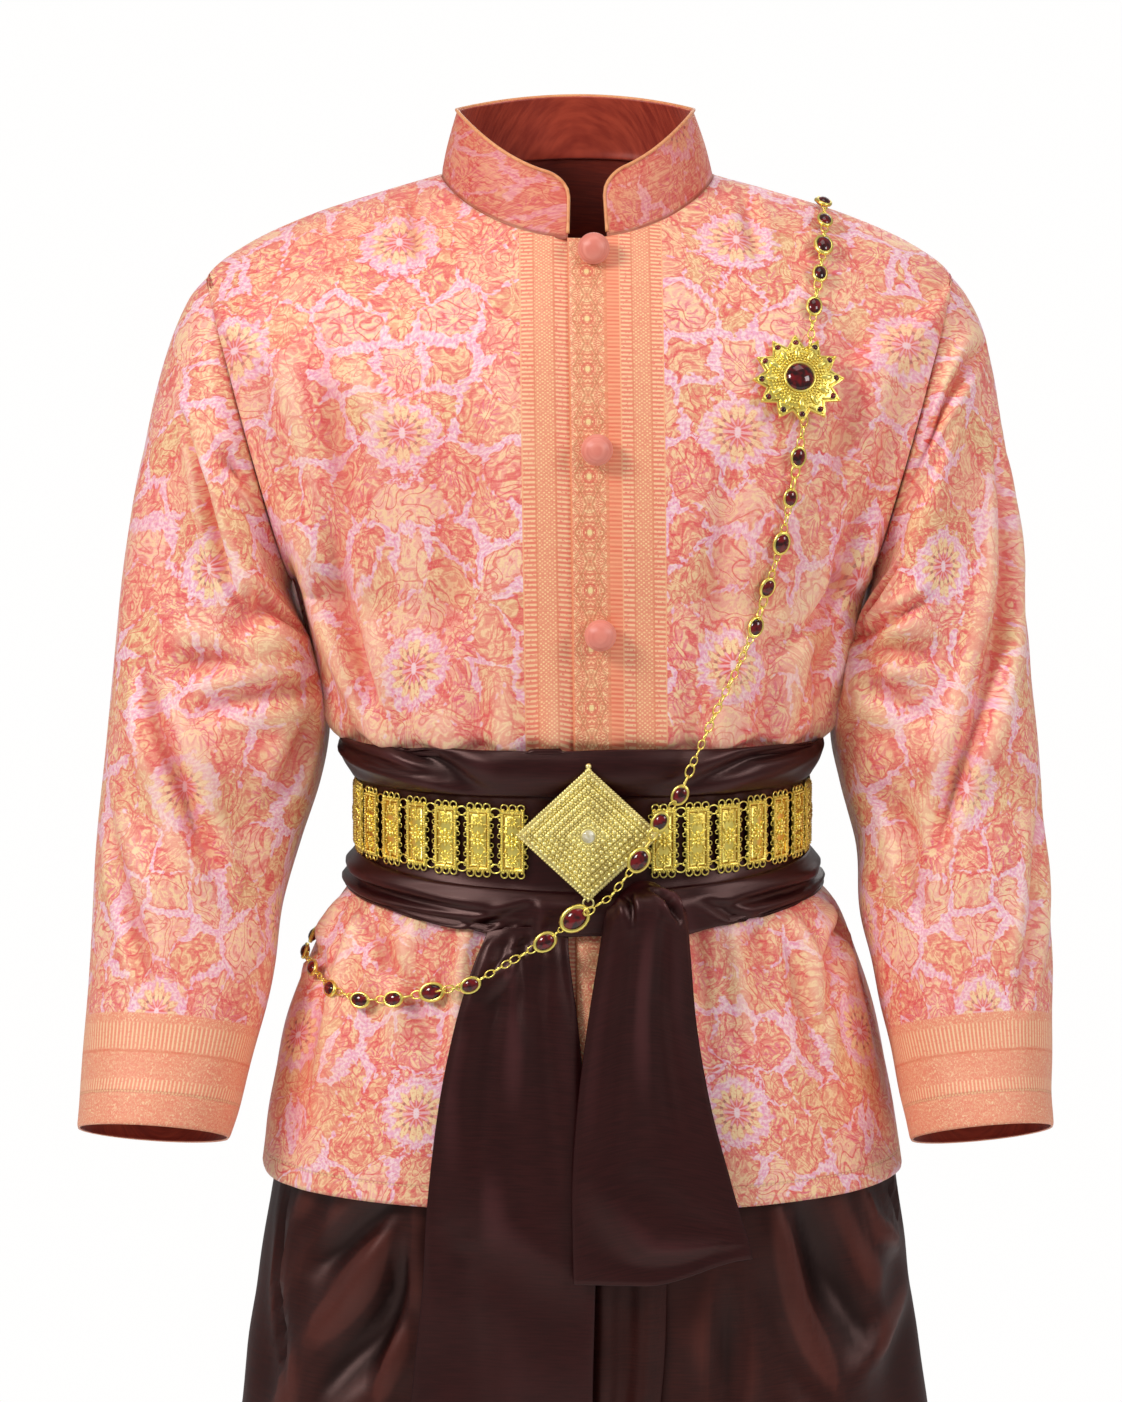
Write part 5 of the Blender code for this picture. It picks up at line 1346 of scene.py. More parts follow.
def lineDistance(first, second, path):
    best = np.full(np.shape(first), 1e9)
    where = np.zeros(np.shape(first))
    side = np.zeros(np.shape(first))
    lengths = [math.dist(a, b) for a, b in zip(path, path[1:])]
    done = 0.0
    for (a0, b0), (a1, b1), length in zip(path, path[1:], lengths):
        da, db = (a1 - a0) / length, (b1 - b0) / length
        along = np.clip((first - a0) * da + (second - b0) * db, 0, length)
        da0, db0 = first - a0 - along * da, second - b0 - along * db
        away = np.hypot(da0, db0)
        closer = away < best
        best = np.where(closer, away, best)
        where = np.where(closer, (done + along) / sum(lengths), where)
        side = np.where(closer, np.sign(da * db0 - db * da0), side)
        done += length
    return best, where, side


def creaseHeights(first, second, table):
    total = np.zeros(np.shape(first))
    for path, depth, width in table:
        away, where, side = lineDistance(first, second, path)
        taper = np.clip(np.sin(math.pi * np.clip(where, 0.02, 0.98)), 0, 1) ** 0.55
        broad = width * (0.55 + 0.45 * taper)
        lean = np.where(side > 0, 1.0, 0.62)
        shape = np.exp(-((away / (broad * lean)) ** 2))
        lip = np.exp(-(((away - 1.75 * broad) / (0.9 * broad)) ** 2))
        total += depth * taper * (shape - 0.38 * lip)
    return total


def creaseLines(*rows):  # depth, width and the points of each line, in thousandths
    found = []
    for row in rows:
        depth, width, *line = [value / 1000 for value in row]
        found.append((tuple(zip(line[::2], line[1::2])), depth, width))
    return found


def arcLengths(points, axis):
    steps = np.linalg.norm(np.diff(points, axis=axis), axis=-1)
    total = np.cumsum(steps, axis=axis)
    pad = [(0, 0), (0, 0)]
    pad[axis] = (1, 0)
    return np.pad(total, pad)


def gridNormals(points, closed):
    if closed:
        ring = np.concatenate([points[:, -2:-1], points, points[:, 1:2]], axis=1)
        alongU = (ring[:, 2:] - ring[:, :-2])
    else:
        alongU = np.gradient(points, axis=1)
    alongV = np.gradient(points, axis=0)
    cross = np.cross(alongV, alongU)
    return cross / np.maximum(np.linalg.norm(cross, axis=-1, keepdims=True), 1e-12)


def easeArray(value, low, high):
    share = np.clip((value - low) / (high - low), 0, 1)
    return share * share * (3 - 2 * share)


def gridLines(ends, count, closerAtEnds):
    share = np.linspace(0, 1, count + 1)
    if closerAtEnds:
        share = share - 0.08 * np.sin(2 * math.pi * share)
    return ends[0] + (ends[1] - ends[0]) * share


foldReach = 0.008  # a fold this deep takes the full painted shade of a trough


def fromStart(u, v, points, arcU, arcV):
    return arcU, arcV


def fromEnd(u, v, points, arcU, arcV):
    return arcU, arcV[-1:] - arcV


def makeCloth(
    name, node, slot, cloth, surface, counts, relief, uvOf, seamOf,
    closed=False, thick=0.0013, facing=0, start=0.0,
):
    across, down = counts
    u, v = np.meshgrid(gridLines((start, start + 1), across, not closed), gridLines((0, 1), down, True))
    points = surface(u, v)
    outwards = gridNormals(points, closed)
    if facing:
        flip = (outwards[..., 1] * facing).sum() < 0
    else:
        middle = points.mean(axis=(0, 1))
        flip = ((points - middle) * outwards)[..., :2].sum() < 0
    if flip:
        outwards = -outwards
    arcU = arcLengths(points, 1)
    arcV = arcLengths(points, 0)
    height = relief(u, v, points, arcU, arcV)
    bent = points + outwards * height[..., None]
    if closed:
        bent[:, -1] = bent[:, 0]
    clothUV = uvOf(u, v, bent, arcU, arcV)
    seamUV = seamOf(u, v, bent, arcU, arcV)
    used = bent[:, :-1] if closed else bent
    wide = used.shape[1]
    row, col = np.meshgrid(np.arange(down), np.arange(across), indexing="ij")
    nextCol = (col + 1) % wide if closed else col + 1
    corners = [(row, col), (row, nextCol), (row + 1, nextCol), (row + 1, col)]
    uvCorners = [(row, col), (row, col + 1), (row + 1, col + 1), (row + 1, col)]
    if not flip:
        corners.reverse()
        uvCorners.reverse()
    faces = np.stack([r * wide + c for r, c in corners], axis=-1).reshape(-1, 4)
    mesh = bpy.data.meshes.new(name)
    mesh.from_pydata(used.reshape(-1, 3).tolist(), [], faces.tolist())
    for label, values in (("Cloth", clothUV), ("Seam", seamUV)):
        layer = mesh.uv_layers.new(name=label)
        flat = np.stack(
            [np.stack([values[0][r, c], values[1][r, c]], axis=-1) for r, c in uvCorners], axis=2
        )
        layer.data.foreach_set("uv", flat.reshape(-1).astype(np.float32))
    mesh.validate()
    mesh.update()
    # the fold height is kept for the painted shade in troughs and painted highlight on crests
    fold = mesh.attributes.new("Fold", "FLOAT", "POINT")
    kept = height[:, :-1] if closed else height
    fold.data.foreach_set("value", np.clip(kept / foldReach, -1, 1).reshape(-1).astype(np.float32))
    piece = addObject(name, mesh)
    mesh.polygons.foreach_set("use_smooth", [True] * len(mesh.polygons))
    dress(piece, *cloth)
    solid = piece.modifiers.new("Thickness", "SOLIDIFY")
    solid.thickness = thick
    solid.offset = -1
    solid.use_even_offset = False
    solid.material_offset = len(cloth) - 1
    solid.material_offset_rim = 0
    useModifiers(piece)
    settle(piece, slot, node)


def onlySelect(piece):
    bpy.ops.object.select_all(action="DESELECT")
    piece.select_set(True)
    bpy.context.view_layer.objects.active = piece


def useModifiers(piece):
    onlySelect(piece)
    for modifier in list(piece.modifiers):
        bpy.ops.object.modifier_apply(modifier=modifier.name)


def dress(piece, *names):
    piece.data.materials.clear()
    for name in names:
        piece.data.materials.append(finish[name])


def settle(piece, slot, *nodes):
    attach(piece, "root")
    if nodes:
        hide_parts(*nodes)


def finished(piece, material, slot, *nodes):
    dress(piece, material)
    settle(piece, slot, *nodes)


# The jacket

jacketDress = {
    "frontCounts": (86, 162),
    "backCounts": (142, 150),
    "sleeveCounts": (124, 140),
    "rumple": 0.0007,
    "creaseDepth": 2.2,
    "sleeveDepth": 2.5,
    "rumpleSize": 0.07,
    "seamRoll": 0.0009,
    "rollWidth": 0.003,
    "hemRoll": 0.0008,
    "lapRoll": 0.0008,
    "lapCalm": (0.02, 0.022, 0.06),
    "beltLine": -0.398,
    "beltReach": 0.046,
    "pressed": 0.2,
    "sunk": 0.0006,
}
bunchingUnderSash = {
    "radius": 0.14,
    "heights": (0.44, 0.462, 0.475, 0.58),
    "waves": ((1.0, 0.034, 1.3, 21.0, 9.0, 0.44), (0.5, 0.019, 2.0, 13.0, 0.0, 0.0)),
    "depth": 0.003,
    "behind": 0.9,
}
gatherAboveSash = {
    "radius": 0.13,
    "heights": (0.255, 0.33, 0.344, 0.352),
    "waves": ((1.0, 0.041, 1.7, 17.0, 6.0, 0.0),),
    "depth": 0.0034,
    "behind": 1.0,
}


def gathers(points, kind):
    x, y, z = points[..., 0], points[..., 1], points[..., 2]
    around = np.arctan2(x, -y) * kind["radius"]
    starts, full, fades, ends = kind["heights"]
    fade = easeArray(-z, starts, full) * (1 - easeArray(-z, fades, ends))
    wave = np.zeros(z.shape)
    for share, pitch, sway, turns, slant, level in kind["waves"]:
        swing = sway * np.sin(around * turns) + (z + level) * slant
        wave += share * np.sin(around * 2 * math.pi / pitch + swing)
    return kind["depth"] * np.where(y < 0, 1.0, kind["behind"]) * fade * wave


def bodyHeight(points, creases, seed, calm=1.0):
    x, z = points[..., 0], points[..., 2]
    height = jacketDress["creaseDepth"] * creaseHeights(x, z, creases)
    height += jacketDress["rumple"] * rumple(points, jacketDress["rumpleSize"], seed)
    height += gathers(points, bunchingUnderSash) + gathers(points, gatherAboveSash)
    height *= calm
    pressed = np.abs(z - jacketDress["beltLine"]) < jacketDress["beltReach"]
    return np.where(pressed, height * jacketDress["pressed"] - jacketDress["sunk"], height)


frontCreases = creaseLines(
    (-2.6, 13, -158, -76, -150, -150, -140, -240),
    (-2.2, 9, -195, -115, -178, -175, -156, -230),
    (-2.4, 13, 166, -85, 160, -150, 150, -230),
    (-2.2, 9, 196, -120, 180, -180, 165, -235),
    (-1.2, 15, -70, -90, -62, -170, -70, -270),
    (-2.2, 5.5, -104.9, -5.4, -103, -28, -100.3, -52.8),
    (-1.6, 6, 100, -10, 108, -50),
    (-4, 8.5, -156, -195, -148, -245, -127, -330),
    (-3, 6.5, -164, -235, -135, -295, -118, -335),
    (-4.4, 8.5, 170, -190, 156, -250, 133, -335),
    (-3, 7, 176, -235, 139, -270, 100, -286),
    (-3, 6, 172, -248, 150, -300, 145, -338),
    (-2, 12, -90, -150, -80, -240, -93, -330),
    (-1.8, 12, 90, -160, 80, -250, 90, -330),
    (-1.4, 11, -130, -100, -90, -140),
    (-3, 6, -187.8, -434.2, -169.9, -471.1, -157.9, -495.8),
    (-2.8, 7, -135, -448, -112, -485, -91.2, -520.5),
    (-3, 6, 178.8, -434.2, 157.8, -471.1, 150, -515),
    (-2.6, 8, 125, -455, 135, -500, 152, -560),
    (-2, 10, -160, -500, -178, -570, -180, -620),
)

backCreases = creaseLines(
    (-4, 9, -162, -190, -135, -250, -115, -335),
    (-4, 8.5, 165, -185, 140, -245, 110, -330),
    (-2.6, 8, -170, -240, -110, -275, -60, -305),
    (-2.8, 8, 172, -235, 115, -280, 70, -320),
    (-1.6, 7, -105, -20, -100, -70),
    (-1.6, 7, 105, -20, 95, -65),
    (-2.2, 10, 4, -250, -6, -340),
    (1.8, 26, 0, -470, 2, -540, 0, -600),
    (-2.8, 9, -150, -452, -165, -520, -170, -600),
    (-2.6, 9, -50, -456, -45, -520, -60, -590),
    (-2.6, 8.5, 55, -456, 60, -520, 45, -580),
    (-2.8, 9, 145, -452, 160, -515, 175, -590),
)

rightSleeveCreases = creaseLines(
    (-3, 7, 315, 4, 275, 80, 231, 151),
    (-4.2, 8, 143, 205, 206, 234, 248, 297, 286, 360),
    (-4.6, 8.5, 139, 498, 181, 548, 256, 628, 324, 686),
    (-3.6, 7, 185, 481, 240, 455, 290, 427),
    (-3.2, 7, 395, 460, 385, 520, 370, 586),
    (-3.4, 8, 400, 280, 330, 300, 270, 400),
    (-3, 7, 405, 380, 330, 450, 230, 520),
    (-2.6, 8, 90, 640, 170, 740, 230, 840),
    (-4, 9, 880, 210, 790, 320, 700, 420),
    (-4.2, 8.5, 900, 520, 800, 570, 680, 560),
    (-3.4, 8, 860, 640, 750, 660, 640, 600),
    (-3.4, 8, 600, 300, 680, 240, 760, 140),
)

leftSleeveCreases = creaseLines(
    (-4.6, 8.5, 76, 255, 113, 414, 139, 469, 185, 515, 231, 561, 282, 623, 311, 682),
    (-3, 8, 63, 163, 180, 100, 290, 59),
    (-3.4, 6.5, 403, 289, 360, 250, 319, 222),
    (-3.6, 6.5, 403, 289, 330, 330, 265, 356),
    (-4, 7, 395, 305, 320, 390, 256, 444),
    (-4, 7, 387, 335, 340, 430, 282, 506),
    (-3, 8.5, 71, 632, 110, 740, 155, 841),
    (-2.6, 8, 380, 560, 340, 640, 330, 740),
    (-4, 9, 890, 220, 800, 330, 690, 400),
    (-4.2, 8.5, 910, 500, 810, 560, 670, 570),
    (-3.4, 8, 870, 620, 770, 670, 650, 640),
    (-3.4, 8, 610, 290, 690, 230, 770, 150),
)


def frontRelief(lapSide):

    def relief(u, v, points, arcU, arcV):
        middle, near, far = jacketDress["lapCalm"]
        calm = 0.25 + 0.75 * easeArray(np.abs(points[..., 0] - middle), near, far)
        height = bodyHeight(points, frontCreases, 11, calm)
        across = arcU[:, -1:] - arcU
        sideAway, lapAway = (across, arcU) if lapSide == "low" else (arcU, across)
        height *= easeArray(sideAway, 0.0, 0.02)
        height -= jacketDress["seamRoll"] * (1 - easeArray(sideAway, 0, jacketDress["rollWidth"]))
        if lapSide == "low":
            height -= jacketDress["lapRoll"] * (1 - easeArray(lapAway, 0, 0.002))
        height -= jacketDress["hemRoll"] * (1 - easeArray(arcV[-1:] - arcV, 0, 0.0024))
        return height * easeArray(arcV, 0.0, 0.012)

    return relief


def backRelief(u, v, points, arcU, arcV):
    height = bodyHeight(points, backCreases, 12)
    away = np.minimum(arcU, arcU[:, -1:] - arcU)
    height *= easeArray(away, 0.0, 0.02)
    height -= jacketDress["seamRoll"] * (1 - easeArray(away, 0, jacketDress["rollWidth"]))
    height -= jacketDress["hemRoll"] * (1 - easeArray(arcV[-1:] - arcV, 0, 0.0024))
    return height * easeArray(arcV, 0.0, 0.012)


def skirtPull(z):
    return 0.42 * np.clip((-z - 0.1) / 0.12, 0, 1)


def frontUV(side):  # the left front is measured from its first edge, the right one from its last

    def uvOf(u, v, points, arcU, arcV):
        x, y, z = points[..., 0], points[..., 1], points[..., 2]
        edgeY = y[:, :1] if side > 0 else y[:, -1:]
        out = np.abs(x - lapEdge(v)) + skirtPull(z) * np.abs(y - edgeY)
        return side * out, -(z + 0.5 * y)

    return uvOf


def backUV(u, v, points, arcU, arcV):
    x, y, z = points[..., 0], points[..., 1], points[..., 2]
    return x * 1.18, -(z - 0.5 * y)


def frontSeams(u, v, points, arcU, arcV):
    return np.abs(points[..., 0] - lapEdge(v)), arcV[-1:] - arcV


def makeBody():
    counts = jacketDress["frontCounts"]
    makeCloth(
        "jacketFrontLeft", "jacket_front_left", "brocade", ("leftBrocade", "lining"),
        frontLeft, counts, frontRelief("low"), frontUV(1), frontSeams,
    )
    makeCloth(
        "jacketFrontRight", "jacket_front_right", "brocade", ("rightBrocade", "lining"),
        frontRight, counts, frontRelief("high"), frontUV(-1), frontSeams,
    )
    makeCloth(
        "jacketBack", "jacket_back", "brocade", ("backBrocade", "lining"),
        back, jacketDress["backCounts"], backRelief, backUV, fromEnd,
    )


def onCloth(table, cut):  # crease lines in shares of the girth and length, brought to metres
    return [
        (tuple((a * cut["girth"], b * cut["length"]) for a, b in path), depth, width)
        for path, depth, width in table
    ]


def sleeveRelief(table, seed):
    paths = onCloth(table, sleeveCut)

    def relief(u, v, points, arcU, arcV):
        height = creaseHeights(u % 1.0 * sleeveCut["girth"], v * sleeveCut["length"], paths)
        height = jacketDress["sleeveDepth"] * height
        height += jacketDress["rumple"] * rumple(points, 0.06, seed)
        height = height * easeArray(arcV, 0.0, 0.02) * easeArray(arcV[-1:] - arcV, 0.0, 0.03)
        height -= 0.001 * (1 - easeArray(arcV, 0, 0.003))
        return height - 0.0007 * (1 - easeArray(arcV[-1:] - arcV, 0, 0.0022))

    return relief


def sleeveUV(u, v, points, arcU, arcV):
    return u * arcU[:, -1:].mean(), -(arcV[-1:] - arcV)


def makeSleeves():
    for label, side, creases, seed in (
        ("Left", 1, leftSleeveCreases, 21),
        ("Right", -1, rightSleeveCreases, 22),
    ):
        makeCloth(
            "sleeve" + label, "sleeve_" + label.lower(), "brocade", ("sleeveBrocade", "lining"),
            sleeve(sleeveCut[label.lower()], side), jacketDress["sleeveCounts"], sleeveRelief(creases, seed),
            sleeveUV, fromEnd, closed=True, start=-0.5,
        )


makeBody()
print("jacket body is made")
makeSleeves()
print("sleeves are made")


# Collar, its piping, and the buttons

collarDress = {
    "thick": 0.0016,
    "pipingRadius": 0.0011,
    "counts": (160, 20),
}


def collarRelief(u, v, points, arcU, arcV):
    height = 0.0005 * rumple(points, 0.05, 31)
    height = height + 0.0008 * np.sin(math.pi * v) - 0.0006 * (1 - easeArray(v, 0.0, 0.06))
    return height * easeArray(v, 0.0, 0.12)


def tubeAlong(name, path, radius, sides=8):
    path = np.asarray(path, float)
    ahead = np.gradient(path, axis=0)
    ahead = ahead / np.linalg.norm(ahead, axis=-1, keepdims=True)
    up = np.array([0.0, 0.0, 1.0])
    across = np.cross(ahead, up)
    across = across / np.maximum(np.linalg.norm(across, axis=-1, keepdims=True), 1e-9)
    over = np.cross(across, ahead)
    angles = np.linspace(0, 2 * math.pi, sides, endpoint=False)
    turns = np.cos(angles)[:, None] * across[:, None] + np.sin(angles)[:, None] * over[:, None]
    ring = path[:, None] + radius * turns
    shape = bmesh.new()
    rows = [[shape.verts.new(place) for place in line] for line in ring]
    for first, second in zip(rows, rows[1:]):
        for i in range(sides):
            j = (i + 1) % sides
            shape.faces.new((first[i], first[j], second[j], second[i]))
    shape.faces.new(rows[0])
    shape.faces.new(rows[-1])
    bmesh.ops.recalc_face_normals(shape, faces=shape.faces)
    mesh = bpy.data.meshes.new(name)
    shape.to_mesh(mesh)
    shape.free()
    for face in mesh.polygons:
        face.use_smooth = len(face.vertices) == 4
    return addObject(name, mesh)


def collarUV(u, v, points, arcU, arcV):
    return arcU + 0.03, arcV + 0.02


def makeCollar():
    makeCloth(
        "collarBand", "collar", "brocade", ("collarBrocade", "lining"),
        collar, collarDress["counts"], collarRelief, collarUV, fromStart, thick=collarDress["thick"],
    )
    climb = np.linspace(0.14, 1.0, 12)
    start = collar(np.zeros(12), climb)
    over = collar(np.linspace(0.002, 0.998, 220), np.ones(220))
    end = collar(np.ones(12), climb[::-1])
    path = np.concatenate([start, over, end]) * np.array([1.003, 1.003, 1.0])
    cord = tubeAlong("collarPiping", path, collarDress["pipingRadius"])
    finished(cord, "piping", "brocade")


def makeButton(name, centre, radius):
    bpy.ops.mesh.primitive_uv_sphere_add(segments=28, ring_count=16, radius=radius, location=centre)
    piece = bpy.context.object
    piece.name = name
    bpy.ops.object.transform_apply(location=True)
    mesh = piece.data
    for vert in mesh.vertices:
        away = vert.co - Vector(centre)
        depth = away.y / radius
        flat = 0.62 if depth > 0 else 0.8
        place = Vector(centre) + Vector((away.x, away.y * flat, away.z))
        pull = math.exp(-((math.hypot(away.x, away.z) / radius) ** 2) * 90)
        place.y += 0.0006 * pull
        angle = math.atan2(away.z, away.x)
        place.y += 0.00016 * math.sin(angle * 9) * math.hypot(away.x, away.z) / radius
        vert.co = place
    bpy.ops.object.shade_smooth()
    dress(piece, "button")
    return piece


def makeButtons():
    for number in (1, 2, 3):
        low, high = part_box("button_%d" % number)
        middle = (Vector(low) + Vector(high)) / 2
        radius = (high[0] - low[0]) / 2
        piece = makeButton("clothButton%d" % number, tuple(middle), radius)
        settle(piece, "button_cloth", "button_%d" % number)


finish["collarBrocade"] = brocadeMaterial("collarBrocade", "collar")
makeCollar()
makeButtons()
print("collar and buttons are made")


# Sash and its tails

sashDress = {
    "thick": 0.0018,
    "tailThick": 0.0012,
    "counts": (320, 66),
    "tailCounts": (46, 120),
    "rumple": 0.0006,
    "stretch": 3.0,
    "creaseDepth": 1.7,
    "knotFold": (0.052, 0.022, 0.0045),
    "buckleReach": 0.035,
    "beltFrom": 0.425,
    "beltTo": 0.575,
}

sashCreases = creaseLines(
    (-3, 30, 870, 60, 900, 180, 931, 345),
    (-2, 22, 700, 100, 800, 160, 905, 290),
    (-2.2, 24, 200, 110, 120, 180, 60, 350),
    (-2.6, 22, 700, 780, 820, 815, 940, 790),
    (-2, 20, 720, 900, 850, 900, 960, 840),
    (-2.6, 22, 100, 790, 200, 830, 290, 800),
    (-1.8, 20, 120, 900, 220, 890, 300, 910),
    (-2.4, 24, 330, 130, 450, 210, 560, 160, 680, 240),
    (-2.6, 24, 350, 820, 500, 790, 650, 850),
    (-1.8, 18, 380, 930, 520, 900, 640, 930),
)


radiatingFolds = creaseLines(
    (-3.4, 20, -94, 700, -150, 820, -220, 930),
    (-4, 17, -92, 720, -128, 850, -162, 960),
    (-3.8, 16, -86, 740, -98, 860, -112, 970),
    (-2.6, 22, 250, 740, 300, 840, 340, 930),
)


def sashRelief(u, v, points, arcU, arcV):
    stretch = sashDress["stretch"]
    lines = []
    for path, depth, width in sashCreases:
        for shift in (-1.0, 0.0, 1.0):
            path3 = tuple(((a + shift) * stretch, b) for a, b in path)
            lines.append((path3, depth, width * 1.6))
    height = sashDress["creaseDepth"] * creaseHeights(u * stretch, v, lines)
    height += sashDress["rumple"] * rumple(points, 0.045, 41)
    turned = (u + 0.5) % 1.0 - 0.5
    height += creaseHeights(turned * stretch, v, radiatingFolds)
    place, width, lift = sashDress["knotFold"]
    knot = np.exp(-(((turned - place) / width) ** 2))
    height += lift * knot * easeArray(v, 0.62, 0.8) * (1 - easeArray(v, 0.93, 1.0))
    belt = easeArray(v, 0.36, sashDress["beltFrom"]) * (1 - easeArray(v, sashDress["beltTo"], 0.62))
    pressed = 1 - belt * np.where(np.abs(turned) > sashDress["buckleReach"], 1.0, 0.8)
    return height * pressed * easeArray(v, 0.0, 0.05) * (1 - easeArray(v, 0.95, 1.0))


def makeSash():
    makeCloth(
        "sashBand", "sash_wrap", "satin", ("satin",),
        sash, sashDress["counts"], sashRelief, fromStart, fromStart, closed=True, thick=sashDress["thick"],
    )


def tailRelief(creases, seed, pleats):

    def relief(u, v, points, arcU, arcV):
        height = creaseHeights(u * 0.12, v * 0.4, creases)
        height += 0.0007 * rumple(points, 0.06, seed)
        fan = np.sin(math.pi * pleats * 2.0 * u + 0.6 * np.sin(5 * u))
        fan *= 0.0004 * (1 - easeArray(v, 0.1, 0.6))
        edge = np.minimum(arcU, arcU[:, -1:] - arcU)
        height = (height + fan) * easeArray(edge, 0.0, 0.006) - 0.0006 * (1 - easeArray(edge, 0, 0.0028))
        height -= 0.0004 * (1 - easeArray(arcV[-1:] - arcV, 0, 0.003))
        return np.maximum(height, -0.005) * easeArray(arcV, 0.0, 0.012)

    return relief


underCreases = creaseLines(
    (-3, 14, 30, 4, 36, 100, 30, 260),
    (-2.8, 13, 86, 4, 80, 90, 90, 220),
    (-2.2, 9, 58, 4, 62, 50, 68, 120),
    (4.6, 22, 30, 60, 50, 72),
    (2.2, 20, 14, 170, 50, 240, 104, 280),
    (-1.8, 15, 20, 250, 40, 320, 46, 396),
)
overCreases = creaseLines(
    (-4.6, 7, 16, 14, 30, 34, 40, 80),
    (3.4, 6, 66, 10, 98, 26, 112, 60),
    (-5.6, 6.5, 72, 24, 94, 44, 106, 78),
    (-3, 12, 86, 70, 80, 150, 86, 250),
    (-2.6, 14, 40, 60, 40, 150, 32, 260),
    (2.6, 18, 20, 280, 56, 340, 104, 360),
)


def makeTails():
    pleats = tailCut["pleats"]
    for label, creases, seed, arch, lift in (
        ("Under", underCreases, 43, 0.003, 0.0),
        ("Over", overCreases, 44, 0.012, 0.016),
    ):
        makeCloth(
            "sashTail" + label, "sash_tail_" + label.lower(), "satin", ("satin",),
            tail(tailCut[label.lower()], pleats, arch, lift), sashDress["tailCounts"],
            tailRelief(creases, seed, pleats), fromStart, fromEnd, thick=sashDress["tailThick"], facing=-1,
        )


makeSash()
makeTails()
print("sash and tails are made")


# Chong kraben

krabenDress = {
    "legCounts": (124, 140),
    "stripCounts": (56, 80),
    "bandCounts": (160, 6),
    "thin": 0.0012,
    "rumple": 0.0006,
}

rightLegCreases = creaseLines(
    (-6.5, 11, 205, 330, 273, 372, 320, 405),
    (6, 16, 214, 368, 253, 416, 313, 462),
    (-9, 15, 190, 365, 204, 428, 249, 468, 300, 520),
    (6, 9, 183, 335, 189, 416, 226, 520),
    (3.5, 13, 330, 315, 363, 368),
    (-5, 7, 402, 315, 386, 428, 342, 520),
    (5, 18, 330, 470, 380, 600, 460, 700),
    (-7, 17, 190, 560, 270, 660, 420, 740),
    (-6, 17, 150, 660, 250, 800, 420, 880),
    (-7, 17, 640, 380, 740, 560, 860, 660),
    (-6, 17, 620, 540, 700, 720, 820, 860),
    (-5.5, 14, 560, 400, 560, 700, 540, 900),
)
leftLegCreases = creaseLines(
    (6.5, 12, 207, 330, 229, 428, 283, 520),
    (-9.5, 18, 246, 335, 288, 416, 326, 480),
    (4.5, 9, 342, 320, 365, 376, 436, 404),
    (-4.5, 7, 408, 325, 450, 384),
    (5, 13, 450, 434, 374, 464, 296, 500),
    (-5.5, 10, 150, 405, 157, 520),
    (-7, 17, 190, 540, 280, 660, 420, 750),
    (-6, 17, 150, 660, 260, 820, 430, 900),
    (-7, 17, 630, 380, 730, 540, 870, 640),
    (-6, 17, 620, 560, 710, 740, 830, 880),
    (-5.5, 14, 550, 380, 545, 660, 560, 920),
)


def legRelief(table, seed):
    paths = onCloth(table, krabenCut)

    def relief(u, v, points, arcU, arcV):
        height = creaseHeights(u * krabenCut["girth"], v * krabenCut["length"], paths)
        height += krabenDress["rumple"] * rumple(points, 0.06, seed)
        height = np.minimum(height, 0.0005 + 0.012 * easeArray(v, 0.3, 0.36))
        seam = np.minimum(u, 1 - u)
        height = height * easeArray(seam, 0.03, 0.1) * easeArray(v, 0.13, 0.2)
        height *= easeArray(arcV[-1:] - arcV, 0.0, 0.03)
        hem = np.abs(arcV[-1:] - arcV - 0.018)
        return height - 0.0006 * np.exp(-((hem / 0.0014) ** 2)) * easeArray(v, 0.5, 0.6)

    return relief


def stripRelief(u, v, points, arcU, arcV):
    edge = np.minimum(arcU, arcU[:, -1:] - arcU)
    return 0.0005 * rumple(points, 0.05, 55) - 0.0008 * (1 - easeArray(edge, 0, 0.0025))


def bandRelief(u, v, points, arcU, arcV):
    return 0.0003 * rumple(points, 0.03, 57) * easeArray(v, 0, 0.2)


def makeKraben():
    slot, cloth, thin = "kraben_cloth", ("kraben",), krabenDress["thin"]
    for label, side, creases, seed in (("Left", 1, leftLegCreases, 51), ("Right", -1, rightLegCreases, 52)):
        makeCloth(
            "krabenLeg" + label, "kraben_leg_" + label.lower(), slot, cloth,
            leg(side), krabenDress["legCounts"], legRelief(creases, seed), fromStart, fromEnd,
        )
    for name, node, table, facing in (
        ("krabenPleats", "kraben_pleats", krabenCut["frontPleats"], -1),
        ("krabenTail", "kraben_tail", krabenCut["backTail"], 1),
    ):
        makeCloth(
            name, node, slot, cloth, strip(table, facing), krabenDress["stripCounts"],
            stripRelief, fromStart, fromEnd, thick=thin, facing=facing,
        )
    makeCloth(
        "krabenWaistband", "kraben_waistband", slot, cloth, waistband, krabenDress["bandCounts"],
        bandRelief, fromStart, fromStart, closed=True, thick=thin,
    )


makeKraben()
print("chong kraben is made")


# Goldwork: small shapes modelled once, then copied


def lastShape(name):
    piece = bpy.context.object
    piece.name = name
    bpy.ops.object.transform_apply(location=True, rotation=True, scale=True)
    return piece


def flatDisc(sides, radius, place):
    bpy.ops.object.select_all(action="DESELECT")
    bpy.ops.mesh.primitive_circle_add(
        vertices=sides, radius=radius, fill_type="NGON", location=place, rotation=(math.pi / 2, 0, 0)
    )


def smallBall(name, radius, scale=(1, 1, 1), faces=(8, 5)):
    bpy.ops.object.select_all(action="DESELECT")
    bpy.ops.mesh.primitive_uv_sphere_add(segments=faces[0], ring_count=faces[1], radius=radius)
    bpy.context.object.scale = scale
    bpy.ops.object.shade_smooth()
    return lastShape(name)


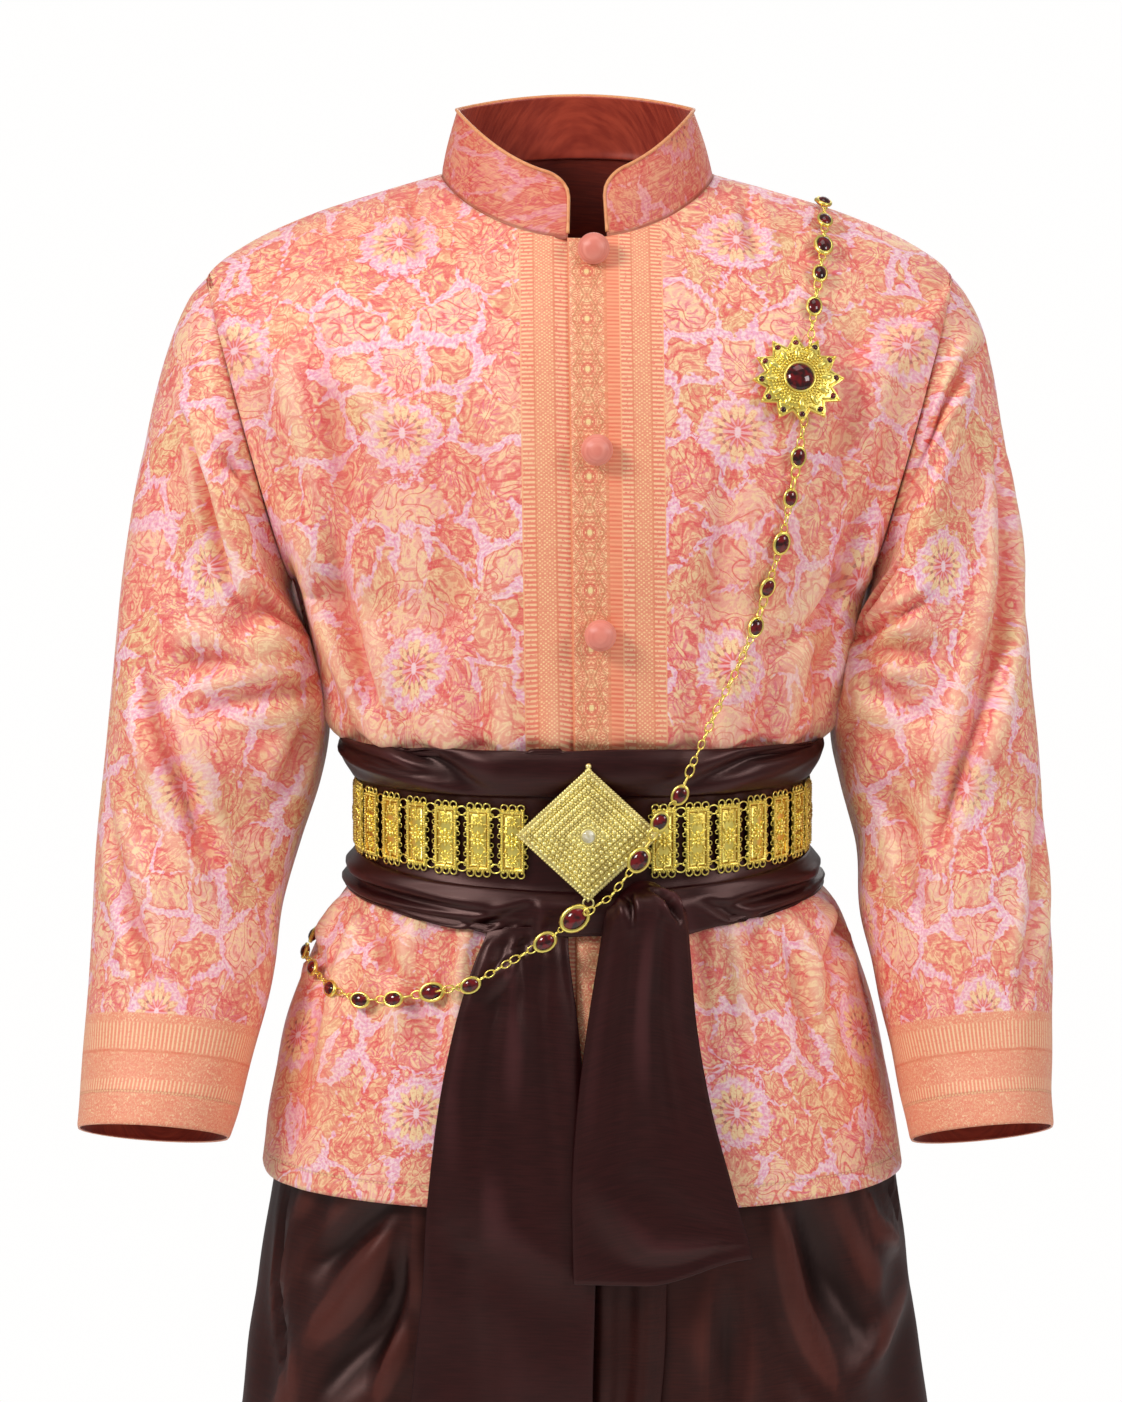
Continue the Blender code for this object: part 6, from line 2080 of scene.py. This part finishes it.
def smallGrain(name, radius, scale=(1, 1, 1)):
    bpy.ops.object.select_all(action="DESELECT")
    bpy.ops.mesh.primitive_ico_sphere_add(subdivisions=1, radius=radius)
    bpy.context.object.scale = scale
    bpy.ops.object.shade_smooth()
    return lastShape(name)


def smallRing(name, radius, wire, scale=(1, 1, 1), faces=(12, 5), facing="Y"):
    bpy.ops.object.select_all(action="DESELECT")
    turned = (math.pi / 2, 0, 0) if facing == "Y" else (0, 0, 0)
    bpy.ops.mesh.primitive_torus_add(
        major_radius=radius,
        minor_radius=wire,
        major_segments=faces[0],
        minor_segments=faces[1],
        rotation=turned,
    )
    piece = lastShape(name)
    piece.scale = scale
    bpy.ops.object.shade_smooth()
    return lastShape(name)


def placeAt(place, scale=1.0, turn=None):
    spot = Matrix.Translation(Vector(place))
    if turn is not None:
        spot = spot @ turn.to_4x4()
    return spot @ Matrix.Scale(scale, 4)


def turnedInFace(angle):
    return Matrix.Rotation(angle, 3, "Y")


def copyMany(template, spots):
    made = []
    for spot in spots:
        mesh = template.data.copy()
        mesh.transform(spot)
        made.append(addObject(template.name, mesh))
    return made


def joinPieces(name, pieces):
    bpy.ops.object.select_all(action="DESELECT")
    for piece in pieces:
        piece.select_set(True)
    bpy.context.view_layer.objects.active = pieces[0]
    bpy.ops.object.join()
    whole = bpy.context.object
    whole.name = name
    whole.data.name = name
    return whole


def dropTemplates(*pieces):
    for piece in pieces:
        bpy.data.objects.remove(piece, do_unlink=True)


def enterEdit(piece):
    onlySelect(piece)
    bpy.ops.object.mode_set(mode="EDIT")
    bpy.ops.mesh.select_all(action="SELECT")


def inset(*steps):
    for thickness, depth in steps:
        bpy.ops.mesh.inset(thickness=thickness, depth=depth)


def extrudeBack(distance):
    bpy.ops.mesh.extrude_region_move(TRANSFORM_OT_translate={"value": (0, -distance, 0)})


def facesTowards(piece, way, least=0.9):
    enterEdit(piece)
    bpy.ops.mesh.select_mode(type="FACE")
    bpy.ops.mesh.select_all(action="DESELECT")
    shape = bmesh.from_edit_mesh(piece.data)
    for face in shape.faces:
        face.select = face.normal.dot(Vector(way)) > least
    bmesh.update_edit_mesh(piece.data)


def leaveEdit():
    bpy.ops.mesh.select_all(action="SELECT")
    bpy.ops.mesh.normals_make_consistent(inside=False)
    bpy.ops.object.mode_set(mode="OBJECT")


def bevelled(piece, width, segments=2, angle=0.6):
    onlySelect(piece)
    rounding = piece.modifiers.new("Rounding", "BEVEL")
    rounding.width = width
    rounding.segments = segments
    rounding.limit_method = "ANGLE"
    rounding.angle_limit = angle
    useModifiers(piece)
    bpy.ops.object.shade_smooth_by_angle(angle=0.6)


# Belt of openwork panels

beltDress = {
    "width": 0.015,
    "height": 0.0375,
    "depth": 0.002,
    "grain": 0.00068,
    "grainStep": 0.0015,
    "linkRadius": 0.0027,
    "linkWire": 0.00048,
    "linkHeight": 0.0172,
    "rim": 0.0009,
    "bevel": 0.00035,
    "insets": ((0.0018, 0), (0.0003, -0.0009), (0.0012, 0), (0.0004, 0.0004)),
}


def makePanelTemplate():
    wide, tall, deep = beltDress["width"], beltDress["height"], beltDress["depth"]
    right, top, front, rim, step = wide / 2, tall / 2, -deep / 2, beltDress["rim"], beltDress["grainStep"]
    bpy.ops.object.select_all(action="DESELECT")
    bpy.ops.mesh.primitive_cube_add(size=1)
    bpy.context.object.scale = (wide, deep, tall)
    plate = lastShape("panelPlate")
    facesTowards(plate, (0, -1, 0))
    inset(*beltDress["insets"])
    leaveEdit()
    bevelled(plate, beltDress["bevel"], 1)
    grain = smallGrain("grain", beltDress["grain"])
    ball = smallBall("bead", 0.0012, (1, 0.7, 1), (7, 4))
    petal = smallBall("petal", 0.0013, (0.95, 0.95, 1.75), (6, 4))
    drop = smallBall("drop", 0.001, (0.85, 0.8, 1.9), (6, 4))
    scroll = smallRing("scroll", 0.0019, 0.00045, (1, 1, 1), (10, 4))
    grains, leaves, balls, curls, drops = [], [], [(0, front - 0.0002, 0, 1.35)], [], []
    for side in (-1, 1):
        count = int(tall / step) - 1
        for i in range(count + 1):
            grains.append((side * (right - rim), front, -top + rim + (tall - 2 * rim) * i / count, 1.0))
        count = int(wide / step) - 1
        for i in range(1, count):
            grains.append((-right + rim + (wide - 2 * rim) * i / count, front, side * (top - rim), 1.0))
        grains += [((i - 2) * 0.0029, 0.0, side * (top + 0.0004), 1.45) for i in range(5)]
        curls += [(side * (right + 0.0007), 0.0002, (i - 2.5) * 0.006, 0.7) for i in range(6)]
        curls += [((i - 1) * 0.0052, 0.0002, side * (top + 0.0016), 1.15) for i in range(3)]
        for up in (-1, 1):
            curls.append((side * 0.0046, front + 0.0001, up * 0.0084, 0.75))
            drops.append(((side * 0.0043, front + 0.0002, up * 0.0052), 0.8, turnedInFace(up * side * 0.7)))
            balls += [(side * (right + 0.0001), 0.0, up * z, 1.15) for z in (0.006, 0.013)]
            balls.append((side * 0.0046, front, up * 0.0158, 0.6))
        drops.append(((0, front, side * 0.0165), 0.8, None))
    for i in range(8):
        angle = i * math.pi / 4
        for reach, z, scale in ((0.0034, 0.0, 1.0), (0.0024, -0.0118, 0.66), (0.0024, 0.0118, 0.66)):
            place = (reach * math.sin(angle), front + 0.0001, z + reach * math.cos(angle))
            leaves.append((place, scale, turnedInFace(angle)))
    pieces = [plate]
    for shape, places in ((grain, grains), (ball, balls), (scroll, curls)):
        pieces += copyMany(shape, [placeAt(place[:3], place[3]) for place in places])
    for shape, places in ((petal, leaves), (drop, drops)):
        pieces += copyMany(shape, [placeAt(*place) for place in places])
    dropTemplates(grain, ball, petal, drop, scroll)
    return joinPieces("panelTemplate", pieces)


def panelPlaces():
    middles = []
    for number in range(1, 35):
        low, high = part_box("belt_panel_%02d" % number)
        middles.append((Vector(low) + Vector(high)) / 2)
    found = []
    for i, middle in enumerate(middles):
        behind = middles[i - 1] if i else middle
        ahead = middles[i + 1] if i + 1 < len(middles) else middle
        way = (ahead - behind).normalized()
        out = way.cross(Vector((0, 0, 1))).normalized()
        if out.dot(Vector((middle.x, middle.y, 0))) < 0:
            out = -out
        found.append((middle, out))
    return found


def facingOut(out, up=Vector((0, 0, 1))):
    back = -out.normalized()
    right = back.cross(up).normalized()
    over = right.cross(back)
    return Matrix((right, back, over)).transposed()


def makeBelt():
    template = makePanelTemplate()
    places = panelPlaces()
    for number, (middle, out) in enumerate(places, 1):
        panel = copyMany(template, [placeAt(middle, 1.0, facingOut(out))])[0]
        panel.name = "beltPanel%02d" % number
        finished(panel, "gold", "gold", "belt_panel_%02d" % number)
    ring = smallRing("beltLink", beltDress["linkRadius"], beltDress["linkWire"], (1.25, 1, 1), (14, 6))
    spots = []
    for (first, outFirst), (second, outSecond) in zip(places, places[1:]):
        if (second - first).length > 0.04:
            continue
        middle, out = (first + second) / 2, (outFirst + outSecond) / 2
        for up in (-1, 1):
            spot = middle + Vector((0, 0, up * beltDress["linkHeight"])) + out * 0.0002
            spots.append(placeAt(spot, 1.0, facingOut(out)))
    links = joinPieces("beltLinks", copyMany(ring, spots))
    dropTemplates(template, ring)
    finished(links, "gold", "gold")


# Buckle

buckleDress = {
    "centre": (0.005, -0.3925),
    "back": -0.119,
    "half": (0.043, 0.04),
    "base": 0.003,
    "rise": 0.00104,
    "outer": 0.985,
    "corner": 0.0035,
    "ropes": ((0.985, 0.0006, 1.0, 0.9), (0.82, -0.0009, 0.8, -0.9)),
    "rows": (0.9, 0.74, 0.58, 0.42, 0.27),
    "bead": 0.00165,
    "beadStep": 0.003604,
    "ropeStep": 0.0019,
}


def diamondSpots(size, step, y):
    x0, z0 = buckleDress["centre"]
    wide, tall = buckleDress["half"]
    corners = [(wide * size, 0), (0, tall * size), (-wide * size, 0), (0, -tall * size)]
    found = []
    for (ax, az), (bx, bz) in zip(corners, corners[1:] + corners[:1]):
        length = math.hypot(bx - ax, bz - az)
        count = max(2, round(length / step))
        for i in range(count):
            share = i / count
            angle = -math.atan2(bz - az, bx - ax)
            found.append(((x0 + ax + (bx - ax) * share, y, z0 + az + (bz - az) * share), angle))
    return found


def makeBuckle():
    x0, z0 = buckleDress["centre"]
    wide, tall = buckleDress["half"]
    rows, rise, outer = buckleDress["rows"], buckleDress["rise"], buckleDress["outer"]
    surface = buckleDress["back"] - buckleDress["base"]
    flatDisc(4, 1, (x0, buckleDress["back"], z0))
    bpy.context.object.scale = (wide * outer, tall * outer, 1)
    plate = lastShape("bucklePlate")
    enterEdit(plate)
    bpy.ops.mesh.bevel(affect="VERTICES", offset=buckleDress["corner"], segments=3)
    bpy.ops.mesh.select_all(action="SELECT")
    extrudeBack(buckleDress["base"])
    size, low = 1.0, surface
    for edge in rows:
        for wanted, drop in ((edge + 0.055, 0.0), (edge + 0.03, rise)):
            extrudeBack(drop)
            low -= drop
            share = wanted / size
            bpy.ops.transform.resize(value=(share, 1, share), center_override=(x0, low, z0))
            size = wanted
    leaveEdit()
    bevelled(plate, 0.0004, 2, 0.4)
    bead = smallBall("bead", buckleDress["bead"], (1, 1, 1), (7, 5))
    rope = smallGrain("rope", 0.001, (1.0, 0.9, 2.0))
    pieces = [plate]
    for size, lift, scale, twist in buckleDress["ropes"]:
        for place, angle in diamondSpots(size, buckleDress["ropeStep"], surface + lift):
            pieces += copyMany(rope, [placeAt(place, scale, turnedInFace(angle + twist))])
    for number, size in enumerate(rows, 1):
        for inner, scale in ((0.0, 1.0), (0.078, 0.5)):
            y = surface - number * rise - 0.0002
            beads = diamondSpots(size - inner, buckleDress["beadStep"] * scale, y)
            pieces += copyMany(bead, [placeAt(place, scale) for place, _ in beads])
    top = surface - len(rows) * rise
    ring = smallRing("gemSeat", 0.0042, 0.0008, (1, 1, 1), (28, 8))
    pieces += copyMany(ring, [placeAt((x0, top - 0.0002, z0))])
    for i in range(16):
        across, up = 0.006 * math.cos(i * math.pi / 8), 0.006 * math.sin(i * math.pi / 8)
        pieces += copyMany(bead, [placeAt((x0 + across, top, z0 + up), 0.55)])
    ball = smallBall("finial", 0.0019, (1, 1, 1), (14, 8))
    neck = smallRing("finialNeck", 0.0016, 0.0006, (1, 1, 1), (14, 6), "Z")
    y = buckleDress["back"] - 0.0016
    pieces += copyMany(ball, [placeAt((x0, y, z0 + tall + 0.0016))])
    pieces += copyMany(neck, [placeAt((x0, y, z0 + tall - 0.0006))])
    loop = smallRing("loop", 0.0032, 0.0007, (1, 1, 1), (18, 6))
    pieces += copyMany(loop, [placeAt((x0, y, z0 - tall - 0.0018))])
    stone = smallBall("stone", 0.004, (1, 0.6, 1), (28, 14))
    gem = copyMany(stone, [placeAt((x0, top - 0.0003, z0))])[0]
    gem.name = "buckleStone"
    dropTemplates(bead, rope, ring, ball, neck, loop, stone)
    whole = joinPieces("beltBuckle", pieces)
    finished(whole, "paleGold", "pale_gold", "belt_buckle")
    finished(gem, "clearStone", "pale_gold")


makeBelt()
makeBuckle()
print("belt and buckle are made")


# Brooch

broochDress = {
    "place": (0.1384, -0.1205),
    "radius": 0.0284,
    "valley": 0.0208,
    "points": 12,
    "depth": 0.0024,
    "stone": 0.0088,
    "grainRings": (
        (0.011, 36, 0.0029),
        (0.0128, 42, 0.0025),
        (0.0146, 46, 0.0021),
        (0.0164, 52, 0.0016),
        (0.019, 60, 0.0009),
    ),
    "pointStones": 0.0226,
    "drops": 0.016,
    "tips": 0.0269,
    "valleyGrains": (0.0208, 0.019),
}


def seatAt(x, z):
    down = np.linspace(0.02, 0.6, 400)
    heights = torso(turnOf(x, down), down)[..., 2]
    best = float(np.interp(-z, -heights, down))
    turn = np.array([turnOf(x, best)])
    spot = jacket(turn, np.array([best]))[0]
    return Vector(spot), Vector(outward(torso, turn, np.array([best]))[0])


def makeBrooch():
    spot, out = seatAt(*broochDress["place"])
    size, valley, points = broochDress["radius"], broochDress["valley"], broochDress["points"]
    turns, downs = np.meshgrid(np.linspace(0.1, 1, 160), np.linspace(0, 0.6, 160))
    near = jacket(turns, downs) - np.array(spot)
    heights = (near @ np.array(out))[np.linalg.norm(near, axis=-1) < size]
    seat = float(heights.max()) + seamGap
    flatDisc(points * 2, size, (0, -seat, 0))
    disc = lastShape("broochDisc")
    for vert in disc.data.vertices:
        angle = math.atan2(vert.co.z, vert.co.x)
        if round(angle / (math.pi / points)) % 2:
            vert.co.x *= valley / size
            vert.co.z *= valley / size
    enterEdit(disc)
    extrudeBack(broochDress["depth"])
    inset((0.0014, 0), (0.0006, 0.0008), (0.0078, 0.0016))
    leaveEdit()
    bevelled(disc, 0.0004, 2, 0.5)
    grain = smallGrain("grain", 0.00085)
    drop = smallBall("drop", 0.0013, (0.9, 0.7, 1.9))
    stone = smallBall("stone", 0.0016, (1, 0.7, 1), (10, 6))
    collet = smallRing("collet", 0.0018, 0.0005, (1, 1, 1), (14, 5))
    big = smallBall("bigStone", broochDress["stone"], (1, 0.52, 1), (32, 16))
    seatRing = smallRing("seatRing", broochDress["stone"] + 0.0003, 0.0009, (1, 1, 1), (40, 8))
    face = -seat - broochDress["depth"]
    grains, drops, stones, collets = [], [], [], []

    def onRing(ring, angle, lift=0.0, scale=1.0, turn=None):
        return placeAt((ring * math.cos(angle), face - lift, ring * math.sin(angle)), scale, turn)

    for ring, count, lift in broochDress["grainRings"]:
        grains += [onRing(ring, i * 2 * math.pi / count, lift) for i in range(count)]
    for i in range(points):
        angle = i * 2 * math.pi / points
        stones.append(onRing(broochDress["pointStones"], angle, 0.0004, 1.2))
        collets.append(onRing(broochDress["pointStones"], angle, 0.0001, 1.2))
        drops.append(onRing(broochDress["drops"], angle, 0.0019, 1.7, turnedInFace(math.pi / 2 - angle)))
        grains.append(onRing(broochDress["tips"], angle, 0.0, 1.3))
        for side in (-1, 1):
            for ring, turn in zip(broochDress["valleyGrains"], (0.12, 0.17)):
                grains.append(onRing(ring, angle + side * turn))
    goldParts = [disc] + copyMany(grain, grains) + copyMany(drop, drops) + copyMany(collet, collets)
    goldParts += copyMany(seatRing, [placeAt((0, face - 0.003, 0))])
    gems = copyMany(stone, stones) + copyMany(big, [placeAt((0, face - 0.0026, 0))])
    dropTemplates(grain, drop, stone, collet, big, seatRing)
    whole = joinPieces("sunBrooch", goldParts)
    jewels = joinPieces("broochStones", gems)
    turned = placeAt(spot, 1.0, facingOut(out))
    for piece, kind in ((whole, "gold"), (jewels, "garnet")):
        piece.data.transform(turned)
        dress(piece, kind)
    settle(whole, "gold", "brooch")
    settle(jewels, "gold")


makeBrooch()
print("brooch is made")


# Chain of garnets: place in millimetres, the way it faces, and the size of a stone that sits there

chainStones = {
    "chain_shoulder": [
        (150.6, 39.7, -23.2, 35, 39, 85, 1),
        (150.8, 21, -17, 33, 10, 93, 1),
        (150.3, -8.8, -15.9, 30, -25, 92, 1),
        (149.7, -32.6, -26.3, 29, -50, 82, 1),
        (147.9, -52.6, -40.8, 28, -64, 71, 1.2),
        (145, -69.4, -57.2, 27, -74, 61, 0.95),
        (140.9, -84.3, -76.3, 27, -83, 50, 1),
        (137.6, -101, -99.5, 26, -90, 35, 0),
    ],
    "chain_front": [
        (134.5, -109.8, -140.5, 29, -96, 0, 0),
        (130.7, -109.9, -165.2, 31, -95, -5, 1),
        (126.1, -110.1, -189.8, 33, -94, -7, 0.9),
        (121, -108.8, -217.2, 36, -92, -16, 1.1),
        (112.9, -105.2, -244.4, 39, -86, -32, 1),
        (106, -103.5, -268.4, 44, -90, 3, 1),
        (94.3, -110.3, -293.7, 23, -97, -5, 0),
        (83.9, -110, -314.7, 25, -95, -15, 0),
        (74, -121.5, -335, 0, -100, 0, 0),
        (67.3, -122.5, -350, 0, -100, 0, 0),
        (60, -122.5, -368, 0, -100, 0, 1),
        (48, -129, -383.2, 0, -100, 0, 1),
        (35.4, -134.5, -405.8, 0, -100, 0, 1.25),
        (18, -137, -428, 0, -100, 0, 0),
        (9.5, -135, -433.5, 0, -100, 0, 0),
    ],
    "chain_waist": [
        (8, -137, -435, 0, -100, 0, 0),
        (-3.1, -132, -441.8, 0, -100, 0, 1.5),
        (-21.1, -130, -456.4, 0, -100, 0, 1.15),
        (-42.1, -129.5, -468.6, 0, -100, 0, 0),
        (-66.2, -129, -483, 0, -100, 0, 1),
        (-90.1, -103.1, -492.2, -18, -97, 17, 1.2),
        (-113.8, -98, -497.6, -39, -90, 20, 1),
        (-134.6, -90, -499.6, -39, -90, 19, 1),
        (-153.6, -70.6, -496, -81, -49, 32, 1),
        (-165.9, -41.5, -488.4, -87, -35, 35, 1),
        (-171.8, -13, -483, -94, -10, 35, 1),
    ],
    "chain_back": [
        (-168.1, 17.7, -478.3, -92, 12, 38, 1),
        (-150.5, 55.8, -470.3, -77, 52, 37, 1),
        (-123.6, 77.2, -458.3, -57, 73, 38, 1),
        (-94, 108, -440, 0, 100, 0, 0),
        (-70, 119, -415, 0, 100, 0, 1),
        (-48, 122, -390, 0, 100, 0, 1),
        (-26, 119, -364, 0, 100, 0, 1),
        (-6, 114, -338, 0, 100, 0, 0),
        (12.9, 106.5, -312.8, 19, 97, -17, 1),
        (30.4, 109.7, -284.7, 8, 99, -15, 1),
        (47.7, 111.2, -256.6, 17, 98, -14, 1),
        (63.8, 113.6, -228.7, 17, 97, -15, 1),
        (79.8, 114.3, -200.5, 19, 98, -10, 1),
        (93.9, 113.8, -172.3, 20, 98, -6, 1),
        (107, 112, -144, 21, 98, 0, 1),
        (119, 108.3, -116.6, 22, 97, 9, 1),
        (129.9, 100.4, -89.5, 21, 92, 34, 1),
        (140.3, 86, -64.1, 30, 85, 43, 1),
        (147.5, 66.9, -41.1, 33, 68, 65, 1),
    ],
}
chainDress = {"stone": 0.0048, "bezel": 0.00115, "link": 0.0027, "wire": 0.00058, "pitch": 0.0062}


def alongChain(out, way):
    out = out.normalized()
    up = (way - out * way.dot(out)).normalized()
    return facingOut(out, up)


def makeChain(name, node, templates):
    stone, bezel, flat, edge = templates
    rows = chainStones[node]
    spots = [Vector(row[:3]) / 1000 for row in rows]
    outs = [Vector(row[3:6]) for row in rows]
    goldParts, gems = [], []
    radius = chainDress["stone"] + chainDress["bezel"]
    for i, (spot, out, row) in enumerate(zip(spots, outs, rows)):
        way = spots[min(i + 1, len(spots) - 1)] - spots[max(i - 1, 0)]
        turned = alongChain(out, way)
        if row[6]:
            gems += copyMany(stone, [placeAt(spot, row[6], turned)])
            goldParts += copyMany(bezel, [placeAt(spot, row[6], turned)])
        if i + 1 == len(spots):
            continue
        ahead = spots[i + 1] - spot
        start = radius * row[6] * 0.85
        room = ahead.length - start - radius * rows[i + 1][6] * 0.85
        count = max(1, round(room / chainDress["pitch"]))
        for k in range(count):
            share = (start + room * (k + 0.5) / count) / ahead.length
            shape = flat if k % 2 == 0 else edge
            middle = spot + ahead * share
            facing = outs[i] * (1 - share) + outs[i + 1] * share
            stretch = room / count / chainDress["pitch"]
            spotHere = placeAt(middle, max(stretch, 0.55), alongChain(facing, ahead))
            goldParts += copyMany(shape, [spotHere])
    if gems:
        jewels = joinPieces(name + "Stones", gems)
        finished(jewels, "garnet", "gold")
    whole = joinPieces(name, goldParts)
    finished(whole, "gold", "gold", node)


def makeChains():
    size = chainDress["stone"]
    stone = smallBall("stone", size, (0.88, 0.62, 1.18), (14, 8))
    seat = smallRing("seat", size + 0.0001, chainDress["bezel"], (0.88, 1.1, 1.18), (18, 6))
    flat = smallRing("flatLink", chainDress["link"], chainDress["wire"], (0.8, 1, 1.3))
    edge = smallRing("edgeLink", chainDress["link"], chainDress["wire"], (0.8, 1, 1.3))
    edge.data.transform(Matrix.Rotation(math.pi / 2, 4, "Z"))
    for name, node in zip(("shoulderChain", "breastChain", "waistChain", "backChain"), chainStones):
        makeChain(name, node, (stone, seat, flat, edge))
    dropTemplates(stone, seat, flat, edge)


makeChains()
print("chain is made")
